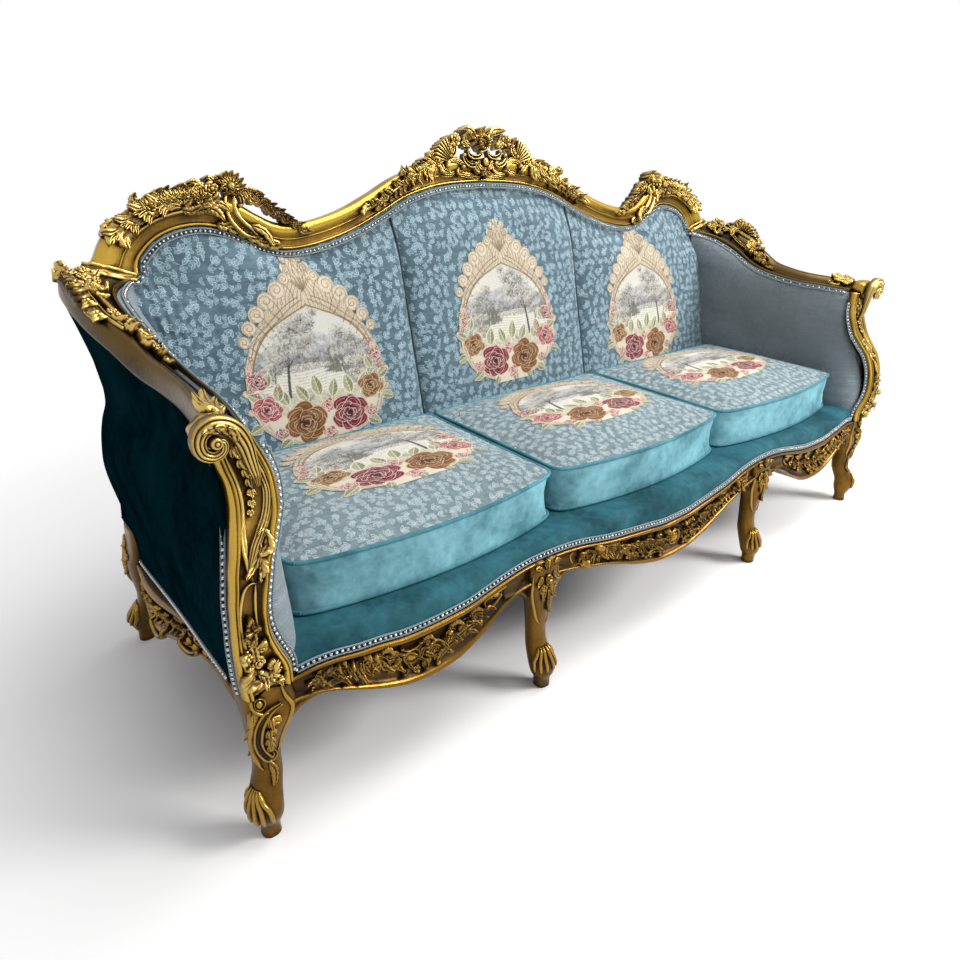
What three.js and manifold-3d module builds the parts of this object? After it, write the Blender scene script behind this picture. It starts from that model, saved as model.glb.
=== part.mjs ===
// A carved giltwood cabriole sofa: a show-wood frame on eight curved legs, with upholstered
// back, arms and deck, and three loose seat cushions that lift off.
// Lengths are millimetres. x runs across the sofa, y from front to back, z up.
import * as THREE from "three";
import { mergeVertices } from "three/addons/utils/BufferGeometryUtils.js";
import Module from "manifold-3d";

const wasm = await Module();
wasm.setup();

// Overall sizes. Places and outline tables are shares of these: x of halfWidth, y of depth,
// z of height. y is counted from the line through the front feet.
const halfWidth = 1100;
const depth = 740;
const height = 1169;

// Clearance between pieces that touch, and how far a cut piece runs into what trims it
const clearance = 0.3;
const leastTurnShare = 0.2;
const overrun = 8;

// Show-wood rail round the back and arms
const crestWidth = 60;
const crestProud = 18;
const crestDeep = 32;
const armProud = 38;
const armDeep = 4;

// Arm post and its scroll
const postFace = 16;
const postBody = 50;
const postInset = 14;
const scrollRadius = 43;
const scrollRise = 32;
const scrollPlace = halfWidth * 0.9445;
const scrollHeight = height * 0.6185;
const scrollFront = depth * 0.0446;
const scrollBack = depth * 0.1135;

// Legs
const legHeight = height * 0.2643;
const cornerLegWidth = 92;
const middleLegWidth = 82;
const middleLegHeight = height * 0.2763;
const middleLegPlace = halfWidth * 0.3909;
const rearLegHeight = height * 0.2909;
const rearMiddleLegWidth = 56;
const roundPower = 2.4;
const squarePower = 4;
const footSpread = halfWidth * 0.9718;
const rearFootPlace = depth * 0.9797;

// Seat frame
const frontRailFace = depth * 0.0473;
const railThickness = 30;
const sideRailThickness = 45;
const railHeight = 67;
const railTop = height * 0.2589;
const rearRailThickness = 40;
const rearRailLedge = 14;
const rearRailHeight = 82;
const sideRailInner = halfWidth * 0.8955;
const frameCorner = halfWidth * 0.9018;
const blockLeg = 90;
const apronRim = 6;
const webbingThickness = 2;
const strapWidth = 50;
const coverThickness = 1.2;

// Upholstery
const panelThickness = 38;
const skinThickness = 14;
const deckTop = height * 0.3045;
const deckHalf = halfWidth * 0.909;
const seamPlace = halfWidth * 0.2873;
const backCrown = 16;
const backLean = (0.3396 * depth) / height;
const crestLean = (0.2844 * depth) / height;
const backFootPlace = depth * 0.7568;
const backFootHeight = height * 0.4072;
const edgeRoll = 26;
const armBelly = halfWidth * 0.87;

// Loose seat cushions
const cushionTop = height * 0.397;
const cushionRise = 14;
const cushionCrown = 26;
const cushionFrontCorner = depth * 0.0973;
const cushionBow = depth * 0.0676;
const cushionRear = depth * 0.7108;
const cushionLean = (0.1896 * depth) / height;
const cushionOuter = halfWidth * 0.8673;
const cushionSpace = 1.5;
const cushionPower = 15;
const cushionSides = 32;
const weltRadius = 4;
const boxingDraw = 5;

// Carved pieces
const cartoucheThickness = 62;
const cartoucheFront = depth * 0.8811;
const shoulderThickness = 50;
const shoulderFront = depth * 0.873;
const armCarvingWidth = 52;
const postCarvingProud = 12;
const carvingBevel = 6;

// Back frame
const stileWidth = 44;
const stilePlace = halfWidth * 0.8745;
const stileTop = height * 0.6843;
const uprightWidth = 44;
const tackRailHeight = 48;
const tackRailHalf = halfWidth * 0.8618;
const backSkin = 10;
const backPlaneFoot = depth * 0.9459;
const backPlaneLean = (0.0711 * depth) / height;
const armTurn = 60;
const armTurnStart = depth * 0.7973;

// The back's nail line, from the middle to the corner: x, z
const backLineShares = [
  [0, 0.887], [0.118, 0.881], [0.182, 0.871], [0.245, 0.854], [0.314, 0.825],
  [0.391, 0.796], [0.464, 0.777], [0.518, 0.769], [0.559, 0.768], [0.6, 0.776],
  [0.636, 0.791], [0.668, 0.806], [0.705, 0.816], [0.736, 0.818], [0.773, 0.813],
  [0.805, 0.802], [0.832, 0.784], [0.85, 0.764], [0.853, 0.743],
];

// How wide the crest rail is along that line: place along it, share of crestWidth
const crestWidthShares = [[0, 1], [0.42, 0.95], [0.68, 1.13], [0.9, 1.25], [1, 1.4]];

// The arm rail's inner and outer edges, from the back corner to the scroll: x, y, z
const armInnerShares = [
  [0.853, 0.911, 0.743], [0.864, 0.901, 0.736], [0.886, 0.882, 0.729],
  [0.909, 0.835, 0.72], [0.917, 0.784, 0.71], [0.917, 0.73, 0.697],
  [0.91, 0.662, 0.678], [0.898, 0.588, 0.654], [0.889, 0.507, 0.637],
  [0.885, 0.405, 0.625], [0.883, 0.315, 0.618], [0.888, 0.223, 0.615],
  [0.895, 0.142, 0.611], [0.897, 0.111, 0.609],
];
const armOuterShares = [
  [0.94, 0.922, 0.768], [0.967, 0.924, 0.754], [0.987, 0.908, 0.743],
  [0.998, 0.854, 0.731], [1, 0.792, 0.718], [0.997, 0.732, 0.703],
  [0.99, 0.662, 0.686], [0.976, 0.585, 0.665], [0.958, 0.504, 0.636],
  [0.944, 0.409, 0.622], [0.939, 0.322, 0.614], [0.943, 0.227, 0.609],
  [0.949, 0.142, 0.605], [0.952, 0.108, 0.603],
];

// How far that rail stands above and reaches below its edges, from the corner on:
// place, share of the way from the crest's sizes to the arm's
const railTurnShares = [[0, 0.08], [0.08, 0.4], [0.15, 0.7], [0.25, 0.95], [0.35, 1], [1, 1]];

// The rail's moulded section: across it, and depth (-1 is fully proud, 1 fully deep)
const railFrontShares = [
  [0, 0], [0.08, -0.28], [0.2, -0.3], [0.36, -0.3], [0.55, -0.65], [0.75, -1], [0.93, -0.75],
  [1, -0.15],
];
const railBackShares = [
  [0, 0.9], [0.1, 1], [0.22, 1], [0.36, 1], [0.55, 1], [0.75, 1], [0.93, 0.95], [1, 0.5],
];

// The arm post, from the leg up: z, inner x, outer x, y of its nail lines
const postShares = [
  [0.265, 0.909, 0.985, -0.014], [0.295, 0.91, 0.988, -0.016],
  [0.332, 0.925, 0.99, -0.027], [0.359, 0.934, 0.989, -0.027],
  [0.386, 0.935, 0.986, -0.023], [0.41, 0.93, 0.983, -0.018],
  [0.43, 0.923, 0.978, -0.011], [0.452, 0.914, 0.972, 0.001],
  [0.47, 0.902, 0.964, 0.016], [0.488, 0.891, 0.957, 0.032],
  [0.506, 0.881, 0.951, 0.046], [0.528, 0.876, 0.946, 0.059],
  [0.551, 0.875, 0.945, 0.072], [0.572, 0.88, 0.949, 0.081],
  [0.62, 0.9, 0.956, 0.092],
];

// The post's face across its width, and how far each place stands forward
const postFaceShares = [
  [0, 0.2], [0.12, -0.75], [0.32, -1], [0.5, -1.25], [0.68, -1], [0.88, -0.75], [1, 0.2],
];

// Legs: share of the leg's height, then places from the foot's centre and half sizes, as
// shares of the leg's width: outwards, backwards, half width, half depth
const frontLegShares = [
  [1, -0.337, 0.25, 0.5, 0.391], [0.92, -0.348, 0.228, 0.489, 0.391],
  [0.848, -0.359, 0.185, 0.489, 0.391], [0.777, -0.315, 0.141, 0.424, 0.37],
  [0.696, -0.25, 0.141, 0.359, 0.337], [0.6, -0.207, 0.185, 0.293, 0.293],
  [0.485, -0.196, 0.196, 0.261, 0.261], [0.395, -0.163, 0.163, 0.272, 0.272],
  [0.317, -0.065, 0.076, 0.295, 0.29], [0.243, 0.011, -0.011, 0.315, 0.31],
  [0.168, 0.022, -0.022, 0.304, 0.304], [0.11, 0, -0.011, 0.228, 0.239],
  [0.071, -0.011, 0, 0.174, 0.185], [0, 0, 0, 0.185, 0.196],
];
const middleLegShares = [
  [1, 0, 0.366, 0.49, 0.39], [0.9, 0, 0.341, 0.5, 0.4], [0.81, 0, 0.317, 0.488, 0.4],
  [0.728, 0, 0.293, 0.415, 0.378], [0.635, 0, 0.293, 0.329, 0.329],
  [0.526, 0, 0.317, 0.28, 0.293], [0.418, 0, 0.317, 0.262, 0.268],
  [0.325, 0, 0.268, 0.28, 0.293], [0.248, 0, 0.146, 0.317, 0.329],
  [0.18, 0, 0.037, 0.341, 0.341], [0.118, 0, 0, 0.305, 0.305], [0.074, 0, 0, 0.22, 0.232],
  [0, 0, 0, 0.207, 0.207],
];
const rearLegShares = [
  [1, -0.326, -0.793, 0.37, 0.391], [0.882, -0.293, -0.707, 0.359, 0.435],
  [0.779, -0.25, -0.576, 0.348, 0.457], [0.691, -0.207, -0.446, 0.348, 0.478],
  [0.603, -0.185, -0.359, 0.315, 0.435], [0.515, -0.185, -0.38, 0.272, 0.359],
  [0.412, -0.174, -0.402, 0.239, 0.283], [0.324, -0.13, -0.293, 0.25, 0.283],
  [0.241, -0.043, -0.12, 0.293, 0.304], [0.171, 0.022, 0.011, 0.304, 0.304],
  [0.112, 0.011, 0.022, 0.25, 0.25], [0.071, 0, 0.011, 0.185, 0.185],
  [0, 0, 0, 0.185, 0.185],
];
const rearMiddleLegShares = [
  [1, 0, -0.875, 0.5, 0.36], [0.82, 0, -0.8, 0.43, 0.38], [0.64, 0, -0.71, 0.375, 0.375],
  [0.46, 0, -0.46, 0.39, 0.41], [0.32, 0, -0.18, 0.46, 0.46], [0.2, 0, -0.03, 0.45, 0.45],
  [0.11, 0, 0, 0.3, 0.3], [0, 0, 0, 0.3, 0.3],
];

// The inner side of the front legs' blocks
const frontLegSide =
  footSpread + (frontLegShares[0][1] - frontLegShares[0][3]) * cornerLegWidth - clearance;

// Front aprons, from the middle out to the corner: x against top z, bottom z and face y
const apronTopShares = [
  [0, 0.246], [0.045, 0.246], [0.091, 0.251], [0.148, 0.256], [0.2, 0.26], [0.242, 0.265],
  [0.285, 0.272], [0.315, 0.275], [0.355, 0.277], [0.427, 0.277], [0.479, 0.273],
  [0.531, 0.266], [0.582, 0.259], [0.629, 0.257], [0.677, 0.256], [0.718, 0.257],
  [0.76, 0.262], [0.799, 0.264], [0.837, 0.268], [0.874, 0.268], [0.902, 0.264],
];
const apronBottomShares = [
  [0, 0.158], [0.045, 0.16], [0.091, 0.169], [0.136, 0.181], [0.182, 0.197],
  [0.227, 0.21], [0.273, 0.22], [0.309, 0.228], [0.355, 0.235], [0.427, 0.235],
  [0.464, 0.231], [0.5, 0.218], [0.536, 0.197], [0.564, 0.184], [0.609, 0.166],
  [0.659, 0.16], [0.709, 0.163], [0.755, 0.175], [0.805, 0.195], [0.859, 0.216],
  [0.902, 0.221],
];
const apronFaceShares = [
  [0, -0.061], [0.091, -0.058], [0.182, -0.05], [0.273, -0.038], [0.355, -0.03],
  [0.427, -0.027], [0.5, -0.032], [0.591, -0.041], [0.682, -0.042], [0.773, -0.035],
  [0.845, -0.024], [0.902, -0.016],
];

// Side aprons, from front to back: y against outer x, top z, bottom z
const sideApronShares = [
  [0.088, 0.973, 0.264, 0.221], [0.203, 0.969, 0.259, 0.218], [0.338, 0.971, 0.251, 0.205],
  [0.473, 0.976, 0.238, 0.175], [0.608, 0.982, 0.224, 0.144], [0.73, 0.98, 0.214, 0.128],
  [0.811, 0.973, 0.212, 0.135], [0.892, 0.965, 0.214, 0.163],
];

// The outside arm's profile at the post and at the rear: z, x
const armFrontShares = [
  [0.205, 0.975], [0.257, 0.984], [0.311, 0.989], [0.341, 0.99], [0.376, 0.987],
  [0.411, 0.983], [0.447, 0.973], [0.478, 0.961], [0.507, 0.951], [0.534, 0.945],
  [0.556, 0.945], [0.578, 0.949], [0.62, 0.956],
];
const armRearShares = [
  [0.205, 0.964], [0.288, 0.971], [0.366, 0.986], [0.433, 0.996], [0.482, 0.991],
  [0.516, 0.982], [0.547, 0.969], [0.599, 0.967], [0.659, 0.976], [0.727, 0.991],
];

// Where the back's fabric runs on past the nail line, behind the arm: x, z
const backCornerShares = [[0.857, 0.733], [0.872, 0.727], [0.9, 0.719]];

// Carved outlines in the plane of the back, on the right of the middle: x, z
const cartoucheShares = [
  [0, 1], [0.026, 0.997], [0.047, 0.984], [0.073, 0.985], [0.095, 0.973], [0.104, 0.957],
  [0.127, 0.962], [0.153, 0.951], [0.165, 0.934], [0.196, 0.929], [0.227, 0.914],
  [0.238, 0.899], [0.218, 0.892], [0.186, 0.896], [0.155, 0.898], [0.127, 0.908],
  [0.1, 0.9], [0.073, 0.893], [0.041, 0.891], [0, 0.89],
];
const cartoucheHoleShares = [[0.078, 0.947], [0.089, 0.951], [0.094, 0.942], [0.082, 0.938]];
const shoulderShares = [
  [0.532, 0.813], [0.555, 0.834], [0.575, 0.86], [0.595, 0.885], [0.627, 0.905],
  [0.659, 0.908], [0.691, 0.9], [0.727, 0.896], [0.759, 0.883], [0.755, 0.868],
  [0.727, 0.86], [0.7, 0.843], [0.668, 0.821], [0.636, 0.8], [0.6, 0.791], [0.564, 0.796],
];
const shoulderHoleShares = [
  [0.573, 0.826], [0.595, 0.857], [0.62, 0.872], [0.63, 0.862], [0.605, 0.834],
];

// Carving on the arm rail, seen from the side: y, z
const armCarvingShares = [
  [0.52, 0.66], [0.554, 0.7], [0.601, 0.736], [0.611, 0.749], [0.649, 0.763],
  [0.678, 0.766], [0.709, 0.762], [0.761, 0.752], [0.761, 0.715], [0.649, 0.69],
  [0.56, 0.655],
];
// Carving low on the arm post, seen from the front: x, z
const postCarvingShares = [
  [0.914, 0.275], [0.95, 0.27], [0.98, 0.285], [0.983, 0.315], [0.975, 0.345],
  [0.96, 0.375], [0.945, 0.352], [0.93, 0.33], [0.916, 0.305],
];

const middle = 0.5;
const along = new THREE.Vector3(1, 0, 0);

// A smooth curve through rows of numbers: the first is the place, the others the values there
function through(rows) {
  const slope = (i, k) => {
    const before = rows[Math.max(i - 1, 0)];
    const after = rows[Math.min(i + 1, rows.length - 1)];
    return (after[k] - before[k]) / (after[0] - before[0]);
  };
  return (place) => {
    const at = THREE.MathUtils.clamp(place, rows[0][0], rows[rows.length - 1][0]);
    const i = Math.max(1, rows.findIndex((row) => row[0] >= at)) - 1;
    const width = rows[i + 1][0] - rows[i][0];
    const t = (at - rows[i][0]) / width;
    return rows[i].slice(1).map((_, n) => {
      const k = n + 1;
      const bend = (1 - t) * (slope(i, k) * width * (1 - t) + rows[i][k] * (1 + 2 * t));
      const rest = t * (rows[i + 1][k] * (3 - 2 * t) - slope(i + 1, k) * width * (1 - t));
      return bend * (1 - t) + rest * t;
    });
  };
}

// Rows of shares turned into millimetres, each column by its own size
const scaled = (rows, sizes) => rows.map((row) => row.map((share, k) => share * sizes[k]));
const point = (x, y, z) => new THREE.Vector3(x, y, z);
const mix = THREE.MathUtils.lerp;
const steps = (count) => Array.from({ length: count + 1 }, (_, i) => i / count);
const smooth = (value, low, high) => THREE.MathUtils.smoothstep(value, low, high);

// The smooth lines that several pieces share
const apronTop = through(scaled(apronTopShares, [halfWidth, height]));
const apronBottom = through(scaled(apronBottomShares, [halfWidth, height]));
const apronFace = through(scaled(apronFaceShares, [halfWidth, depth]));
const sideApron = through(scaled(sideApronShares, [depth, halfWidth, height, height]));
const postLine = through(scaled(postShares, [height, halfWidth, halfWidth, depth]));
const armFront = through(scaled(armFrontShares, [height, halfWidth]));
const armRear = through(scaled(armRearShares, [height, halfWidth]));
const crestWidthAt = through(crestWidthShares);
const railTurn = through(railTurnShares);

const spline = (points) => new THREE.CatmullRomCurve3(points, false, "centripetal");
const sized = ([x, y, z]) => point(x * halfWidth, y * depth, z * height);
const armInner = spline(armInnerShares.map(sized));
const armOuter = spline(armOuterShares.map(sized));

// The plane of the back's fabric, of the crest's nail line and of the outside back
const fabricPlane = (z) => backFootPlace + backLean * (z - backFootHeight);
const crestPlane = (z) => armInner.points[0].y + crestLean * (z - armInner.points[0].z);
const outsidePlane = (z) => backPlaneFoot + backPlaneLean * (z - rearLegHeight);

// The rear seat rail stands just inside the outside back, and each front middle leg against
// the front seat rail
const rearRailFace =
  outsidePlane(railTop - rearRailHeight) - backSkin - clearance - rearRailThickness;
const middleLegReach = (middleLegShares[0][2] + middleLegShares[0][4]) * middleLegWidth;
const middleFootForward = middleLegReach - frontRailFace + clearance;

const backLine = spline(
  backLineShares.map(([x, z]) => point(x * halfWidth, crestPlane(z * height), z * height)),
);

// A geometry with its faces turned to point out
function facingOut(positions, index) {
  let volume = 0;
  const corner = (i) => point(...positions.slice(3 * i, 3 * i + 3));
  for (let i = 0; i < index.length; i += 3) {
    volume += corner(index[i]).dot(corner(index[i + 1]).cross(corner(index[i + 2])));
  }
  const geometry = new THREE.BufferGeometry();
  geometry.setAttribute("position", new THREE.Float32BufferAttribute(positions, 3));
  geometry.setIndex(volume < 0 ? index.toReversed() : index);
  return geometry;
}

// The triangles that close a flat ring, each in the ring's own order
function capOf(ring) {
  const normal = new THREE.Vector3();
  ring.forEach((p, k) => normal.add(p.clone().cross(ring[(k + 1) % ring.length])));
  const flat = new THREE.Quaternion().setFromUnitVectors(normal.normalize(), point(0, 0, 1));
  const outline = ring.map((p) => p.clone().applyQuaternion(flat)).map((p) => new THREE.Vector2(p.x, p.y));
  return THREE.ShapeUtils.triangulateShape(outline, []).map((face) => face.sort((a, b) => a - b));
}

// A closed solid through rings of one count, with flat ends
function loft(rings) {
  const count = rings[0].length;
  const index = [];
  const quad = (a, b, c, d) => index.push(a, b, c, a, c, d);
  for (let r = 0; r + 1 < rings.length; r++) {
    for (let k = 0; k < count; k++) {
      const next = (k + 1) % count;
      quad(r * count + k, r * count + next, (r + 1) * count + next, (r + 1) * count + k);
    }
  }
  const end = (rings.length - 1) * count;
  for (const [a, b, c] of capOf(rings[0])) index.push(c, b, a);
  for (const [a, b, c] of capOf(rings.at(-1))) index.push(end + a, end + b, end + c);
  return facingOut(rings.flat().flatMap((p) => [p.x, p.y, p.z]), index);
}

// A closed solid through rings, each end closed by a fan round a point
function domed(rings, first, last) {
  const count = rings[0].length;
  const index = [];
  for (let r = 0; r + 1 < rings.length; r++) {
    for (let k = 0; k < count; k++) {
      const next = (k + 1) % count;
      const a = r * count + k;
      const b = r * count + next;
      index.push(a, b, b + count, a, b + count, a + count);
    }
  }
  const total = rings.length * count;
  for (let k = 0; k < count; k++) {
    const next = (k + 1) % count;
    index.push(total, next, k);
    index.push(total + 1, total - count + k, total - count + next);
  }
  return facingOut([...rings.flat(), first, last].flatMap((p) => [p.x, p.y, p.z]), index);
}

// A straight-sided block between two corners
function block(low, high) {
  const size = high.clone().sub(low);
  const centre = low.clone().add(high).multiplyScalar(middle);
  return new THREE.BoxGeometry(size.x, size.y, size.z).translate(centre.x, centre.y, centre.z);
}

// Merged positions only, as the cutting library needs them
function bare(geometry) {
  const copy = geometry.clone();
  copy.deleteAttribute("normal");
  copy.deleteAttribute("uv");
  return mergeVertices(copy);
}

function solid(geometry) {
  const merged = bare(geometry);
  const vertProperties = new Float32Array(merged.attributes.position.array);
  const triVerts = new Uint32Array(merged.index.array);
  return new wasm.Manifold(new wasm.Mesh({ numProp: 3, vertProperties, triVerts }));
}

function geometryOf(manifold) {
  const mesh = manifold.getMesh();
  const geometry = new THREE.BufferGeometry();
  geometry.setAttribute("position", new THREE.BufferAttribute(mesh.vertProperties, 3));
  geometry.setIndex(new THREE.BufferAttribute(mesh.triVerts, 1));
  return geometry;
}

// The same piece, thicker by the clearance all round: each corner moves far enough along its
// mean normal for every face round it to move by the clearance
function swollen(geometry) {
  const merged = bare(geometry);
  merged.computeVertexNormals();
  const place = merged.attributes.position;
  const normals = merged.attributes.normal;
  const corners = merged.index.array;
  const vertex = (i) => point(place.getX(i), place.getY(i), place.getZ(i));
  const least = new Array(place.count).fill(1);
  for (let i = 0; i < corners.length; i += 3) {
    const face = new THREE.Triangle(vertex(corners[i]), vertex(corners[i + 1]), vertex(corners[i + 2]));
    const facing = face.getNormal(point(0, 0, 0));
    for (const k of corners.slice(i, i + 3)) {
      const normal = point(normals.getX(k), normals.getY(k), normals.getZ(k));
      least[k] = Math.min(least[k], normal.dot(facing));
    }
  }
  for (let i = 0; i < place.count; i++) {
    const grow = clearance / Math.max(least[i], leastTurnShare);
    place.setXYZ(
      i,
      place.getX(i) + normals.getX(i) * grow,
      place.getY(i) + normals.getY(i) * grow,
      place.getZ(i) + normals.getZ(i) * grow,
    );
  }
  return merged;
}

// A piece trimmed clear of others; offcuts on the far side of a trimmer are left out. The
// trimmer itself is cut away too, for a sharp corner that folds as it grows
function trimmed(geometry, ...others) {
  let result = solid(geometry);
  for (const other of others) result = result.subtract(solid(swollen(other)).add(solid(other)));
  const bodies = result.decompose().sort((a, b) => b.volume() - a.volume());
  return geometryOf(bodies[0]);
}

function joined(...geometries) {
  return geometryOf(geometries.map(solid).reduce((sum, one) => sum.add(one)));
}

function mirrored(geometry) {
  const merged = bare(geometry).scale(-1, 1, 1);
  merged.setIndex(Array.from(merged.index.array).toReversed());
  return merged;
}

// The rail's section as a ring: from its inner edge across to its outer edge, and its depth
function railRing(inner, across, direction, proud, deep) {
  const depthways = across.clone().cross(direction).normalize();
  const place = ([share, level]) =>
    inner
      .clone()
      .addScaledVector(across, share)
      .addScaledVector(depthways, level * (level < 0 ? proud : deep));
  return [...railFrontShares.map(place), ...railBackShares.map(place).reverse()];
}

const crestEnd = armOuter.points[0].clone().sub(armInner.points[0]);

// How far the arm rail stands above and reaches below its edges, at a place along it
function railSizes(place) {
  const turn = railTurn(place)[0];
  return [mix(crestProud, armProud, turn), mix(crestDeep, armDeep, turn)];
}

function crestRing(t) {
  const inner = backLine.getPoint(t);
  const direction = t === 0 ? along.clone() : backLine.getTangent(t);
  const outward = point(-direction.z, 0, direction.x);
  outward.y = crestLean * outward.z;
  const across = outward.normalize().multiplyScalar(crestWidthAt(t)[0] * crestWidth);
  if (t < 1) return railRing(inner, across, direction, crestProud, crestDeep);
  return railRing(inner, crestEnd, direction, ...railSizes(0));
}

function armRing(t) {
  const inner = armInner.getPoint(t);
  const across = armOuter.getPoint(t).sub(inner);
  const direction = armInner.getTangent(t).add(armOuter.getTangent(t)).normalize();
  if (t === 0) direction.copy(backLine.getTangent(1));
  return railRing(inner, across, direction, ...railSizes(t));
}

function crestRail() {
  const half = loft(steps(17).map(crestRing));
  return joined(half, mirrored(half));
}

function armRail() {
  const rings = steps(15).map(armRing);
  rings[0] = rings[0].map((p) => point(p.x, p.y - clearance, p.z - clearance));
  return loft(rings);
}

// The arm post: a moulded face between its two nail lines, with a narrower body behind
function armPost(rail) {
  const bottom = legHeight + clearance;
  const top = postShares.at(-1)[0] * height;
  const rings = steps(12).map((t) => {
    const z = mix(bottom, top, t);
    const [inner, outer, y] = postLine(z);
    const face = postFaceShares.map(([share, out]) =>
      point(mix(inner, outer, share), y + out * postFace, z),
    );
    const body = [[outer, 0.2], [outer, 1], [inner, 1], [inner, 0.2]].map(([x, back]) =>
      point(x + Math.sign((inner + outer) / 2 - x) * postInset, y + back * postBody, z),
    );
    return [...face, ...body];
  });
  return trimmed(joined(loft(rings), scroll()), rail);
}

// The scroll that ends the arm rail: a drum lying front to back with a raised eye
function scroll() {
  const profile = [[0, 0.3], [0.1, 0.42], [0.2, 0.85], [0.4, 1], [0.8, 0.95], [1, 0.75]];
  const rings = profile.map(([share, size]) =>
    ringOf(12, (x, z) =>
      point(
        scrollPlace + x * size * scrollRadius,
        mix(scrollFront, scrollBack, share),
        scrollHeight + z * size * scrollRise,
      ),
    ),
  );
  return loft(rings);
}

// A ring of points round an oval; power 2 is an ellipse, more is squarer
function ringOf(count, place, power = 2) {
  return Array.from({ length: count }, (_, k) => {
    const angle = ((k + middle) / count) * 2 * Math.PI;
    const round = (v) => Math.sign(v) * Math.abs(v) ** (2 / power);
    return place(round(Math.cos(angle)), round(Math.sin(angle)));
  });
}

// A curved leg from its table: square at the block, round at the ankle
function leg(table, legTall, width, foot) {
  const rings = table.map(([tall, out, back, halfX, halfY]) => {
    const power = mix(roundPower, squarePower, smooth(tall, 0.7, 0.85));
    const place = (x, y) =>
      point(foot.x + (out + x * halfX) * width, foot.y + (back + y * halfY) * width, tall * legTall);
    return ringOf(10, place, power);
  });
  return loft(rings);
}

// A front apron between two places on one side of the middle, or across it
function frontApron(from, to, count) {
  const back = frontRailFace - clearance;
  const rings = steps(count).map((t) => {
    const x = mix(from, to, t);
    const away = Math.abs(x);
    const [top, bottom, face] = [apronTop(away)[0], apronBottom(away)[0], apronFace(away)[0]];
    const levels = [[0, 0.5], [0.07, -0.4], [0.2, 0.8], [0.8, 0.8], [0.92, -0.6], [1, 0.4]];
    const front = levels.map(([share, out]) => point(x, face + out * apronRim, mix(top, bottom, share)));
    return [...front, ...front.map((p) => point(p.x, back, p.z)).reverse()];
  });
  return loft(rings);
}

function sideApronPiece(frontLeg, rearLeg) {
  const inner = sideRailInner + sideRailThickness + clearance;
  const start = frontRailFace;
  const end = sideApronShares.at(-1)[0] * depth;
  const rings = steps(12).map((t) => {
    const y = mix(start, end, t);
    const [outer, top, bottom] = sideApron(y);
    const levels = [[0, -0.5], [0.07, 0.4], [0.2, -0.8], [0.8, -0.8], [0.92, 0.6], [1, -0.4]];
    const face = levels.map(([share, out]) => point(outer + out * apronRim, y, mix(top, bottom, share)));
    return [...face, ...face.map((p) => point(inner, p.y, p.z)).reverse()];
  });
  return trimmed(loft(rings), frontLeg, rearLeg);
}

// Straight seat rails, cross rails and corner blocks
function frontSeatRail() {
  const half = frontLegSide;
  return block(
    point(-half, frontRailFace, railTop - railHeight),
    point(half, frontRailFace + railThickness, railTop),
  );
}

const sideRailFront = frontRailFace + railThickness + clearance;

function sideSeatRail(...legs) {
  const rail = block(
    point(sideRailInner, sideRailFront, railTop - railHeight),
    point(sideRailInner + sideRailThickness, rearRailFace, railTop),
  );
  return trimmed(rail, ...legs);
}

function rearSeatRail(leftLeg, rightLeg) {
  const end = sideRailInner + sideRailThickness;
  const rail = block(
    point(-end, rearRailFace, railTop - rearRailHeight),
    point(end, rearRailFace + rearRailThickness, railTop),
  );
  return trimmed(rail, leftLeg, rightLeg);
}

function crossRail() {
  const half = railThickness * middle;
  return block(
    point(middleLegPlace - half, frontRailFace + railThickness + clearance, railTop - railHeight),
    point(middleLegPlace + half, rearRailFace - clearance, railTop),
  );
}

// A three-cornered block glued into a corner of the seat frame
function cornerBlock(x, y, toX, toY) {
  const outline = new THREE.Shape([
    new THREE.Vector2(x, y), new THREE.Vector2(x + toX * blockLeg, y),
    new THREE.Vector2(x, y + toY * blockLeg),
  ]);
  const piece = new THREE.ExtrudeGeometry(outline, { depth: railHeight, bevelEnabled: false });
  return piece.translate(0, 0, railTop - railHeight);
}

// Woven straps over the seat rails, joined where they cross
function seatWebbing() {
  const low = railTop + clearance;
  const high = low + webbingThickness;
  const front = frontRailFace + 2 * clearance;
  const rear = rearRailFace + rearRailLedge;
  const reach = frameCorner - 2 * clearance;
  const straps = [];
  for (const share of [-0.84, -0.42, 0, 0.42, 0.84]) {
    const x = share * reach;
    straps.push(block(point(x - strapWidth / 2, front, low), point(x + strapWidth / 2, rear, high)));
  }
  for (const share of [0.33, 0.67]) {
    const y = mix(front, rear, share);
    straps.push(block(point(-reach, y - strapWidth / 2, low), point(reach, y + strapWidth / 2, high)));
  }
  return joined(...straps);
}

function dustCover() {
  const top = railTop - railHeight - clearance;
  return block(
    point(-sideRailInner, frontRailFace, top - coverThickness),
    point(sideRailInner, rearRailFace - clearance, top),
  );
}

// The sprung deck: a padded platform whose rolled front edge meets the aprons
const deckLow = railTop + 2 * clearance + webbingThickness;

function seatDeck(...others) {
  const rear = rearRailFace + rearRailLedge;
  const rings = steps(18).map((t) => {
    const x = mix(-deckHalf, deckHalf, t);
    const away = Math.abs(x);
    const line = apronTop(away)[0] + clearance;
    const face = apronFace(away)[0];
    const lift = deckTop - line;
    const behind = frontRailFace - 2 * clearance;
    const top = [
      point(x, face + apronRim, line), point(x, face + apronRim / 2, line + lift * 0.35),
      point(x, face + apronRim * 2, line + lift * 0.8), point(x, face + apronRim * 5, deckTop),
      point(x, mix(behind, rear, middle), deckTop), point(x, rear, deckTop),
    ];
    const under = [
      point(x, behind - clearance, line), point(x, behind, Math.max(deckLow, line)),
      point(x, behind + apronRim, deckLow), point(x, rear, deckLow),
    ];
    return [...top, ...under.reverse()];
  });
  return trimmed(loft(rings), ...others);
}

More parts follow.
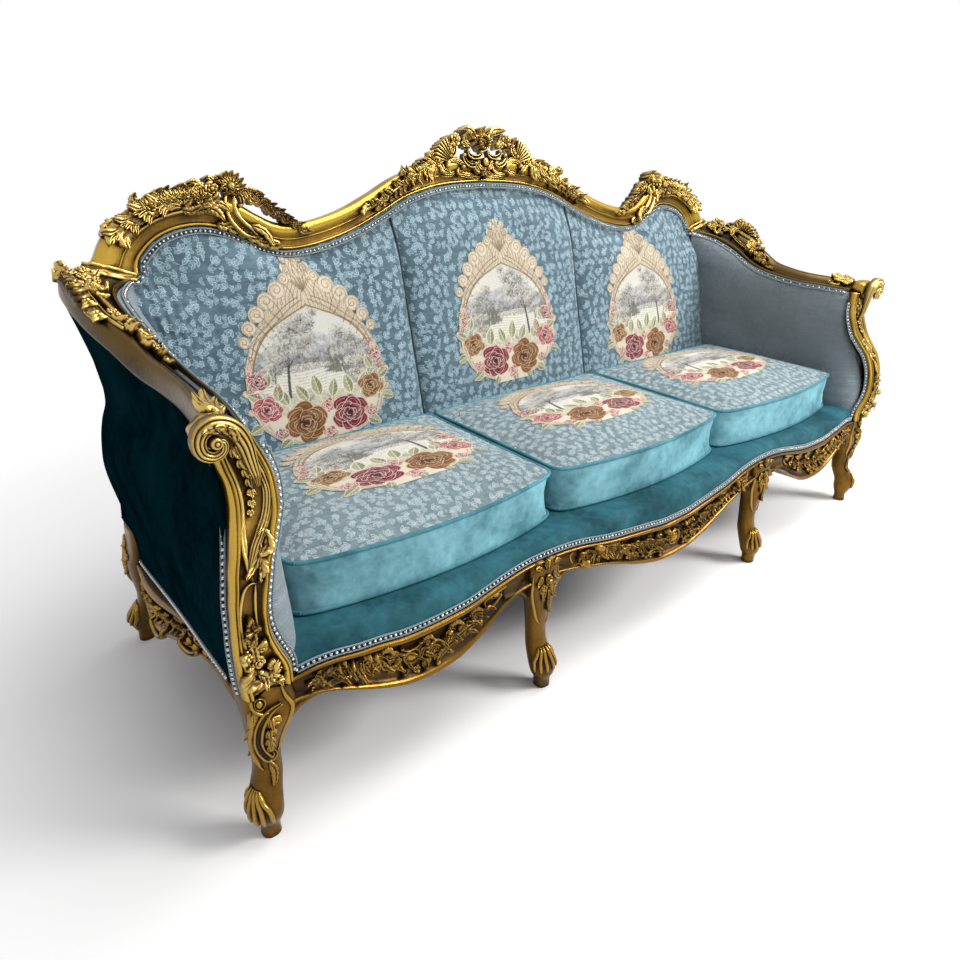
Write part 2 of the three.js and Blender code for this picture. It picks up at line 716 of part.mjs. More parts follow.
// A loose seat cushion between two places across the sofa: boxed, piped and crowned
function seatCushion(from, to) {
  const bottom = deckTop + clearance;
  const centre = (from + to) / 2;
  const half = (to - from) / 2;
  const outline = (x, y, size, z) => {
    const corner = 1 - Math.abs(x) ** 2;
    const rear = cushionRear + cushionLean * (z - bottom);
    const front = cushionFrontCorner - cushionBow * corner;
    const sideDraw = 1 - (boxingDraw / half) * (1 - Math.abs(y) ** 4);
    const level = (y + 1) / 2;
    return [centre + x * (half - size) * sideDraw, mix(front + size, rear - size, level)];
  };
  const ring = (inset, z, crown = 0) =>
    ringOf(cushionSides, (x, y) => {
      const [px, py] = outline(x, y, inset, z);
      return point(px, py, z + crown + ((y + 1) / 2) * (z > bottom + overrun * 2 ? cushionRise : 0));
    }, cushionPower);
  const shrunk = (share, rise) =>
    ringOf(cushionSides, (x, y) => {
      const [px, py] = outline(x * share, y * share, weltRadius, cushionTop);
      return point(px, py, cushionTop + rise * cushionCrown + ((y * share + 1) / 2) * cushionRise);
    }, mix(roundPower, cushionPower, share ** 2));
  const low = bottom + weltRadius;
  const rings = [
    ring(weltRadius * 2, bottom), ring(0, low), ring(weltRadius, low + weltRadius),
    ring(boxingDraw + weltRadius, mix(low, cushionTop, middle)),
    ring(weltRadius, cushionTop - 2 * weltRadius), ring(0, cushionTop - weltRadius),
    ring(weltRadius, cushionTop), shrunk(0.93, 0.3), shrunk(0.78, 0.65), shrunk(0.55, 0.88),
    shrunk(0.28, 0.98),
  ];
  const rearShare = (cushionRear + cushionFrontCorner - cushionBow) / 2;
  return domed(
    rings,
    point(centre, rearShare, bottom),
    point(centre, rearShare, cushionTop + cushionCrown + cushionRise / 2),
  );
}

// One panel of the inside back, between two places along the nail line
function backPanel(from, to, topPoints) {
  const bottom = deckTop + clearance;
  const levels = [0, 0.15, 0.4, 0.65, 0.85, 0.94, 1];
  const columns = topPoints.map((top, i) => {
    const share = i / (topPoints.length - 1);
    const foot = mix(from, to, share);
    const across = Math.max(1 - (2 * share - 1) ** 6, 0);
    const front = levels.map((level) => {
      const z = mix(bottom, top.z, level);
      const x = mix(foot, top.x, level ** 3);
      const puff = backCrown * (across * (1 - (2 * level - 1) ** 4) - (1 - across) * 0.6);
      const roll = edgeRoll * smooth(level, 0.9, 1);
      return point(x, fabricPlane(z) - puff + roll, z);
    });
    const back = front.map((p) => {
      const against = outsidePlane(p.z) - backSkin - clearance;
      return point(p.x, Math.min(fabricPlane(p.z) + panelThickness, against), p.z);
    });
    return [...front, ...back.reverse()];
  });
  return loft(columns);
}

// Points along the back's nail line, just inside the crest rail
function underCrest(fromShare, toShare, count) {
  return steps(count).map((t) => {
    const place = mix(fromShare, toShare, t);
    const direction = backLine.getTangent(Math.abs(place));
    const p = backLine.getPoint(Math.abs(place));
    const inward = point(direction.z, 0, -direction.x).multiplyScalar(2 * clearance);
    p.add(inward);
    return point(place < 0 ? -p.x : p.x, p.y, p.z);
  });
}

// Where along the nail line a distance from the middle is reached
function lineShareAt(x) {
  let low = 0;
  let high = 0.7;
  for (let i = 0; i < 24; i++) {
    const at = (low + high) / 2;
    if (backLine.getPoint(at).x < x) low = at;
    else high = at;
  }
  return low;
}

function middleBack(crest) {
  const seam = lineShareAt(seamPlace - clearance);
  const place = seamPlace - clearance;
  return trimmed(backPanel(-place, place, underCrest(-seam, seam, 12)), crest);
}

function sideBack() {
  const place = seamPlace + clearance;
  const corner = backCornerShares.map(([x, z]) => point(x * halfWidth, 0, z * height));
  const line = [...underCrest(lineShareAt(place), 0.985, 13), ...corner];
  return backPanel(place, armBelly + overrun + clearance, line);
}

// The inside arm: padded from the post's nail line back past the back's fabric
function insideArm() {
  const levels = [0, 0.14, 0.3, 0.46, 0.62, 0.8, 0.92, 1];
  const stations = [0, 0.03, 0.08, 0.15, 0.36, 0.58, 0.8, 1];
  const rings = stations.map((u) => {
    const top = armInner.getPoint(1 - 0.9 * u);
    const topZ = top.z + overrun / 2;
    const inner = [];
    const hidden = [];
    for (const level of levels) {
      const z = mix(deckLow, topZ, level);
      const [postInner, , nailY] = postLine(z);
      const front = nailY + postFace / 4 + clearance;
      const y = mix(mix(front, rearRailFace - overrun, u), top.y, level ** 2);
      const body = mix(armBelly + clearance, top.x, smooth(level, 0.62, 1));
      const turn = 1 - Math.min(u / 0.15, 1);
      const x = mix(postInner + clearance, body, Math.sqrt(1 - turn ** 2));
      const behind = mix(postInner + postInset, body + 2 * skinThickness, smooth(u, 0, 0.25));
      inner.push(point(x, y, z));
      hidden.push(point(Math.max(behind, x + skinThickness), y, z));
    }
    return [...inner, ...hidden.reverse()];
  });
  return loft(rings);
}

const outsideStations = [0, 0.2, 0.4, 0.6, 0.8, 0.88, 0.94, 1];
const rearEnd = outsidePlane(rearLegHeight) - backSkin - clearance;

// The outer face of the outside arm: its lower and upper edge at a depth, and x at a height.
// Above the rear leg its last stretch turns in to meet the outside back
function armSurface(y) {
  const railPoint = armOuter.getPoint(railShareAt(y));
  const top = railPoint.z + overrun / 2;
  const bottom = Math.max(sideApron(y)[1], y < sideRailFront ? legHeight : 0) + clearance;
  const share = smooth(y / rearEnd, 0, 0.9);
  const plain = (z) => mix(armFront(z)[0], armRear(z)[0], share);
  const turn = armTurn * Math.max((y - armTurnStart) / (rearEnd - armTurnStart), 0) ** 2;
  const at = (z) => {
    const level = (z - bottom) / (top - bottom);
    const pull = (railPoint.x - 2 * clearance - plain(top)) * smooth(level, 0.55, 1);
    const overLeg = smooth(z, rearLegHeight, rearLegHeight + armTurn) * (1 - Math.max(level, 0) ** 3);
    return plain(z) + pull - turn * overLeg;
  };
  return { bottom, top, at };
}

// The outside arm: a taut skin from the rail down to the side apron
function outsideArm() {
  const rings = outsideStations.map((u) => {
    const outer = steps(8).map((level) => {
      const atFront = mix(legHeight, postShares.at(-1)[0] * height, level);
      const y = mix(postLine(atFront)[2] + postFace / 4 + clearance, rearEnd, u);
      const { bottom, top, at } = armSurface(y);
      const z = mix(bottom, top, level);
      return point(at(z), y, z);
    });
    const inner = outer.map((p) => point(p.x - skinThickness + clearance, p.y, p.z));
    return [...outer, ...inner.reverse()];
  });
  return loft(rings);
}

// Where along the arm rail's outer edge a depth is reached
function railShareAt(y) {
  let low = 0.1;
  let high = 1;
  for (let i = 0; i < 24; i++) {
    const at = (low + high) / 2;
    if (armOuter.getPoint(at).y > y) low = at;
    else high = at;
  }
  return low;
}

// The outside back: one taut skin between the crest, the arms and the rear legs
function outsideBack(crest, leftRail, rightRail, leftLeg, rightLeg) {
  const corner = armInner.points[0];
  const half = [...underCrest(0, 0.96, 14).map((p) => [p.x, p.z]), [corner.x, corner.z - overrun]];
  const low = railTop - railHeight;
  const { at } = armSurface(rearEnd);
  const side = steps(9).map((t) => {
    const z = mix(corner.z + overrun, rearLegHeight + clearance, t);
    return [at(z), z];
  });
  const legInner = footSpread + (rearLegShares[0][1] - rearLegShares[0][3]) * cornerLegWidth;
  const foot = [[legInner - clearance, rearLegHeight + clearance], [legInner - clearance, low]];
  const right = [...half, ...side, ...foot];
  const left = right.map(([x, z]) => [-x, z]).reverse();
  const outline = new THREE.Shape(
    [...right, ...left.slice(0, -1)].map(([x, z]) => new THREE.Vector2(x, z)),
  );
  const skin = new THREE.ExtrudeGeometry(outline, { depth: backSkin, bevelEnabled: false });
  const place = skin.attributes.position;
  for (let i = 0; i < place.count; i++) {
    const [x, z, y] = [place.getX(i), place.getY(i), place.getZ(i)];
    place.setXYZ(i, x, outsidePlane(z) - y, z);
  }
  return trimmed(turned(skin), crest, leftRail, rightRail, leftLeg, rightLeg);
}

// A geometry whose faces were turned inwards by a swap of its axes, put right
function turned(geometry) {
  const merged = bare(geometry);
  return facingOut(Array.from(merged.attributes.position.array), Array.from(merged.index.array));
}

// A hidden upright of the back, between the rear rail, the inside back and the outside back
function backUpright(place, width, top) {
  const ledge = rearRailFace + rearRailLedge + clearance;
  const rings = steps(4).map((t) => {
    const z = mix(railTop + clearance, top, t);
    const front = Math.max(fabricPlane(z) + panelThickness + clearance, ledge);
    const rear = outsidePlane(z) - backSkin - clearance;
    const [low, high] = [place - width / 2, place + width / 2];
    return [point(low, front, z), point(high, front, z), point(high, rear, z), point(low, rear, z)];
  });
  return loft(rings);
}

function tackRail() {
  const low = deckTop + clearance;
  const high = low + tackRailHeight;
  const front = fabricPlane(high) + panelThickness + clearance;
  return block(
    point(-tackRailHalf, front, low),
    point(tackRailHalf, front + railThickness, high),
  );
}

// A carved piece: an outline in the plane of the back, its edges rounded, leaning with it
function backCarving(shares, holes, front, thickness) {
  const outline = new THREE.Shape(shares.map(([x, z]) => new THREE.Vector2(x * halfWidth, z * height)));
  for (const hole of holes) {
    const points = hole.map(([x, z]) => new THREE.Vector2(x * halfWidth, z * height));
    if (THREE.ShapeUtils.isClockWise(points)) points.reverse();
    outline.holes.push(new THREE.Path(points));
  }
  const piece = new THREE.ExtrudeGeometry(outline, {
    depth: thickness - 2 * carvingBevel,
    bevelThickness: carvingBevel,
    bevelSize: carvingBevel / 2,
    bevelSegments: 1,
    bevelOffset: -carvingBevel / 2,
  });
  const place = piece.attributes.position;
  const lean = (z) => crestPlane(z) - crestPlane(height);
  for (let i = 0; i < place.count; i++) {
    const [x, z, y] = [place.getX(i), place.getY(i), place.getZ(i)];
    place.setXYZ(i, x, front + lean(z) + carvingBevel + y, z);
  }
  return turned(piece);
}

function crestCartouche(crest) {
  const left = cartoucheShares.slice(1, -1).map(([x, z]) => [-x, z]).reverse();
  const hole = cartoucheHoleShares;
  const piece = backCarving(
    [...cartoucheShares, ...left],
    [hole, hole.map(([x, z]) => [-x, z])],
    cartoucheFront + height * crestLean * 0.13,
    cartoucheThickness,
  );
  return trimmed(piece, crest);
}

function shoulderCarving(crest) {
  const front = shoulderFront + height * crestLean * 0.2;
  const piece = backCarving(shoulderShares, [shoulderHoleShares], front, shoulderThickness);
  return trimmed(piece, crest);
}

function armCarving(rail) {
  const outline = new THREE.Shape(
    armCarvingShares.map(([y, z]) => new THREE.Vector2(y * depth, z * height)),
  );
  const piece = new THREE.ExtrudeGeometry(outline, {
    depth: armCarvingWidth - 2 * carvingBevel,
    bevelThickness: carvingBevel,
    bevelSize: carvingBevel / 2,
    bevelSegments: 1,
    bevelOffset: -carvingBevel / 2,
  });
  const place = piece.attributes.position;
  for (let i = 0; i < place.count; i++) {
    const [y, z, x] = [place.getX(i), place.getY(i), place.getZ(i)];
    const share = railShareAt(y);
    const centre = mix(armInner.getPoint(share).x, armOuter.getPoint(share).x, middle);
    place.setXYZ(i, centre - armCarvingWidth / 2 + carvingBevel + x, y, z);
  }
  return trimmed(turned(piece), rail);
}

function postCarving(post, legPiece) {
  const outline = new THREE.Shape(
    postCarvingShares.map(([x, z]) => new THREE.Vector2(x * halfWidth, z * height)),
  );
  const piece = new THREE.ExtrudeGeometry(outline, {
    depth: postCarvingProud,
    bevelThickness: carvingBevel,
    bevelSize: carvingBevel / 2,
    bevelSegments: 1,
    bevelOffset: -carvingBevel / 2,
  });
  const place = piece.attributes.position;
  const back = postLine(legHeight * 1.25)[2] - postFace / 2;
  for (let i = 0; i < place.count; i++) {
    const [x, z, y] = [place.getX(i), place.getY(i), place.getZ(i)];
    place.setXYZ(i, x, back - y, z);
  }
  return trimmed(turned(piece), post, legPiece);
}

// Finishes
const finish = (color, roughness, metalness = 0) => ({ color, roughness, metalness });
const gilt = finish(0xb08a2e, 0.38, 0.75);
const hardwood = finish(0x8a6a48, 0.7);
const jacquard = finish(0x7fa3b5, 0.75);
const armCloth = finish(0x7d8b98, 0.8);
const velvet = finish(0x2f7686, 0.85);
const darkVelvet = finish(0x12505c, 0.85);
const webbing = finish(0xb9a27c, 0.9);
const cambric = finish(0x26282b, 0.95);

const sofa = new THREE.Group();

function add(name, geometry, look) {
  const mesh = new THREE.Mesh(geometry, new THREE.MeshStandardMaterial(look));
  mesh.name = name;
  sofa.add(mesh);
}

// A piece on the right and its mirror image on the left
function addPair(name, geometry, look) {
  add(name + "_right", geometry, look);
  add(name + "_left", mirrored(geometry), look);
}

const crest = crestRail();
const rail = armRail();
const railLeft = mirrored(rail);
const post = armPost(rail);
const frontFoot = point(footSpread, 0, 0);
const frontLeg = leg(frontLegShares, legHeight, cornerLegWidth, frontFoot);
const middleFoot = point(middleLegPlace, -middleFootForward, 0);
const middleLeg = leg(middleLegShares, middleLegHeight, middleLegWidth, middleFoot);
const rearLeg = leg(rearLegShares, rearLegHeight, cornerLegWidth, point(footSpread, rearFootPlace, 0));
const rearLegLeft = mirrored(rearLeg);
const rearMiddleTop = railTop - rearRailHeight - clearance;
const rearMiddleFoot = point(middleLegPlace, rearFootPlace - overrun, 0);
const rearMiddleLeg = leg(rearMiddleLegShares, rearMiddleTop, rearMiddleLegWidth, rearMiddleFoot);

add("crest_rail", crest, gilt);
addPair("arm_rail", rail, gilt);
addPair("arm_post", post, gilt);
addPair("front_leg", frontLeg, gilt);
addPair("front_middle_leg", middleLeg, gilt);
addPair("rear_leg", rearLeg, gilt);
addPair("rear_middle_leg", rearMiddleLeg, gilt);

const middleLegSide = middleLegPlace - middleLegWidth * middle - clearance;
const middleLegFar = middleLegPlace + middleLegWidth * middle + clearance;
const middleApron = frontApron(-middleLegSide, middleLegSide, 18);
const apron = frontApron(middleLegFar, frontLegSide, 16);
add("front_apron_middle", middleApron, gilt);
addPair("front_apron", apron, gilt);
const sidePiece = sideApronPiece(frontLeg, rearLeg);
addPair("side_apron", sidePiece, gilt);

add("front_seat_rail", frontSeatRail(), hardwood);
addPair("side_seat_rail", sideSeatRail(frontLeg, rearLeg), hardwood);
add("rear_seat_rail", rearSeatRail(rearLegLeft, rearLeg), hardwood);
addPair("cross_rail", crossRail(), hardwood);
const blockX = sideRailInner - clearance;
const blockFront = sideRailFront;
addPair("front_corner_block", cornerBlock(blockX, blockFront, -1, 1), hardwood);
addPair("rear_corner_block", cornerBlock(blockX, rearRailFace - clearance, -1, -1), hardwood);
add("seat_webbing", seatWebbing(), webbing);
add("dust_cover", dustCover(), cambric);

const inner = seamPlace + cushionSpace;
add("seat_cushion_middle", seatCushion(-seamPlace + cushionSpace, seamPlace - cushionSpace), jacquard);
addPair("seat_cushion", seatCushion(inner, cushionOuter), jacquard);

const armPadForm = insideArm();
const armPad = trimmed(armPadForm, rail, post, frontLeg, apron);
const underDeck = [apron, mirrored(apron), middleApron, middleLeg, mirrored(middleLeg)];
const besideDeck = [armPadForm, post, rearLeg].flatMap((piece) => [piece, mirrored(piece)]);
add("seat_deck", seatDeck(...underDeck, ...besideDeck), velvet);
add("inside_back_middle", middleBack(crest), jacquard);
addPair("inside_back", trimmed(sideBack(), crest, rail, armPadForm), jacquard);
addPair("inside_arm", armPad, armCloth);
const armSkinForm = outsideArm();
addPair("outside_arm", trimmed(armSkinForm, rail, post, frontLeg, sidePiece, rearLeg), darkVelvet);
add("outside_back", outsideBack(crest, railLeft, rail, rearLegLeft, rearLeg), darkVelvet);

const uprightTop = backLine.getPoint(lineShareAt(seamPlace)).z + overrun;
addPair("back_stile", trimmed(backUpright(stilePlace, stileWidth, stileTop), armSkinForm), hardwood);
addPair("back_upright", trimmed(backUpright(seamPlace, uprightWidth, uprightTop), crest), hardwood);
add("back_tack_rail", tackRail(), hardwood);

add("crest_cartouche", crestCartouche(crest), gilt);
addPair("shoulder_carving", shoulderCarving(crest), gilt);
addPair("arm_carving", armCarving(rail), gilt);
addPair("post_carving", postCarving(post, frontLeg), gilt);

// The origin is under the middle of the sofa, on the floor
const bounds = new THREE.Box3().setFromObject(sofa);
sofa.position.y = -(bounds.min.y + bounds.max.y) / 2;

export default sofa;
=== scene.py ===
# A carved giltwood sofa: the looks of every surface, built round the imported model.
# Lengths are metres. x runs across the sofa, y from front to back, z up. While a piece is
# made, y counts from the line through the front feet; make() moves it into the row's frame.
import bpy
import math
import numpy as np
from mathutils import Matrix, Vector
from mathutils.bvhtree import BVHTree


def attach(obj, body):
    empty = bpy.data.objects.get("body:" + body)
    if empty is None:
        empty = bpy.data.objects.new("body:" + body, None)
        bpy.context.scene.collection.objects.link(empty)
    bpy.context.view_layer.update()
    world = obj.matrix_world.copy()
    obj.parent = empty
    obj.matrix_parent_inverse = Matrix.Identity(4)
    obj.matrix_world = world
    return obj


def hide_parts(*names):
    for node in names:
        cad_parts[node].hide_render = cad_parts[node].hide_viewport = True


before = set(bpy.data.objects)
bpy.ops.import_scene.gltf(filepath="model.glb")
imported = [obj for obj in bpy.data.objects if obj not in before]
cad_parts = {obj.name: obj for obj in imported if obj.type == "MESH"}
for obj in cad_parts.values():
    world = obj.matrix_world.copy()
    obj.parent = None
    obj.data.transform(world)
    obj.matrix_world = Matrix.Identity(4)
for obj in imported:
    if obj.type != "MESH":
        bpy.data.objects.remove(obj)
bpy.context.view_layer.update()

HALF, DEPTH, TALL, SHIFT = 1.1, 0.74, 1.169, 0.350829
X, Y, Z = np.eye(3)
PI = math.pi

# Sizes that more than one piece follows, as in the part's source
# (GAP lies between neighbours, POST_DEEP between a post's front line and the cloth behind it)
GAP, SKIN_THICK, POST_DEEP = .0003, .0103, .0043
FRONT_LEG_TOP, MIDDLE_LEG_TOP, REAR_LEG_TOP = TALL * .2643, TALL * .2763, TALL * .2909
CORNER_LEG_WIDE, MIDDLE_LEG_WIDE, REAR_MIDDLE_LEG_WIDE = .092, .082, .056
CORNER_X, MIDDLE_X, REAR_FOOT_Y = HALF * .9718, HALF * .3909, DEPTH * .9797
RAIL_FRONT, RAIL_REAR_Y, RAIL_LOW = DEPTH * .0473, DEPTH * .8716, TALL * .2589
SKIN_PLACE = DEPTH * .9459
BELLY, SEAM = HALF * .87, HALF * .2873
VOLUTE_X, VOLUTE_Z, POST_TOP = HALF * .9445, TALL * .6185, TALL * .62
POST_RELIEF, APRON_RELIEF = .016, .006
LEG_CORNERS = (2.4, 4.0, .7, .85)

# Outline tables, as in the part's source: x as shares of HALF, y of DEPTH, z of TALL
BACK_LINE = [
    (0, .887), (.118, .881), (.182, .871), (.245, .854), (.314, .825), (.391, .796),
    (.464, .777), (.518, .769), (.559, .768), (.6, .776), (.636, .791), (.668, .806),
    (.705, .816), (.736, .818), (.773, .813), (.805, .802), (.832, .784), (.85, .764),
    (.853, .743)]
CREST_WIDTH = [(0, 1), (.42, .95), (.68, 1.13), (.9, 1.25), (1, 1.4)]
ARM_INNER = [
    (.853, .911, .743), (.864, .901, .736), (.886, .882, .729), (.909, .835, .72),
    (.917, .784, .71), (.917, .73, .697), (.91, .662, .678), (.898, .588, .654),
    (.889, .507, .637), (.885, .405, .625), (.883, .315, .618), (.888, .223, .615),
    (.895, .142, .611), (.897, .111, .609)]
ARM_OUTER = [
    (.94, .922, .768), (.967, .924, .754), (.987, .908, .743), (.998, .854, .731),
    (1, .792, .718), (.997, .732, .703), (.99, .662, .686), (.976, .585, .665),
    (.958, .504, .636), (.944, .409, .622), (.939, .322, .614), (.943, .227, .609),
    (.949, .142, .605), (.952, .108, .603)]
RAIL_TURN = [(0, .08), (.08, .4), (.15, .7), (.25, .95), (.35, 1), (1, 1)]
POST = [
    (.265, .909, .985, -.014), (.295, .91, .988, -.016), (.332, .925, .99, -.027),
    (.359, .934, .989, -.027), (.386, .935, .986, -.023), (.41, .93, .983, -.018),
    (.43, .923, .978, -.011), (.452, .914, .972, .001), (.47, .902, .964, .016),
    (.488, .891, .957, .032), (.506, .881, .951, .046), (.528, .876, .946, .059),
    (.551, .875, .945, .072), (.572, .88, .949, .081), (.62, .9, .956, .092)]
FRONT_LEG = [(1, -.337, .25, .5, .391), (.92, -.348, .228, .489, .391),
             (.848, -.359, .185, .489, .391), (.777, -.315, .141, .424, .37),
             (.696, -.25, .141, .359, .337), (.6, -.207, .185, .293, .293),
             (.485, -.196, .196, .261, .261), (.395, -.163, .163, .272, .272),
             (.317, -.065, .076, .295, .29), (.243, .011, -.011, .315, .31),
             (.168, .022, -.022, .304, .304), (.11, 0, -.011, .228, .239),
             (.071, -.011, 0, .174, .185), (0, 0, 0, .185, .196)]
MIDDLE_LEG = [
    (1, 0, .366, .49, .39), (.9, 0, .341, .5, .4), (.81, 0, .317, .488, .4),
    (.728, 0, .293, .415, .378), (.635, 0, .293, .329, .329), (.526, 0, .317, .28, .293),
    (.418, 0, .317, .262, .268), (.325, 0, .268, .28, .293), (.248, 0, .146, .317, .329),
    (.18, 0, .037, .341, .341), (.118, 0, 0, .305, .305), (.074, 0, 0, .22, .232),
    (0, 0, 0, .207, .207)]
REAR_LEG = [(1, -.326, -.793, .37, .391), (.882, -.293, -.707, .359, .435),
            (.779, -.25, -.576, .348, .457), (.691, -.207, -.446, .348, .478),
            (.603, -.185, -.359, .315, .435), (.515, -.185, -.38, .272, .359),
            (.412, -.174, -.402, .239, .283), (.324, -.13, -.293, .25, .283),
            (.241, -.043, -.12, .293, .304), (.171, .022, .011, .304, .304),
            (.112, .011, .022, .25, .25), (.071, 0, .011, .185, .185), (0, 0, 0, .185, .185)]
REAR_MIDDLE_LEG = [
    (1, 0, -.875, .5, .36), (.82, 0, -.8, .43, .38), (.64, 0, -.71, .375, .375),
    (.46, 0, -.46, .39, .41), (.32, 0, -.18, .46, .46), (.2, 0, -.03, .45, .45),
    (.11, 0, 0, .3, .3), (0, 0, 0, .3, .3)]
APRON_TOP = [
    (0, .246), (.045, .246), (.091, .251), (.148, .256), (.2, .26), (.242, .265), (.285, .272),
    (.315, .275), (.355, .277), (.427, .277), (.479, .273), (.531, .266), (.582, .259),
    (.629, .257), (.677, .256), (.718, .257), (.76, .262), (.799, .264), (.837, .268),
    (.874, .268), (.902, .264)]
APRON_BOTTOM = [
    (0, .158), (.045, .16), (.091, .169), (.136, .181), (.182, .197), (.227, .21), (.273, .22),
    (.309, .228), (.355, .235), (.427, .235), (.464, .231), (.5, .218), (.536, .197),
    (.564, .184), (.609, .166), (.659, .16), (.709, .163), (.755, .175), (.805, .195),
    (.859, .216), (.902, .221)]
APRON_FACE = [
    (0, -.061), (.091, -.058), (.182, -.05), (.273, -.038), (.355, -.03), (.427, -.027),
    (.5, -.032), (.591, -.041), (.682, -.042), (.773, -.035), (.845, -.024), (.902, -.016)]
SIDE_APRON = [
    (.088, .973, .264, .221), (.203, .969, .259, .218), (.338, .971, .251, .205),
    (.473, .976, .238, .175), (.608, .982, .224, .144), (.73, .98, .214, .128),
    (.811, .973, .212, .135), (.892, .965, .214, .163)]
ARM_FRONT = [
    (.205, .975), (.257, .984), (.311, .989), (.341, .99), (.376, .987), (.411, .983),
    (.447, .973), (.478, .961), (.507, .951), (.534, .945), (.556, .945), (.578, .949),
    (.62, .956)]
ARM_REAR = [
    (.205, .964), (.288, .971), (.366, .986), (.433, .996), (.482, .991), (.516, .982),
    (.547, .969), (.599, .967), (.659, .976), (.727, .991)]
BACK_CORNER = [(.857, .733), (.872, .727), (.9, .719)]


# ---- Curves and shapes as arrays

def through(rows, sizes=None):
    """A smooth curve through rows of numbers: the first is the place, the others the values."""
    rows = np.array(rows, float) * (1 if sizes is None else np.array(sizes))
    x, v = rows[:, 0], rows[:, 1:]
    n = len(x)
    before, after = np.maximum(np.arange(n) - 1, 0), np.minimum(np.arange(n) + 1, n - 1)
    slope = (v[after] - v[before]) / (x[after] - x[before])[:, None]

    def at(place):
        p = np.clip(np.atleast_1d(np.asarray(place, float)), x[0], x[-1])
        i = np.clip(np.searchsorted(x, p) - 1, 0, n - 2)
        w = (x[i + 1] - x[i])[:, None]
        t = (p - x[i])[:, None] / w
        return ((1 - t) ** 2 * ((1 + 2 * t) * v[i] + t * w * slope[i])
                + t ** 2 * ((3 - 2 * t) * v[i + 1] - (1 - t) * w * slope[i + 1]))
    return at


def spline(points):
    """A smooth line through points; the answer takes places from 0 to 1."""
    p = np.array(points, float)
    p = np.vstack([2 * p[0] - p[1], p, 2 * p[-1] - p[-2]])
    gaps = np.linalg.norm(np.diff(p, axis=0), axis=1) ** .5

    def at(t):
        t = np.clip(np.atleast_1d(np.asarray(t, float)), 0, 1) * (len(p) - 3)
        i = np.minimum(t.astype(int), len(p) - 4)
        w = (t - i)[:, None]
        a, b, c, d = p[i], p[i + 1], p[i + 2], p[i + 3]
        g0, g1, g2 = gaps[i][:, None], gaps[i + 1][:, None], gaps[i + 2][:, None]
        m1 = ((b - a) / g0 - (c - a) / (g0 + g1) + (c - b) / g1) * g1
        m2 = ((c - b) / g1 - (d - b) / (g1 + g2) + (d - c) / g2) * g1
        return b + w * (m1 + w * (3 * (c - b) - 2 * m1 - m2 + w * (2 * (b - c) + m1 + m2)))
    return at


def tangents(points):
    return unit(np.gradient(points, axis=0))


def unit(v):
    return v / np.maximum(np.linalg.norm(v, axis=-1, keepdims=True), 1e-12)


def mix(a, b, t):
    return a + (b - a) * t


def smooth(x, low, high):
    t = np.clip((x - low) / (high - low), 0, 1)
    return t * t * (3 - 2 * t)


def toward(angle):
    """A step of length one at an angle."""
    return np.array([math.cos(angle), math.sin(angle)])


def even(points, count):
    """The same line with its points evenly spaced."""
    points = np.asarray(points, float)
    far = np.concatenate([[0], np.cumsum(np.linalg.norm(np.diff(points, axis=0), axis=1))])
    want = np.linspace(0, far[-1], count)
    return np.stack([np.interp(want, far, points[:, k]) for k in range(points.shape[1])], 1)


def length_of(points):
    return np.linalg.norm(np.diff(points, axis=0), axis=1).sum()


def both_sides(line):
    """A line or rings of the right half, starting in the middle, made whole."""
    return np.concatenate([(line * [-1, 1, 1])[:0:-1], line])


def ripple(u, v, scale, seed=0):
    """A smooth uneven field from a few crossed waves, about -1 to 1."""
    rng = np.random.default_rng(seed)
    total = np.zeros(np.broadcast(u, v).shape)
    for _ in range(9):
        angle, size, phase = rng.uniform(0, 2 * PI), rng.uniform(.5, 1.6), rng.uniform(0, 2 * PI)
        total += np.sin((u * math.cos(angle) + v * math.sin(angle)) * 2 * PI * size / scale
                        + phase)
    return total / 4.5


# ---- Pieces: heaps of points and faces that become one object

class Heap:
    """Points and faces gathered for one object, with a relief value (0 deep, 1 proud), which the
    gilt materials turn into painted shade and painted highlight.
    """

    def __init__(self):
        self.verts, self.faces, self.relief, self.uv, self.paint = [], [], [], [], []
        self.count = 0

    def add(self, verts, faces, relief=.6, uv=None):
        verts = np.asarray(verts, float).reshape(-1, 3)
        self.verts.append(verts)
        self.relief.append(np.broadcast_to(np.asarray(relief, float).ravel(), len(verts)).copy())
        self.uv.append(np.zeros((len(verts), 2)) if uv is None else np.asarray(uv).reshape(-1, 2))
        for group in faces if isinstance(faces, list) else [faces]:
            if len(group):
                self.faces.append((np.asarray(group, int) + self.count, 0))
        self.count += len(verts)
        return self

    def join(self, other, mirror=False):
        for verts, relief, uv in zip(other.verts, other.relief, other.uv):
            self.verts.append(verts * ([-1, 1, 1] if mirror else [1, 1, 1]))
            self.relief.append(relief)
            self.uv.append(uv * ([-1, 1] if mirror else [1, 1]))
        for group, paint in other.faces:
            self.faces.append(((group[:, ::-1] if mirror else group) + self.count, paint))
        self.count += other.count
        return self

    def mirrored(self):
        return Heap().join(self, mirror=True)


def grid_faces(rows, columns, wrap=False):
    """Quads over rows of points; with wrap the last column joins the first."""
    r, c = np.meshgrid(np.arange(rows - 1), np.arange(columns if wrap else columns - 1),
                       indexing="ij")
    a = r * columns + c
    b = r * columns + (c + 1) % columns
    return np.stack([a, b, b + columns, a + columns], -1).reshape(-1, 4)


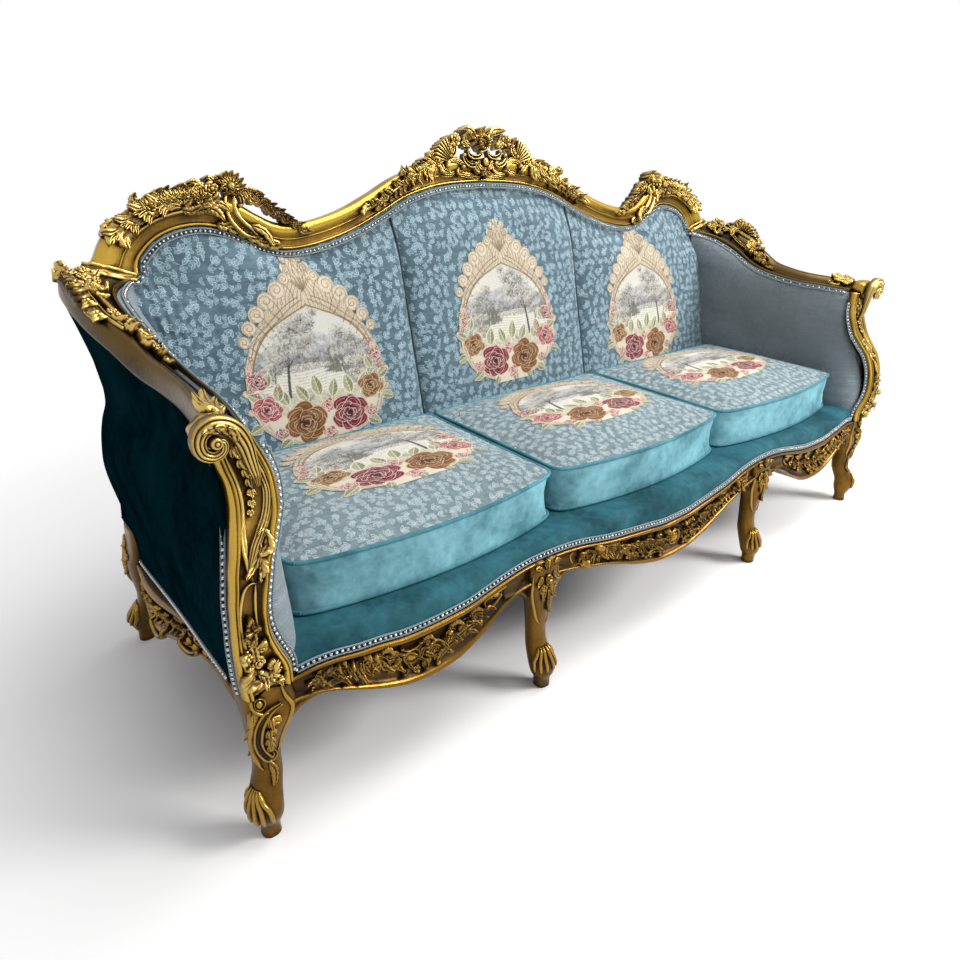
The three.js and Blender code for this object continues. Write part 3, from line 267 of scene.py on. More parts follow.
def loft(rings, relief=.6, uv=None, caps=True, heap=None):
    """A skin through closed rings of one count, its ends closed by fans; faces point out."""
    heap = heap or Heap()
    rings = np.asarray(rings, float)
    n, m = rings.shape[:2]
    verts = rings.reshape(-1, 3)
    faces = [grid_faces(n, m, wrap=True)]
    shade = np.broadcast_to(np.asarray(relief, float), (n, m)).reshape(-1)
    flat = None if uv is None else np.asarray(uv).reshape(-1, 2)
    if caps:
        verts = np.vstack([verts, rings[0].mean(0), rings[-1].mean(0)])
        shade = np.append(shade, [shade[0], shade[-1]])
        k = np.arange(m)
        faces.append(np.stack([np.full(m, n * m), (k + 1) % m, k], 1))
        last = (n - 1) * m
        faces.append(np.stack([np.full(m, n * m + 1), last + k, last + (k + 1) % m], 1))
        flat = None if flat is None else np.vstack([flat, flat[0], flat[-1]])
    p = verts[faces[0]]
    facing = np.cross(p[:, 1] - p[:, 0], p[:, 2] - p[:, 0])
    if np.einsum("ij,ij->", p[:, 0] - rings[0].mean(0), facing) < 0:
        faces = [group[:, ::-1] for group in faces]
    return heap.add(verts, faces, shade, flat)


def sweep(path, normals, widths, heights, section, relief=None, heap=None, caps=True):
    """A strip swept along a path on a surface. section holds (across -1..1, height) pairs in
    order round the ring; widths and heights scale it along the way."""
    path, normals = np.asarray(path, float), np.broadcast_to(normals, np.shape(path))
    run = tangents(path)
    side = unit(np.cross(run, normals))
    up = unit(np.cross(side, run))
    a, h = np.array(section, float)[:, :2].T
    w = np.broadcast_to(widths, len(path))[:, None, None]
    t = np.broadcast_to(heights, len(path))[:, None, None]
    rings = (path[:, None] + side[:, None] * a[None, :, None] * w
             + up[:, None] * h[None, :, None] * t)
    shade = .6 if relief is None else np.broadcast_to(relief, rings.shape[:2])
    return loft(rings, shade, heap=heap, caps=caps)


def tube(path, radius, sides=8, heap=None, relief=.6):
    path = np.asarray(path, float)
    run = tangents(path)
    helper = np.where(np.abs(run[:, 2:]) > .9, X, Z)
    side = unit(np.cross(run, helper))
    up = np.cross(side, run)
    angle = np.arange(sides) / sides * 2 * PI
    r = np.broadcast_to(radius, len(path))[:, None, None]
    rings = path[:, None] + r * (side[:, None] * np.cos(angle)[None, :, None]
                                 + up[:, None] * np.sin(angle)[None, :, None])
    return loft(rings, relief, heap=heap)


pieces = {}


def make(name, heap, materials, body="frame", nodes=()):
    """Turns a heap into an object that rides on its body and stands for its CAD nodes."""
    mesh = bpy.data.meshes.new(name)
    verts = np.vstack(heap.verts) - [0, SHIFT, 0]
    mesh.vertices.add(len(verts))
    mesh.vertices.foreach_set("co", verts.ravel())
    loops = np.concatenate([group.ravel() for group, _ in heap.faces])
    sizes = np.concatenate([np.full(len(group), group.shape[1]) for group, _ in heap.faces])
    mesh.loops.add(len(loops))
    mesh.loops.foreach_set("vertex_index", loops)
    mesh.polygons.add(len(sizes))
    mesh.polygons.foreach_set("loop_start", np.concatenate([[0], np.cumsum(sizes)[:-1]]))
    mesh.polygons.foreach_set("use_smooth", np.ones(len(sizes), bool))
    mesh.polygons.foreach_set("material_index", np.concatenate(
        [np.full(len(group), paint) for group, paint in heap.faces]))
    mesh.update(calc_edges=True)
    relief = mesh.attributes.new("relief", "FLOAT", "POINT")
    relief.data.foreach_set("value", np.concatenate(heap.relief))
    uv = mesh.uv_layers.new(name="UVMap")
    uv.data.foreach_set("uv", np.vstack(heap.uv)[loops].ravel())
    for material in materials if isinstance(materials, (list, tuple)) else [materials]:
        mesh.materials.append(material)
    mesh.validate()
    obj = bpy.data.objects.new(name, mesh)
    bpy.context.scene.collection.objects.link(obj)
    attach(obj, body)
    if nodes:
        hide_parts(*nodes)
    pieces[name] = obj
    return obj


# ---- Materials, all from nodes

class Paint:
    """A small helper to write a node material in a few lines."""

    def __init__(self, name):
        self.material = bpy.data.materials.new(name)
        self.material.use_nodes = True
        self.tree = self.material.node_tree
        self.shader = self.tree.nodes["Principled BSDF"]

    def node(self, kind, inputs=(), **settings):
        node = self.tree.nodes.new("ShaderNode" + kind)
        for key, value in settings.items():
            setattr(node, key, value)
        for key, value in dict(inputs).items():
            self.put(node.inputs[key], value)
        return node

    def put(self, socket, value):
        if isinstance(value, bpy.types.NodeSocket):
            self.tree.links.new(value, socket)
        else:
            socket.default_value = value

    def set(self, **inputs):
        for key, value in inputs.items():
            self.put(self.shader.inputs[key.replace("_", " ")], value)

    def place(self):
        return self.node("TexCoord").outputs["Object"]

    def uv(self):
        return self.node("UVMap", uv_map="UVMap").outputs[0]

    def relief(self):
        return self.node("Attribute", attribute_name="relief").outputs["Fac"]

    def noise(self, vector, scale, detail=3, rough=.5, distort=0):
        return self.node("TexNoise", {"Vector": vector, "Scale": scale, "Detail": detail,
                                      "Roughness": rough, "Distortion": distort}).outputs["Fac"]

    def math(self, what, a, b=0, c=0, clamp=False):
        node = self.node("Math", {0: a, 1: b, 2: c}, operation=what, use_clamp=clamp)
        return node.outputs[0]

    def vector(self, what, a, b):
        return self.node("VectorMath", {0: a, 1: b}, operation=what).outputs[0]

    def ramp(self, value, *stops):
        node = self.node("ValToRGB", {"Fac": value})
        points = node.color_ramp.elements
        while len(points) < len(stops):
            points.new(.5)
        for point, (at, colour) in zip(points, stops):
            point.position = at
            point.color = (*colour, 1) if isinstance(colour, tuple) else (colour,) * 3 + (1,)
        return node.outputs["Color"]

    def blend(self, factor, a, b, how="MIX"):
        node = self.node("Mix", data_type="RGBA", blend_type=how)
        for index, value in ((0, factor), (6, a), (7, b)):
            if isinstance(value, tuple):
                value = (*value, 1)
            self.put(node.inputs[index], value)
        return node.outputs[2]

    def bump(self, height, strength, distance, normal=None):
        node = self.node("Bump", {"Height": height, "Strength": strength, "Distance": distance})
        if normal:
            self.put(node.inputs["Normal"], normal)
        return node.outputs[0]


def gilding(name, deep, mid, bright, rough=.34, worn=.5):
    """Burnished leaf over a brown ground: dark in the hollows, bright on what stands proud; the
    dark is partly patina and partly painted shade, the bright partly burnish and partly painted
    highlight.
    """
    p = Paint(name)
    at = p.place()
    cloud = p.noise(at, 9, 4)
    speck = p.noise(at, 160, 3, .6)
    # painted shade: ambient occlusion darkens the colour in crevices, where shade falls
    hollow = p.node("AmbientOcclusion", {"Distance": .014}, samples=6).outputs["AO"]
    level = p.math("MULTIPLY_ADD", p.relief(), .55, p.math("MULTIPLY_ADD", hollow, .75, -.38))
    level = p.math("ADD", level, p.math("MULTIPLY_ADD", cloud, .8, -.4))
    level = p.math("ADD", level, p.math("MULTIPLY_ADD", speck, worn * .5, -worn * .25), clamp=True)
    # relief and occlusion set the colour: painted shade in the hollows and painted highlight on
    # proud parts; the clouds and specks are the leaf's own uneven tone and wear
    colour = p.ramp(level, (.08, deep), (.42, mid), (.78, bright))
    p.set(Base_Color=colour, Metallic=p.ramp(level, (.05, .35), (.4, .8), (.8, .92)),
          Roughness=p.ramp(level, (.1, .62), (.5, rough + .08), (.9, rough)),
          Normal=p.bump(p.math("ADD", speck, p.math("MULTIPLY", p.noise(at, 45, 2), 1.5)), .25,
                        .0012))
    return p.material


def velvet(name, dark, light, sheen=.5, shine=.1):
    """Cut pile: the nap is pushed this way and that, so it clouds between two shades."""
    p = Paint(name)
    at = p.place()
    cloud = p.noise(at, 7, 3, .55, .6)
    fine = p.noise(at, 60, 3, .6, .3)
    pile = p.noise(at, 1500, 2)
    tone = p.math("ADD", p.math("MULTIPLY", cloud, .75), p.math("MULTIPLY", fine, .3))
    p.set(Base_Color=p.ramp(tone, (.36, dark), (.68, light)), Roughness=.72,
          Normal=p.bump(p.math("ADD", pile, p.math("MULTIPLY", fine, 1.2)), .25, .0008))
    p.set(**{"Sheen_Weight": sheen, "Sheen_Roughness": .35, "Sheen_Tint": (*light, 1),
             "Specular_IOR_Level": shine})
    return p.material


def jacquard(name, ground, figure, shade, scale=34, deep=.002, contrast=1, cloudy=.5, seed=0.0):
    """A woven figure: small sprigs of three leaves, turned every way, drawn in raised outlines,
    with painted shade in the ground between them and in its creases.
    """
    p = Paint(name)
    at = p.vector("ADD", p.uv(), (seed, seed, 0))
    bend = p.node("TexNoise", {"Vector": at, "Scale": scale * .4, "Detail": 1})
    off = p.vector("SUBTRACT", bend.outputs["Color"], (.5, .5, .5))
    off = p.node("VectorMath", {0: off, "Scale": .55 / scale}, operation="SCALE").outputs[0]
    at_bent = p.vector("ADD", at, off)

    def sprig(vector, size, shift):
        moved = p.vector("ADD", vector, (shift, shift * 1.7, 0))
        cell = p.node("TexVoronoi", {"Vector": moved, "Scale": size, "Randomness": .55})
        local = p.vector("SUBTRACT", moved, cell.outputs["Position"])
        pick = p.node("SeparateXYZ", {0: cell.outputs["Color"]})
        lean = p.math("MULTIPLY_ADD", pick.outputs[0], 1.5, -.75)
        lean = p.math("MULTIPLY_ADD", p.math("GREATER_THAN", pick.outputs[1], .5), 3.1416, lean)
        leaning = p.node("VectorRotate", {"Vector": local, "Angle": lean},
                         rotation_type="Z_AXIS").outputs[0]
        parts = p.node("SeparateXYZ", {0: leaning}).outputs
        x, y = (p.math("MULTIPLY", parts[k], size) for k in (0, 1))
        y = p.math("ABSOLUTE", y)
        lines, bodies = None, None
        for angle, start, long, wide in ((0.0, -.1, .66, .115), (.8, -.06, .52, .1)):
            c, s = math.cos(angle), math.sin(angle)
            along = p.math("ADD", p.math("MULTIPLY", x, c), p.math("MULTIPLY_ADD", y, s, -start))
            away = p.math("SUBTRACT", p.math("MULTIPLY", y, c), p.math("MULTIPLY", x, s))
            away = p.math("ABSOLUTE", away)
            way = p.math("DIVIDE", p.math("SUBTRACT", along, long * .5), long * .5)
            room = p.math("MULTIPLY", p.math("SUBTRACT", 1.0, p.math("MULTIPLY", way, way)), wide)
            gap = p.math("SUBTRACT", away, room)
            line = p.ramp(p.math("ABSOLUTE", gap), (.010, 1.0), (.032, 0.0))
            vein = p.math("MULTIPLY", p.ramp(away, (.004, .8), (.018, 0.0)),
                          p.math("LESS_THAN", gap, 0.0))
            # halo: the ground close round each leaf, which the painted shade between the leaves
            # leaves out
            halo = p.ramp(gap, (.02, 1.0), (.085, 0.0))
            line = p.math("MAXIMUM", line, vein)
            lines = line if lines is None else p.math("MAXIMUM", lines, line)
            bodies = halo if bodies is None else p.math("MAXIMUM", bodies, halo)
        return lines, bodies

    line, near = sprig(at_bent, scale, 0.0)
    other, other_near = sprig(at_bent, scale * 1.17, 3.3)
    line = p.math("MAXIMUM", line, p.math("MULTIPLY", other, .75))
    near = p.math("MAXIMUM", near, other_near)
    thread = p.node("TexWave", {"Vector": at, "Scale": 420, "Distortion": 1.2},
                    bands_direction="Y").outputs["Fac"]
    cloud = p.noise(at, 3.1, 3, .55)
    # painted shade: short dark streaks in the ground, standing in for shade under the raised
    # leaves
    shade_streak = p.noise(p.vector("MULTIPLY", at_bent, (.45, 1.6, 1)), scale * 1.6, 2, .6)
    base = p.blend(p.ramp(cloud, (.38, 0.0), (.62, cloudy)), ground, shade)
    base = p.blend(p.math("MULTIPLY", p.ramp(shade_streak, (.5, 0.0), (.6, 1.0)), .55 * contrast), base,
                   shade)
    # painted shade: the ground between the leaves is darkened, as if shaded by the raised figure
    base = p.blend(p.math("MULTIPLY", p.math("SUBTRACT", 1.0, near), .4 * contrast), base, shade)
    # fine wrinkles: they bump the cloth and also darken its colour as painted shade in the creases
    crease_and_shade = p.noise(p.vector("MULTIPLY", at_bent, (.5, 2.0, 1)), scale * 1.1, 4, .68, .9)
    base = p.blend(p.math("MULTIPLY", p.ramp(crease_and_shade, (.5, 0.0), (.64, 1.0)), .5), base, shade)
    lit = p.blend(p.math("MULTIPLY", line, .85 * contrast), base, figure)
    dim = p.blend(p.math("MULTIPLY", thread, .2), lit, tuple(.5 * c for c in ground))
    high = p.math("ADD", p.math("MULTIPLY_ADD", line, .4, line),
                  p.math("MULTIPLY_ADD", crease_and_shade, 1.8, p.math("MULTIPLY", thread, .2)))
    p.set(Base_Color=dim, Roughness=p.ramp(line, (0, .8), (1, .5)), Normal=p.bump(high, .7, deep))
    p.set(**{"Sheen_Weight": .2, "Sheen_Roughness": .5, "Specular_IOR_Level": .2})
    return p.material


def cord(name, dark, light, metal=0, rough=.6):
    p = Paint(name)
    at = p.place()
    twist = p.node("TexWave", {"Vector": at, "Scale": 130, "Distortion": 2.5},
                   bands_direction="DIAGONAL")
    grain = p.noise(at, 700, 2)
    tone = p.math("MULTIPLY_ADD", grain, .3, p.math("MULTIPLY", twist.outputs["Fac"], .75))
    p.set(Base_Color=p.ramp(tone, (.2, dark), (.75, light)), Metallic=metal, Roughness=rough,
          Normal=p.bump(tone, .5, .0012))
    return p.material


def timber(name, dark, light):
    p = Paint(name)
    at = p.node("Mapping", {"Vector": p.place(), "Scale": (3, 22, 22)}).outputs[0]
    grain = p.noise(at, 5, 6, .65, 1.2)
    p.set(Base_Color=p.ramp(grain, (.35, dark), (.65, light)), Roughness=.68,
          Normal=p.bump(grain, .25, .001))
    return p.material


def woven(name, dark, light, scale):
    p = Paint(name)
    at = p.place()
    a = p.node("TexWave", {"Vector": at, "Scale": scale}, bands_direction="X").outputs["Fac"]
    b = p.node("TexWave", {"Vector": at, "Scale": scale}, bands_direction="Y").outputs["Fac"]
    tone = p.math("MULTIPLY_ADD", p.noise(at, 90), .5, p.math("MULTIPLY", a, b))
    p.set(Base_Color=p.ramp(tone, (.2, dark), (.9, light)), Roughness=.9,
          Normal=p.bump(tone, .4, .001))
    return p.material


gold = gilding("gilt", (.009, .0035, .001), (.115, .055, .009), (.62, .43, .12), .26)
gold_plain = gilding("gilt_rail", (.022, .008, .0015), (.155, .077, .008), (.54, .34, .052), .22,
                     .5)
gold_dull = gilding("gilt_leg", (.010, .004, .001), (.048, .022, .0025), (.18, .09, .011), .26, .6)
# painted shade: a darker copy of the rail gilt for the arm rails, whose outer faces turn away from
# the light
gold_arm_painted_shade = gilding("gilt_arm", (.009, .005, .0015), (.027, .016, .005), (.104, .064, .018), .28,
                    .6)
gold_leg = gilding("gilt_leg_carving", (.014, .006, .0015), (.07, .033, .0045), (.35, .2, .035),
                   .26, .6)
nail_metal = cord("nail_metal", (.3, .29, .27), (.7, .7, .68), .95, .25)
gimp = cord("gimp", (.07, .11, .13), (.24, .31, .35))
seam_dark = cord("seam", (.012, .025, .035), (.04, .07, .09))
back_cloth = jacquard("back_cloth", (.17, .285, .35), (.56, .76, .86), (.05, .09, .115))
seat_cloth = jacquard("seat_cloth", (.26, .365, .4), (.74, .84, .87), (.12, .18, .205), 37,
                      seed=2.2)
arm_cloth = jacquard("arm_cloth", (.235, .285, .31), (.38, .45, .5), (.15, .18, .2), 34, .0022, .4,
                     seed=5.1)
# painted shade: the piping is a darker copy of the boxing velvet, for the shadow line along the
# cushions' edges
piped = velvet("piping_velvet_painted_shade", (.03, .12, .15), (.1, .3, .36))
boxing = velvet("boxing_velvet", (.075, .21, .25), (.25, .53, .61))
deck_cloth = velvet("deck_velvet", (.008, .048, .064), (.035, .14, .175), .3)
outer_cloth = velvet("outer_velvet", (.0004, .004, .006), (.002, .022, .03), .03, 0)
wood = timber("beech", (.2, .11, .05), (.4, .26, .14))


# ---- The lines that the frame follows

apron_top, apron_bottom = through(APRON_TOP, (HALF, TALL)), through(APRON_BOTTOM, (HALF, TALL))
apron_face = through(APRON_FACE, (HALF, DEPTH))
side_apron = through(SIDE_APRON, (DEPTH, HALF, TALL, TALL))
post_line = through(POST, (TALL, HALF, HALF, DEPTH))
arm_front, arm_rear = through(ARM_FRONT, (TALL, HALF)), through(ARM_REAR, (TALL, HALF))
crest_width, rail_turn = through(CREST_WIDTH), through(RAIL_TURN)
arm_inner = spline(np.array(ARM_INNER) * (HALF, DEPTH, TALL))
arm_outer = spline(np.array(ARM_OUTER) * (HALF, DEPTH, TALL))
BACK_LEAN, CREST_LEAN, SKIN_LEAN = (share * DEPTH / TALL for share in (.3396, .2844, .0711))
corner = arm_inner(0)[0]
DECK = TALL * .3045
DECK_LOW = RAIL_LOW + .0026


def fabric_plane(z):
    return DEPTH * .7568 + BACK_LEAN * (z - TALL * .4072)


def crest_plane(z):
    return corner[1] + CREST_LEAN * (z - corner[2])


def skin_plane(z):
    return SKIN_PLACE + SKIN_LEAN * (z - REAR_LEG_TOP)


back_line = spline([(x * HALF, crest_plane(z * TALL), z * TALL) for x, z in BACK_LINE])


def slope_of(curve, t, e=1e-4):
    return unit(curve(np.clip(t + e, 0, 1)) - curve(np.clip(t - e, 0, 1)))


# How far a rail stands before and behind its middle: the crest's, and the arm's
CREST_DEEP, ARM_DEEP = np.array([.018, .032]), np.array([.038, .004])


def rail_sizes(t):
    return mix(CREST_DEEP, ARM_DEEP, rail_turn(t))


def crest_frame(t):
    """Inner edge, way across, way back and sizes of the crest rail, on the right half."""
    t = np.atleast_1d(t)
    run = slope_of(back_line, t)
    run[t < 1e-6] = X
    out = unit(np.stack([-run[:, 2], CREST_LEAN * run[:, 0], run[:, 0]], 1)) * crest_width(t) * .06
    k = smooth(t, .94, 1)[:, None]
    across = mix(out, arm_outer(0) - arm_inner(0), k)
    return back_line(t), across, unit(np.cross(across, run)), mix(CREST_DEEP, rail_sizes(0), k)


def arm_frame(t):
    """The same for the right arm rail, from the back corner to the scroll."""
    t = np.atleast_1d(t)
    inner = arm_inner(t)
    across = arm_outer(t) - inner
    run = unit(slope_of(arm_inner, t) + slope_of(arm_outer, t))
    run = unit(mix(slope_of(back_line, np.array([1.0])), run, smooth(t, -.03, .07)[:, None]))
    return inner, across, unit(np.cross(across, run)), rail_sizes(t)


# The rail's moulding: share across, level (-1 fully proud, 1 fully deep), and its relief, which
# the gilt shows as painted shade and painted highlight
RAIL_FACE = np.array([
    (0, .1, .2), (.012, -.2, .7), (.04, -.36, .85), (.075, -.4, .9), (.105, -.3, .6),
    (.125, -.12, .1), (.17, -.1, .25), (.25, -.14, .35), (.33, -.24, .4), (.37, -.34, .3),
    (.385, -.48, .6), (.405, -.52, .8), (.425, -.46, .3), (.44, -.4, .0), (.48, -.52, .5),
    (.55, -.7, .7), (.64, -.88, .85), (.74, -1, 1), (.83, -.98, 1), (.9, -.84, .85),
    (.955, -.6, .7), (.985, -.35, .5), (1, -.1, .4)])
RAIL_REAR = np.array([(1, .5, .4), (.94, .92, .4), (.5, 1, .3), (.1, 1, .3), (0, .9, .2)])


def rail_skin(frame_at, t):
    """The rings of a rail at places along it, and the relief round each."""
    inner, across, back, sizes = frame_at(t)
    profile = np.vstack([RAIL_FACE, RAIL_REAR])
    level = profile[None, :, 1]
    depth = (level * np.where(level < 0, sizes[:, :1], sizes[:, 1:]))[..., None]
    rings = inner[:, None] + across[:, None] * profile[None, :, :1] + back[:, None] * depth
    return rings, profile[:, 2]


t = np.linspace(0, 1, 170)
rings, shade = rail_skin(crest_frame, t)
crest = loft(both_sides(rings), shade)

rings, shade = rail_skin(arm_frame, np.linspace(0, 1, 190))
arm_rail = loft(rings, shade)


# ---- Arm posts with their scrolls

POST_FACE = np.array([(0, .4, .1), (0, -.3, .5), (.02, -.8, .85), (.05, -1.0, 1), (.08, -.72, .1),
                      (.11, -1.12, 1), (.15, -1.08, .9), (.19, -.62, .2), (.23, -.42, .15),
                      (.32, -.3, .3), (.5, -.22, .35), (.68, -.3, .3), (.77, -.42, .15),
                      (.8, -.62, .2), (.83, -1.02, .9), (.865, -1.16, 1), (.895, -.8, .1),
                      (.93, -1.1, 1), (.97, -.85, .8), (1, -.3, .5), (1, .4, .1)])

z = np.linspace(FRONT_LEG_TOP + GAP, TALL * .612, 110)
inner, outer, y = post_line(z).T
face = np.stack([mix(inner[:, None], outer[:, None], POST_FACE[None, :, 0]),
                 y[:, None] + POST_FACE[None, :, 1] * POST_RELIEF,
                 np.broadcast_to(z[:, None], (len(z), len(POST_FACE)))], -1)
body = np.stack([np.stack([x + side * .014, y + deep * .05, z], -1)
                 for x, side, deep in ((outer, -1, .2), (outer, -1, 1), (inner, 1, 1),
                                       (inner, 1, .2))], 1)
post = loft(np.concatenate([face, body], 1), np.append(POST_FACE[:, 2], [.2] * 4))


def scroll_end(heap):
    """The volute's body: a drum lying front to back."""
    centre = np.array([VOLUTE_X, 0, VOLUTE_Z])
    angle = np.linspace(0, 2 * PI, 49)[:-1]
    levels = [(0, .15), (.02, .5), (.05, .78), (.12, .93), (.3, 1), (.6, .98), (.85, .93), (1, .7)]
    rings = []
    for share, size in levels:
        r = size * (1 + .035 * np.cos(7 * angle + share * 5) * min(share * 5, 1))
        y = np.full(len(angle), mix(.038, .086, share))
        rings.append(centre + np.stack([np.cos(angle) * .033 * r, y, np.sin(angle) * .027 * r],
                -1))
    loft(rings, .55, heap=heap)


scroll_end(post)


# ---- Legs

def leg_surface(table, tall, width, foot):
    """A leg's middle line and its surface, by the share of its height and the angle round it."""
    line = through(sorted(table))
    round_power, square_power, turn_low, turn_high = LEG_CORNERS

    def at(share, angle):
        out, back, half_x, half_y = line(share).T
        power = mix(round_power, square_power, smooth(share, turn_low, turn_high))
        c, s = np.cos(angle), np.sin(angle)
        return np.stack([foot[0] + (out + np.sign(c) * np.abs(c) ** (2 / power) * half_x) * width,
                         foot[1] + (back + np.sign(s) * np.abs(s) ** (2 / power) * half_y) * width,
                         share * tall], -1)
    return line, at


def leg(sizes, shade, levels=84, sides=44):
    share, angle = np.meshgrid(np.linspace(0, 1, levels), (np.arange(sides) + .5) / sides * 2 * PI,
                               indexing="ij")
    at = leg_surface(*sizes)[1]
    return loft(at(share.ravel(), angle.ravel()).reshape(levels, sides, 3), shade)


CORNER = (FRONT_LEG, FRONT_LEG_TOP, CORNER_LEG_WIDE, (CORNER_X, 0))
MIDDLE = (MIDDLE_LEG, MIDDLE_LEG_TOP, MIDDLE_LEG_WIDE, (MIDDLE_X, -.02726))
REAR = (REAR_LEG, REAR_LEG_TOP, CORNER_LEG_WIDE, (CORNER_X, REAR_FOOT_Y))
REAR_MIDDLE = (REAR_MIDDLE_LEG, RAIL_LOW - .0823, REAR_MIDDLE_LEG_WIDE,
               (MIDDLE_X, REAR_FOOT_Y - .008))
front_leg, middle_leg = leg(CORNER, .55), leg(MIDDLE, .55)
rear_leg, rear_middle_leg = leg(REAR, .5), leg(REAR_MIDDLE, .45)


# ---- Aprons: a sunk field between two raised rims

APRON_RIM = np.array([
    (0, .5, .3), (.015, -.5, .8), (.05, -1.15, 1), (.1, -1.0, .9), (.13, -.2, .3), (.16, .8, .05),
    (.22, 1.1, .25), (.5, 1.2, .35), (.78, 1.1, .25), (.84, .8, .05), (.87, -.1, .3),
    (.9, -.9, .9), (.95, -1.2, 1), (.985, -.6, .8), (1, .4, .3)])


def apron_point(x, share):
    """A point on a front apron's face, share 0 at its top edge and 1 at its lower edge."""
    away = np.abs(np.atleast_1d(x))
    top, bottom, face = apron_top(away)[:, 0], apron_bottom(away)[:, 0], apron_face(away)[:, 0]
    out = np.interp(share, APRON_RIM[:, 0], APRON_RIM[:, 1]) * APRON_RELIEF
    return np.stack([np.broadcast_to(x, away.shape), face + out, mix(top, bottom, share)], -1)


def side_point(y, share):
    """A point on the right side apron's face."""
    y = np.atleast_1d(y)
    outer, top, bottom = side_apron(y).T
    out = np.interp(share, APRON_RIM[:, 0], APRON_RIM[:, 1]) * APRON_RELIEF
    return np.stack([outer - out, y, mix(top, bottom, share)], -1)


def apron(point, places, axis, rear_place):
    """An apron along its places, flat behind at one place on an axis."""
    face = np.stack([point(places, share) for share in APRON_RIM[:, 0]], 1)
    rear = face[:, ::-1][:, [0, -1]].copy()
    rear[..., axis] = rear_place
    return loft(np.concatenate([face, rear], 1), np.append(APRON_RIM[:, 2], [.2, .2]))


middle_end = MIDDLE_X - .0253
side_low, side_high = MIDDLE_X + .0253, CORNER_X - .837 * CORNER_LEG_WIDE + .02
apron_middle = apron(apron_point, np.linspace(-middle_end, middle_end, 150), 1, RAIL_FRONT - GAP)
apron_side = apron(apron_point, np.linspace(side_low, side_high, 120), 1, RAIL_FRONT - GAP)
side_apron_piece = apron(side_point, np.linspace(RAIL_FRONT + .012, DEPTH * .892, 120), 0,
                         HALF * .8955 + .0453)


# ---- Upholstery that is fixed to the frame

def clad(front, hidden, over):
    """A closed skin from its seen face and the hidden face behind it, with its cloth's run."""
    rings = np.concatenate([front, hidden], 1)
    return loft(rings, uv=np.stack([over(rings), rings[..., 2]], -1))


def back_surface(x_foot, top, level):
    """Points of an inside back panel from its foot, its place under the crest and its level."""
    share = (x_foot - x_foot.min()) / np.ptp(x_foot)
    across = 1 - np.abs(2 * share - 1) ** 18
    z = mix(DECK + GAP, top[:, 2], level)
    x = mix(x_foot, top[:, 0], level ** 3)
    puff = .016 * (across * (1 - (2 * level - 1) ** 4) - (1 - across) * .55)
    y = fabric_plane(z) - puff
    tuck = smooth(level, .8, 1) ** 1.6
    y = mix(y, crest_plane(z) - .001, tuck)
    y += .0016 * ripple(x, z, .17, 3) * (1 - tuck)
    # the cloth gathers where it turns round the upper corners
    gather = smooth(np.abs(x), .72, .9) * smooth(level, .55, .93) * (1 - smooth(level, .97, 1))
    y += .0022 * gather * np.sin(x * 330 + 1.5 * ripple(x, z, .12, 8))
    return np.stack([x, y, z], -1)


def back_panel(x_foot, top, rows=110):
    """An inside back panel over its foot's places across, up to its points under the crest."""
    level = np.linspace(0, 1, rows)
    front = np.stack([back_surface(x_foot, top, np.full(len(top), share)) for share in level], 1)
    rear = front[:, ::-1][:, ::6].copy()
    rear[..., 1] = np.minimum(fabric_plane(rear[..., 2]) + .038,
                              skin_plane(rear[..., 2]) - SKIN_THICK)
    return clad(front, rear, lambda p: p[..., 0])


def under_crest(low, high, count):
    """Points just under the crest rail, between two shares of its line, negative to the left."""
    t = np.linspace(low, high, count)
    run = slope_of(back_line, np.abs(t))
    p = back_line(np.abs(t)) + np.stack([run[:, 2], 0 * t, -run[:, 0]], 1) * .0006
    return p * np.stack([np.where(t < 0, -1, 1), np.ones(count), np.ones(count)], 1)


def line_share(x):
    """How far along the back's line a place across the sofa is."""
    t = np.linspace(0, .7, 4000)
    return np.interp(x, back_line(t)[:, 0], t)


seam_at = line_share(SEAM)
middle_top = under_crest(-seam_at, seam_at, 150)
middle_back = back_panel(np.linspace(-SEAM + GAP, SEAM - GAP, 150), middle_top)
side_top = np.vstack([under_crest(seam_at, .985, 90),
                      [(x * HALF, 0, z * TALL) for x, z in BACK_CORNER]])
side_top = even(side_top, 170)
side_back = back_panel(np.linspace(SEAM + GAP, BELLY + .0083, 170), side_top)
level = np.linspace(.02, .985, 120)
z = mix(DECK, middle_top[-1, 2], level)
y = mix(fabric_plane(z) + .0052, crest_plane(z) - .004, smooth(level, .8, 1) ** 1.6)
seams = tube(np.stack([mix(SEAM, middle_top[-1, 0], level ** 3), y, z], 1), .0024)


def arm_pad_point(u, level):
    """A point of the inside arm: u from the post back, level from the deck up."""
    top = arm_inner(1 - .9 * u)
    z = mix(DECK_LOW, top[:, 2] + .004, level)
    post_inner, _, nail_y = post_line(z).T
    y = mix(mix(nail_y + POST_DEEP, RAIL_REAR_Y - .008, u), top[:, 1], level ** 2)
    fall = np.clip((z - top[:, 2] + .086) / .09, 0, 1)
    body = mix(BELLY + GAP, top[:, 0], 1 - np.sqrt(1 - fall ** 2))
    soft = smooth(level, 0, .3) * (1 - smooth(level, .8, 1)) * smooth(u, .1, .3)
    body -= .003 * ripple(y, z, .2, 5) * soft
    turn = 1 - np.minimum(u / .15, 1)
    x = mix(post_inner + GAP, np.maximum(body, BELLY), np.sqrt(1 - turn ** 2))
    return np.stack([x, y, z], -1)


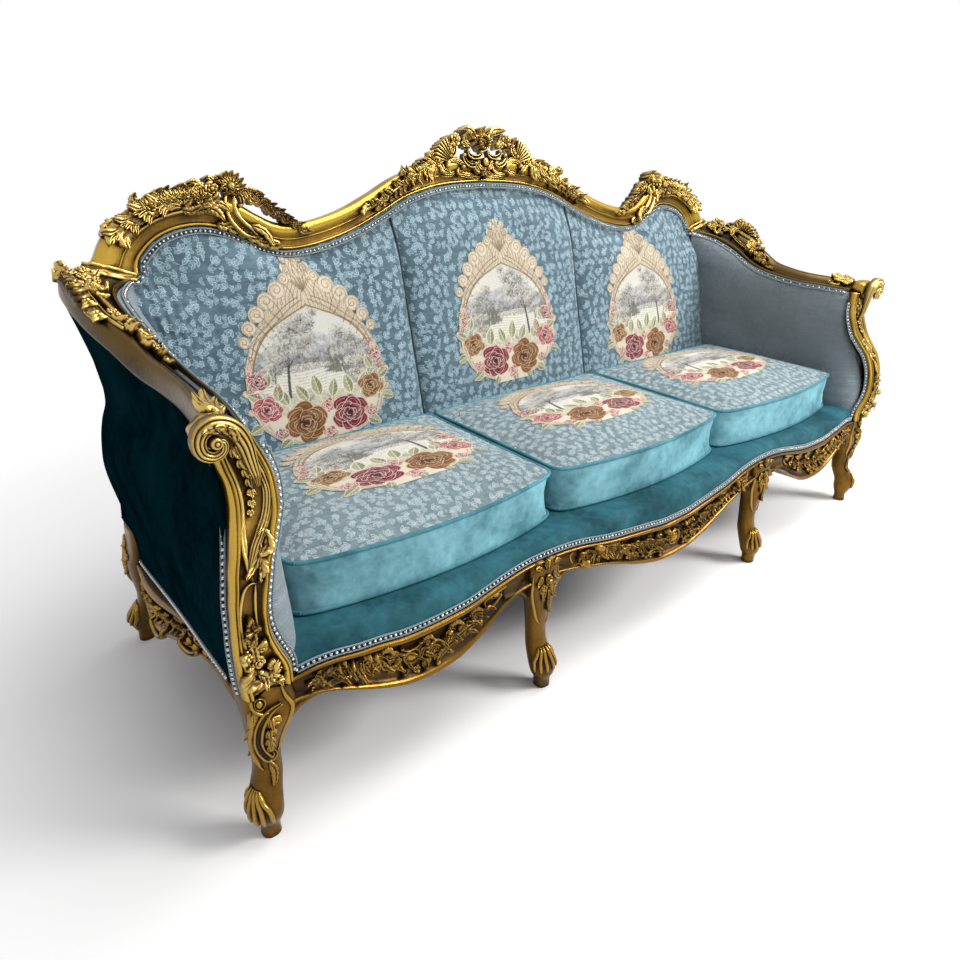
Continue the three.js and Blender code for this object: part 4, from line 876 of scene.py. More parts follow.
u = np.concatenate([np.linspace(0, .15, 34), np.linspace(.155, 1, 130)])
level = 1 - (1 - np.linspace(0, 1, 100)) ** 1.7
front = np.stack([arm_pad_point(u, np.full(len(u), share)) for share in level], 1)
hidden = front[:, ::-1][:, ::5].copy()
hidden[..., 0] += .016 + .012 * smooth(u, 0, .2)[:, None]
arm_pad = clad(front, hidden, lambda p: p[..., 1] + p[..., 0] * .7)

REAR_END, TURN_Y = skin_plane(REAR_LEG_TOP) - SKIN_THICK, DEPTH * .7973


def arm_skin_point(y, level):
    """A point of the outside arm at a depth, level 0 at the side apron and 1 at the rail."""
    along = np.linspace(1, .1, 900)
    rail = arm_outer(np.interp(y, arm_outer(along)[:, 1], along))
    top = rail[:, 2] + .004
    bottom = np.maximum(side_apron(y)[:, 1], np.where(y < .0653, FRONT_LEG_TOP, 0)) + GAP
    z = mix(bottom, top, level)
    k = smooth(y / REAR_END, 0, .9)
    plain = mix(arm_front(z)[:, 0], arm_rear(z)[:, 0], k)
    plain_top = mix(arm_front(top)[:, 0], arm_rear(top)[:, 0], k)
    turn = .06 * np.maximum((y - TURN_Y) / (REAR_END - TURN_Y), 0) ** 2
    pull = (rail[:, 0] - .0006 - plain_top) * smooth(level, .55, 1)
    over = smooth(z, REAR_LEG_TOP, REAR_LEG_TOP + .06) * (1 - np.maximum(level, 0) ** 3)
    return np.stack([plain + pull - turn * over, y, z], -1)


u = np.linspace(0, 1, 130)
rows = []
for share in np.linspace(0, 1, 90):
    at_front = post_line(mix(FRONT_LEG_TOP, POST_TOP, share))[0, 2] + POST_DEEP
    rows.append(arm_skin_point(mix(at_front, REAR_END, u), np.full(len(u), share)))
front = np.stack(rows, 1)
# above the rear leg the skin goes on back to the outside back
rear_edge = front[-1].copy()
over_leg = smooth(rear_edge[:, 2], REAR_LEG_TOP - .004, REAR_LEG_TOP)
reach = Y * ((skin_plane(rear_edge[:, 2]) - .004 - REAR_END) * over_leg)[:, None]
front = np.concatenate([front, [rear_edge + reach * share for share in (.35, .7, 1)]])
hidden = front[:, ::-1][:, ::5] - [.0137, 0, 0]
arm_skin = clad(front, hidden, lambda p: p[..., 1])


def deck():
    """The sprung deck under the cushions: a velvet band that rolls over its front edge."""
    x = np.linspace(-HALF * .909, HALF * .909, 260)
    away = np.abs(x)
    line, face = apron_top(away)[:, 0] + GAP, apron_face(away)[:, 0]
    lift = DECK - line
    roll = [(0, 1.0), (.04, .55), (.14, .5), (.35, .45), (.55, .75), (.72, 1.35), (.85, 2.3),
            (.94, 3.6), (1, 5.6)]
    rows = [np.stack([x, face + .006 * out + .0008 * ripple(x, z * x, .25, 4), line + lift * z],
                     -1) for z, out in roll]
    rear = RAIL_REAR_Y + .0136
    for y, z in ((.25, DECK), (rear, DECK), (rear, DECK_LOW), (RAIL_FRONT + .006, DECK_LOW)):
        rows.append(np.stack([x, np.full_like(x, y), np.full_like(x, z)], -1))
    rows.append(np.stack([x, np.full_like(x, RAIL_FRONT - .0009), line], -1))
    return loft(np.stack(rows, 1))


deck_piece = deck()


def back_skin():
    """The outside back: one taut skin between the crest, the arms and the rear legs."""
    leg_x = HALF * .9133
    past_leg = leg_x + 1e-5
    plain = np.linspace(0, leg_x, 110)
    beyond = np.linspace(0, 1, 12)
    top_line = back_line(np.linspace(0, 1, 400))[:, [0, 2]] + [0, .012]
    top_line[-1, 1] -= .014
    top_line = np.vstack([top_line, rear_edge[-1, [0, 2]] - [0, .002]])
    keep = np.concatenate([[True], np.diff(np.maximum.accumulate(top_line[:, 0])) > 0])
    across = np.concatenate([plain, past_leg + (rear_edge[-1, 0] - leg_x) * beyond])
    top_z = np.interp(across, *top_line[keep].T)
    low_z = np.where(across > leg_x, REAR_LEG_TOP + GAP, TALL * .2016)
    rows = []
    for level in np.linspace(0, 1, 90):
        z = mix(low_z, top_z, level)
        side = np.interp(z[len(plain):], rear_edge[:, 2], rear_edge[:, 0]) + .0006
        x = np.concatenate([plain, mix(past_leg, side, beyond)])
        rows.append(np.stack([x, skin_plane(z) - .0002, z], -1))
    outer = both_sides(np.stack(rows, 1))
    inner = outer[:, ::-1][:, ::6] - [0, .0098, 0]
    skin = clad(outer, inner, lambda p: p[..., 0])
    z = np.linspace(REAR_LEG_TOP + .004, rear_edge[-1, 2] - .004, 90)
    welt = np.stack([np.interp(z, rear_edge[:, 2], rear_edge[:, 0]) - .0006, skin_plane(z) - .0012,
                     z], 1)
    for way in (1, -1):
        tube(welt * [way, 1, 1], .0032, 8, heap=skin)
    return skin


outside_back = back_skin()


# ---- Loose cushions: boxed and piped, puffed by a short cloth simulation

CUSHION_TOP, CUSHION_LOW = TALL * .397, DECK + GAP


def cushion_place(x, y, inset, z, low, high):
    """The cushion's outline: bowed in front, its sides drawn in between the corners."""
    centre, half = (low + high) / 2, (high - low) / 2
    rear = DEPTH * .7108 + .1896 * DEPTH / TALL * (z - CUSHION_LOW)
    front = DEPTH * .086 - DEPTH * .0563 * (1 - x ** 2)
    draw = 1 - .005 / half * (1 - y ** 4)
    return centre + x * (half - inset) * draw, mix(front + inset, rear - inset, (y + 1) / 2)


def puffed(obj, pinned, pressure=4.0, steps=20, give=-.012):
    """Runs a cloth simulation on a closed form and returns where its points come to rest."""
    group = obj.vertex_groups.new(name="pin")
    group.add([int(i) for i in np.flatnonzero(pinned)], 1.0, "REPLACE")
    cloth = obj.modifiers.new("Cloth", "CLOTH")
    cloth.settings.quality = 5
    cloth.settings.mass = .25
    cloth.settings.use_pressure = True
    cloth.settings.uniform_pressure_force = pressure
    cloth.settings.effector_weights.gravity = 0
    cloth.settings.vertex_group_mass = "pin"
    cloth.settings.shrink_min = give
    cloth.collision_settings.use_collision = False
    scene = bpy.context.scene
    for step in range(1, steps + 1):
        scene.frame_set(step)
    found = obj.evaluated_get(bpy.context.evaluated_depsgraph_get()).to_mesh()
    at = np.empty(len(found.vertices) * 3)
    found.vertices.foreach_get("co", at)
    obj.modifiers.remove(cloth)
    obj.vertex_groups.remove(group)
    scene.frame_set(1)
    return at.reshape(-1, 3)


def points_of(obj):
    at = np.empty(len(obj.data.vertices) * 3)
    obj.data.vertices.foreach_get("co", at)
    return at.reshape(-1, 3)


def cushion(side, low, high):
    """One loose cushion between two places across; the answer is it and its top's points."""
    nx, ny, rows = 96, 78, 13
    a, b = np.meshgrid(np.linspace(-1, 1, nx), np.linspace(-1, 1, ny))
    most = np.maximum(np.abs(a), np.abs(b))
    # the square grid is drawn in a little at its corners, which rounds them
    round_out = np.maximum((np.abs(a) ** 20 + np.abs(b) ** 20) ** (1 / 20), 1e-9)
    k = np.where(most > 0, most / round_out, 1)
    gx, gy = a * k, b * k
    px, py = cushion_place(gx, gy, .004, CUSHION_TOP, low, high)
    crown = .016 * (1 - most ** 2.4)
    top = np.stack([px, py, CUSHION_TOP - .002 + crown + (gy + 1) * .007], -1)
    qx, qy = cushion_place(gx, gy, .004, CUSHION_LOW, low, high)
    under = np.stack([qx, qy, np.full_like(qx, CUSHION_LOW + .0002)], -1)
    rim = np.concatenate([np.arange(nx), np.arange(2, ny + 1) * nx - 1,
                          np.arange(ny * nx - 2, (ny - 1) * nx - 1, -1),
                          np.arange(ny - 2, 0, -1) * nx])
    loop_x, loop_y = gx.ravel()[rim], gy.ravel()[rim]
    walls = []
    for share in np.linspace(0, 1, rows + 2)[1:-1]:
        z = mix(top.reshape(-1, 3)[rim, 2], CUSHION_LOW, share)
        draw = .0045 + .003 * math.sin(share * PI)
        wx, wy = cushion_place(loop_x, loop_y, draw, z, low, high)
        walls.append(np.stack([wx, wy, z], -1))
    n, m = nx * ny, len(rim)
    verts = np.vstack([top.reshape(-1, 3), under.reshape(-1, 3), np.concatenate(walls)])
    heap = Heap()
    top_faces = grid_faces(ny, nx)
    loops = [rim] + [2 * n + r * m + np.arange(m) for r in range(rows)] + [n + rim]
    wall_faces = np.concatenate([
        np.stack([upper, lower, np.roll(lower, -1), np.roll(upper, -1)], 1)
        for upper, lower in zip(loops, loops[1:])])
    steps = np.linalg.norm(np.diff(verts[rim][:, :2], axis=0), axis=1)
    far = np.concatenate([[0], np.cumsum(steps)])
    uv = np.vstack([top.reshape(-1, 3)[:, :2], under.reshape(-1, 3)[:, :2]]
                   + [np.stack([far, wall[:, 2]], 1) for wall in walls])
    heap.add(verts, top_faces, .6, uv)
    heap.faces += [(wall_faces, 1), (top_faces[:, ::-1] + n, 1)]
    name = "cushion_" + side
    obj = make("dressed_" + name, heap, [seat_cloth, boxing], name, ["seat_" + name])
    start = points_of(obj)
    pinned = np.zeros(len(start), bool)
    pinned[n:2 * n] = True
    pinned[rim] = True
    moved = puffed(obj, pinned) - start
    limit = np.full(len(start), .022)
    limit[2 * n:] = .0035
    size = np.linalg.norm(moved, axis=1)
    start = start + moved * np.minimum(1, limit / np.maximum(size, 1e-9))[:, None]
    # small puckers along the piping, by the place on the rim that each point looks to
    edge = (1 - most.ravel()) * .3
    pucker = np.exp(-edge / .012) * (1 - np.exp(-edge / .003))
    apart = np.abs(np.arctan2(gy.ravel(), gx.ravel())[:, None] - np.arctan2(loop_y, loop_x)[None])
    start[:n, 2] += .0014 * pucker * np.sin(far[np.argmin(apart, 1)] * 420)
    obj.data.vertices.foreach_set("co", start.ravel())
    obj.data.update()
    piping = Heap()
    for z, slope in ((CUSHION_TOP - .003, .007), (CUSHION_LOW + .0048, 0)):
        wx, wy = cushion_place(loop_x, loop_y, .0035, z, low, high)
        ring = np.stack([wx, wy, z + (loop_y + 1) * slope], -1)
        tube(np.vstack([ring, ring[:2]]), .0042, 9, heap=piping)
    make("piping_" + name, piping, piped, name)
    return obj, start[:n].reshape(ny, nx, 3)


near, far = SEAM + .0015, HALF * .8673
cushions = {"middle": cushion("middle", .0015 - SEAM, SEAM - .0015),
            "right": cushion("right", near, far), "left": cushion("left", -far, -near)}


# ---- Nailheads between two gimp cords

nails, cords = Heap(), Heap()
ANGLE = np.arange(8) / 8 * 2 * PI


def nail_row(path, normal, pitch=.0102, radius=.0034, gap=.0054, mirror=True, height=.0008):
    """A row of domed nailheads along a line, with a cord on each side."""
    path = np.asarray(path, float)
    normal = np.broadcast_to(np.asarray(normal, float), path.shape)
    count = max(int(length_of(path) / pitch), 2)
    both = even(np.hstack([path, normal]), count + 1)
    at, up = both[:, :3], unit(both[:, 3:])
    run = tangents(at)
    side = unit(np.cross(run, up))
    at = at + up * height
    rings = [at[:, None] + radius * r * (run[:, None] * np.cos(ANGLE)[None, :, None]
                                         + side[:, None] * np.sin(ANGLE)[None, :, None])
             + up[:, None] * radius * h for r, h in ((1, -.3), (.98, .15), (.8, .5), (.45, .76))]
    peak = np.repeat((at + up * radius * .84)[:, None, None], len(ANGLE), 2)
    verts = np.concatenate([np.stack(rings, 1), peak], 1)
    one = grid_faces(len(rings) + 1, len(ANGLE), wrap=True)
    first = np.arange(len(at)) * (len(rings) + 1) * len(ANGLE)
    row = Heap().add(verts, (one[None] + first[:, None, None]).reshape(-1, 4), .8)
    strands = Heap()
    fine = even(np.hstack([path, normal]), max(int(length_of(path) / .006), 2))
    p, q = fine[:, :3], unit(fine[:, 3:])
    s = unit(np.cross(tangents(p), q))
    for sign in (-1, 1):
        tube(p + s * gap * sign + q * (height - .0002), .0019, 6, heap=strands)
    for heap, part in ((nails, row), (cords, strands)):
        heap.join(part)
        if mirror:
            heap.join(part, mirror=True)


t = np.linspace(0, .985, 260)
run = slope_of(back_line, t)
inward = np.stack([run[:, 2], 0 * t, -run[:, 0]], 1)
path = back_line(t) + inward * .0085 - Y * (.0065 + .0085 * (1 - smooth(t, .3, .5)))[:, None]
nail_row(both_sides(path), (0, -.95, .3), mirror=False)
u = np.linspace(1, .03, 200)
edge, under = (arm_pad_point(u, np.full(200, share)) for share in (.993, .982))
normal = unit(np.cross(tangents(edge), edge - under))
path = np.vstack([arm_inner(np.linspace(.02, .085, 12)) + [-.005, -.004, -.003], edge])
nail_row(path, np.vstack([np.tile([-.5, -.5, .7], (12, 1)), normal * np.sign(normal[:, 2:])]),
         height=.0012)
z = np.linspace(FRONT_LEG_TOP + .012, TALL * .585, 160)
inner, outer, y = post_line(z).T
nail_row(np.stack([inner - .0065, y + .0005, z], 1), (-.15, -1, 0))
level = np.linspace(.01, .94, 160)
path = arm_skin_point(post_line(mix(FRONT_LEG_TOP, POST_TOP, level))[:, 2] + .0125, level)
nail_row(path, (.95, -.25, 0), height=.0014)
x = np.linspace(0, HALF * .9, 260)
path = np.stack([x, apron_face(x)[:, 0] + .0012, apron_top(x)[:, 0] + .0085], 1)
nail_row(both_sides(path), (0, -1, .05), mirror=False)
y = np.linspace(.045, DEPTH * .85, 120)
path = np.stack([side_apron(y)[:, 0] + .001, y, side_apron(y)[:, 1] + .009], 1)
path[:, 0] = arm_skin_point(y, np.full(len(y), .02))[:, 0] + .0015
nail_row(path, (1, 0, 0))


# ---- Carving: leaves, scrolls, flowers and shells laid on the surfaces of the frame

class Ground:
    """A surface to carve on. Places on it are (a, b) in its own units; out is where it faces."""

    def __init__(self, at, out, step=(1e-3, 1e-2)):
        self.at, self.out, self.step = at, out, step

    def slopes(self, a, b):
        i, j = self.step
        return ((self.at(a + i, b) - self.at(a - i, b)) / (2 * i),
                (self.at(a, b + j) - self.at(a, b - j)) / (2 * j))

    def normal(self, a, b):
        n = unit(np.cross(*self.slopes(a, b)))
        out = self.out(self.at(a, b)) if callable(self.out) else self.out
        return n * np.sign(np.sum(n * out, -1, keepdims=True))

    def from_metres(self, place, u, v):
        """Places on the surface, from offsets in metres from one of its places."""
        a, b = place
        along, across = (s[0] for s in self.slopes(np.array([a]), np.array([b])))
        first = along / np.linalg.norm(along)
        skew = across @ first
        db = v / np.linalg.norm(across - skew * first)
        return a + (u - db * skew) / np.linalg.norm(along), b + db

    def lay(self, heap, place, u, v, h, relief):
        """Closed rings (n, m) of offsets in metres from a place, and of heights over it."""
        a, b = (q.ravel() for q in self.from_metres(place, u, v))
        verts = self.at(a, b) + self.normal(a, b) * np.asarray(h).reshape(-1, 1)
        loft(verts.reshape(*u.shape, 3), relief, heap=heap)

    def metres(self, start, end):
        """The way from one place to another in the local frame at the first, in metres."""
        along, across = (s[0] for s in self.slopes(np.array([start[0]]), np.array([start[1]])))
        first = along / np.linalg.norm(along)
        step = along * (end[0] - start[0]) + across * (end[1] - start[1])
        second = unit(across - (across @ first) * first)
        return np.array([step @ first, step @ second])


def leaf(heap, ground, root, tip, width, bend=0.0, lobes=5, rise=.007, depth=.006, lift=0.0,
         curl=.6, rows=None):
    """A toothed leaf with a sunk vein, slanting ribs and a lifted tip."""
    way = ground.metres(root, tip) if not isinstance(tip, np.ndarray) else tip
    size, turn = np.hypot(*way), math.atan2(way[1], way[0])
    n = rows or max(14, lobes * 6 + 3)
    s = np.linspace(0, 1, n)
    across = np.array([-1, -.82, -.6, -.36, -.14, 0, .14, .36, .6, .82, 1])
    spine = np.stack([s * size, bend * size * np.sin(s * PI)], 1)
    side = tangents(spine)[:, ::-1] * [-1, 1]
    tooth = 1 - (s * lobes) % 1 if lobes > 1 else np.zeros(n)
    half = width * (np.sin(PI * np.clip(s, .03, 1) ** .75) ** .55 * .95 + .05) * (1 - .36 * tooth)
    half[-1] = width * .04
    flow = s[:, None] * lobes - np.abs(across)[None] * 1.15
    ribs = .5 + .5 * np.cos(2 * PI * (flow - .12)) if lobes > 1 else np.ones((n, 11))
    body = 1 - np.abs(across)[None] ** 2.2
    vein = np.exp(-(across[None] / .15) ** 2)
    edge = np.abs(across)[None] ** 3
    top = rise * (.34 + .44 * body + .16 * ribs * (.3 + .7 * np.abs(across)[None]) - .3 * vein)
    top = (top * np.clip(s * 7 + .3, 0, 1)[:, None] + rise * curl * smooth(s, .62, 1)[:, None]
           + lift)
    # tones for the gilt: painted shade in the vein and between the ribs, painted highlight on the
    # ribs, the edges and toward the lifted tip
    shade = np.clip(.3 + .42 * ribs + .3 * edge - .6 * vein + .2 * s[:, None], 0, 1)
    uv = spine[:, None] + side[:, None] * (across[None, :, None] * half[:, None, None])
    uv = np.concatenate([uv, uv[:, ::-1][:, [0, -1]] * .98 + spine[:, None] * .02], 1)
    high = np.concatenate([top, np.full((n, 2), lift - depth)], 1)
    shade = np.concatenate([shade, np.full((n, 2), .1)], 1)
    u = uv[..., 0] * math.cos(turn) - uv[..., 1] * math.sin(turn)
    v = uv[..., 0] * math.sin(turn) + uv[..., 1] * math.cos(turn)
    ground.lay(heap, root, u, v, high, shade)


def turned(heap, ground, place, size, profile, angle=0.0, petals=0, cut=.2, twist=0.0, depth=.006,
           lift=0.0, sides=None):
    """A round ornament from a profile of (share of the radius, height, relief); its edge and
    its height follow the petals."""
    rx, ry = size if isinstance(size, tuple) else (size, size)
    sides = sides or (petals * 8 if petals else 28)
    theta = np.arange(sides) / sides * 2 * PI
    rows = [(.35, -depth, .1), (1, -depth, .1)] + list(profile)
    r, h, shade = np.array(rows, float).T
    wave = np.ones((len(r), sides))
    if petals:
        wave = np.abs(np.cos(theta[None] * petals / 2 + twist * (1 - r[:, None])))
    reach = smooth(r, .12, .9)[:, None]
    out = r[:, None] * (1 - cut * reach * (1 - wave ** .7))
    x, y = out * np.cos(theta) * rx, out * np.sin(theta) * ry
    high = h[:, None] * (1 - .55 * (1 - wave ** .6) * reach) + lift
    high[:2] = lift - depth
    # painted shade between the petals, for the gilt
    tone = shade[:, None] * np.where(wave < .35, .25, 1)
    u = x * math.cos(angle) - y * math.sin(angle)
    v = x * math.sin(angle) + y * math.cos(angle)
    ground.lay(heap, place, u, v, high, tone)


def rose(heap, ground, place, r, lift=0.0, depth=.008, angle=0.0, petals=5):
    """An open flower: two rings of petals round a bud."""
    turned(heap, ground, place, r, [(1, r * .12, .7), (.92, r * .3, 1), (.7, r * .26, .8),
        (.5, r * .12, .1), (.3, r * .1, .1), (.03, r * .1, .1)], angle, petals, .26, depth=depth,
        lift=lift)
    turned(heap, ground, place, r * .62, [(1, r * .2, .4), (.9, r * .5, 1), (.66, r * .46, .8),
        (.45, r * .3, .1), (.03, r * .28, .1)], angle + PI / petals, petals, .22, depth=depth * .5,
        lift=lift)
    turned(heap, ground, place, r * .27, [(1, r * .2, .3), (.95, r * .5, .7), (.6, r * .66, 1),
        (.03, r * .7, 1)], angle, 0, depth=depth * .5, lift=lift)


def leaves(heap, land, rows, *alike):
    """Many leaves: a row holds root, tip and what is a leaf's own, alike what they share."""
    for a0, b0, a1, b1, *own in rows:
        leaf(heap, land, (a0, b0), (a1, b1), *own, *alike)


def roses(heap, land, rows, lift, depth, turning):
    """Many roses: a row holds a place and a radius; each is turned by its own place."""
    for a, b, r in rows:
        rose(heap, land, (a, b), r, lift, depth, a * turning)


def cabochon(heap, ground, place, rx, ry, angle=0.0, rise=.008, depth=.006, lift=0.0):
    turned(heap, ground, place, (rx, ry), [(1, rise * .2, .4), (.97, rise * .75, .9),
        (.88, rise * .9, 1), (.8, rise * .6, .5), (.74, rise * .12, .0), (.68, rise * .15, .1),
        (.6, rise * .7, .7), (.4, rise * 1.05, 1), (.03, rise * 1.2, 1)], angle, depth=depth,
        lift=lift)


def husk(heap, ground, place, way, size, lift=0.0, rise=.006):
    """A bell of three small leaves that point one way (an angle on the surface)."""
    for turn, long in ((-.55, .8), (.55, .8), (0, 1)):
        leaf(heap, ground, place, toward(way + turn) * size * long, size * .27, 0, 1, rise, .004,
             lift + (.0015 if turn == 0 else 0), .3, rows=9)


def shell(heap, ground, place, start, end, inner, outer, ribs, rise=.008, depth=.008, lift=0.0,
          dish=.4, stretch=1.0):
    """A fan of ribs between two angles and two radii, scalloped at its edge."""
    n = ribs * 7 + 1
    k = np.linspace(0, 1, n)
    theta = mix(start, end, k)
    wave = np.abs(np.sin(PI * ribs * k)) ** .8
    r = np.linspace(0, 1, 10)
    away = mix(inner, (outer * (1 - .1 * (1 - wave)))[:, None], r[None])
    swell = .55 + .45 * np.sin(PI * (r[None] * .8 + .1))
    high = lift + rise * ((.35 + .65 * wave[:, None]) * swell + dish * r[None] ** 2)
    # tones for the gilt: painted highlight on the ribs' crests, painted shade between them and
    # toward the middle
    shade = np.clip(.08 + .92 * wave[:, None] ** 1.5 * (.55 + .45 * r[None]), 0, 1)
    away = np.concatenate([away, away[:, [-1, 0]]], 1)
    high = np.concatenate([high, np.full((n, 2), lift - depth)], 1)
    shade = np.concatenate([np.broadcast_to(shade, (n, 10)), np.full((n, 2), .1)], 1)
    u, v = away * np.cos(theta)[:, None] * stretch, away * np.sin(theta)[:, None]
    ground.lay(heap, place, u, v, high, shade)


# Moulding sections with their tones, which the gilt shows as painted highlight on the crowns and
# painted shade in the hollows
BEAD = [(-1, -.7), (-1, .1), (-.82, .66), (-.4, .98), (0, 1.04), (.4, .98), (.82, .66), (1, .1),
        (1, -.7)]
BEAD_TONE = np.array([.1, .3, .7, .95, 1, .95, .7, .3, .1])[None]
MOULD = [(-1, -.8), (-1, .3), (-.88, .85), (-.66, 1), (-.46, .82), (-.32, .42), (-.1, .3),
         (.14, .34), (.36, .6), (.6, .98), (.84, .9), (1, .3), (1, -.8)]
MOULD_TONE = np.array([.1, .5, .95, 1, .6, .02, .15, .3, .5, .95, 1, .4, .1])[None]
FLUTED = [(-1, -.8), (-1, .2), (-.84, .7), (-.66, .62), (-.58, .4), (-.46, .82), (-.26, .98),
          (-.1, .86), (-.02, .5), (.1, .88), (.3, .98), (.46, .8), (.56, .4), (.68, .62),
          (.86, .66), (1, .2), (1, -.8)]
FLUTED_TONE = np.array([.1, .3, .9, .7, .0, .7, 1, .8, .0, .8, 1, .7, .0, .7, .9, .3, .1])[None]
MOULDINGS = {"bead": (BEAD, BEAD_TONE), "mould": (MOULD, MOULD_TONE),
             "fluted": (FLUTED, FLUTED_TONE)}


def strip(heap, ground, places, width, rise, kind="bead", count=40, taper=(1, 1), lift=0.0):
    """A moulding that runs through places on a surface."""
    line = np.array(places, float)
    t = np.linspace(0, 1, count)
    ab = spline(line)(t)
    p, n = ground.at(ab[:, 0], ab[:, 1]), ground.normal(ab[:, 0], ab[:, 1])
    p = even(p, len(t))
    full = np.minimum(1, np.minimum(mix(taper[0], 1, smooth(t, 0, .22)),
            mix(1, taper[1], smooth(t, .78, 1))))
    section, tone = MOULDINGS[kind]
    sweep(p + n * lift, n, width * full, rise * (.4 + .6 * full), section, tone, heap=heap)


def cee(heap, ground, start, end, hand, width=.005, rise=.007, curl=1.0, ess=False, kind="mould",
        count=64, lift=0.0):
    """A C or S scroll between the eyes of its two curls."""
    s = np.linspace(-1, 1, count)
    bend = .9 + 7.5 * curl * np.abs(s) ** 5
    turn = np.cumsum(bend * (np.sign(s) if ess else 1)) * (2 / count) * hand
    step = np.exp(1j * turn)
    path = np.concatenate([[0], np.cumsum((step[1:] + step[:-1]) / 2)])
    way = ground.metres(start, end)
    path = path * ((way[0] + 1j * way[1]) / path[-1])
    a, b = ground.from_metres(start, path.real, path.imag)
    full = .45 + .55 * (1 - np.abs(s) ** 3)
    section, tone = MOULDINGS[kind]
    p, n = ground.at(a, b), ground.normal(a, b)
    high = lift + rise * .25 * np.abs(s) ** 4
    sweep(p + n * high[:, None], n, width * full, rise * (.75 + .25 * full), section, tone,
          heap=heap)
    for k in (0, -1):
        turned(heap, ground, (a[k], b[k]), width * .95, [(1, rise * .3, .3), (.85, rise * .9, .9),
            (.4, rise * 1.25, 1), (.03, rise * 1.3, 1)], lift=lift, sides=12)


def foliage(heap, ground, places, count, size, spread=.8, seed=1, buds=.35, lift=0.0, depth=.014,
            aside=0.0, rise=.012, jitter=.2):
    """Leaves and small flowers crowded along a line, no two quite alike."""
    rng, line = np.random.default_rng(seed), spline(places)
    for k in range(count):
        t = (k + .5) / count
        p, q = line(t)[0], line(min(t + .03, 1))[0]
        way = ground.metres(tuple(p), tuple(q)) if t < .97 else way
        heading = math.atan2(way[1], way[0])
        side = 1 if k % 2 else -1
        long = size * rng.uniform(.8, 1.2) * (1.1 - .35 * t)
        step = toward(heading + side * spread * rng.uniform(.6, 1.25)) * long
        room = [size * .3, size * .3 if ground is plane else size * 4]
        off = p + (rng.uniform(-1, 1, 2) * jitter + [0, aside * side]) * room
        leaf(heap, ground, tuple(off), step, long * rng.uniform(.27, .36),
             side * rng.uniform(-.1, .3), int(rng.integers(3, 5)), rise * rng.uniform(.8, 1.15),
             depth, lift + rng.uniform(0, .003), rng.uniform(.6, 1.2))
        if rng.random() < buds:
            rose(heap, ground, tuple(p), size * rng.uniform(.28, .4), lift + rise * .45, depth,
                 k * 1.3)


# ---- The surfaces to carve on, without the narrow hollows of their mouldings

def rail_ground(kind, out):
    def at(t, b):
        inner, across, back, sizes = kind(np.clip(t, 0, 1))
        level = .38 + .6 * smooth(b, .2, .7) - .3 * smooth(b, .9, 1.02)
        return inner + across * b[:, None] - back * (level * sizes[:, 0])[:, None]
    return Ground(at, out)


FINE = (1e-3, 1e-3)


def plane_ground(lift):
    lean = unit(np.array([0, -1, CREST_LEAN]))

    def at(x, z):
        return np.stack([x, crest_plane(z), z], -1) + lean * lift
    return Ground(at, lean, FINE)


def post_at(z, b):
    inner, outer, y = post_line(z).T
    level = .35 + .75 * smooth(np.abs(2 * b - 1), .55, .85)
    return np.stack([mix(inner, outer, b), y - level * POST_RELIEF, z], -1)


def apron_field(b):
    """How deep an apron lies behind its face, by the share of its height."""
    return APRON_RELIEF * (1.15 - 1.9 * smooth(np.abs(2 * b - 1), .55, .85))


def apron_at(x, b):
    top, bottom, face = (line(np.abs(x))[:, 0] for line in (apron_top, apron_bottom, apron_face))
    return np.stack([x, face + apron_field(b), mix(top, bottom, b)], -1)


def side_at(y, b):
    outer, top, bottom = side_apron(y).T
    return np.stack([outer - apron_field(b), y, mix(top, bottom, b)], -1)


def leg_ground(sizes):
    line, at = leg_surface(*sizes)
    _, tall, width, foot = sizes

    def out(p):
        middle = line(p[:, 2] / tall)
        return np.stack([p[:, 0] - foot[0] - middle[:, 0] * width,
                         p[:, 1] - foot[1] - middle[:, 1] * width, 0 * p[:, 0]], -1)
    return Ground(at, out, (2e-3, 2e-2))


crest_land = rail_ground(crest_frame, -Y * .8 + Z * .6)
arm_land = rail_ground(arm_frame, Z * .8 - X * .3 - Y * .4)
plane, post_land = plane_ground(.014), Ground(post_at, -Y)
apron_land, side_land = Ground(apron_at, -Y), Ground(side_at, X)
corner_land, middle_land, rear_land = map(leg_ground, (CORNER, MIDDLE, REAR))

# The cartouche over the middle of the crest
cartouche = Heap()
half = Heap()
for degrees, long, wide in ((90, .033, .0105), (58, .034, .0105), (28, .036, .010),
                            (-6, .03, .009)):
    leaf(half, plane, (.002, 1.131), toward(math.radians(degrees)) * (long + .004), wide, .1, 4,
         .012, .024, .002, 1.2)
leaves(half, plane, ((.02, 1.131, .076, 1.158, .0125, .28, 5, .012, .022, .004, .9),
                     (.045, 1.118, .062, 1.152, .01, -.2, 4, .01, .022, .006, .9),
                     (.088, 1.118, .119, 1.146, .011, -.3, 4, .01, .022, .0, .8),
                     (.098, 1.126, .112, 1.1, .009, .2, 3, .01, .022, .004, .5),
                     (.15, 1.078, .126, 1.058, .011, .2, 4, .01, .02, .003, .7),
                     (.184, 1.07, .214, 1.082, .0095, .2, 4, .01, .02, -.002, .8),
                     (.182, 1.066, .205, 1.046, .0095, -.2, 4, .01, .02, -.002, .7),
                     (.055, 1.083, .03, 1.052, .011, -.25, 4, .011, .02, .001, .8),
                     (.07, 1.066, .092, 1.048, .01, .3, 4, .01, .018, -.002, .7),
                     (.024, 1.09, .004, 1.062, .0085, .2, 3, .01, .022, .004, .6),
                     (.124, 1.112, .092, 1.094, .007, .3, 3, .009, .02, -.002, .6)))
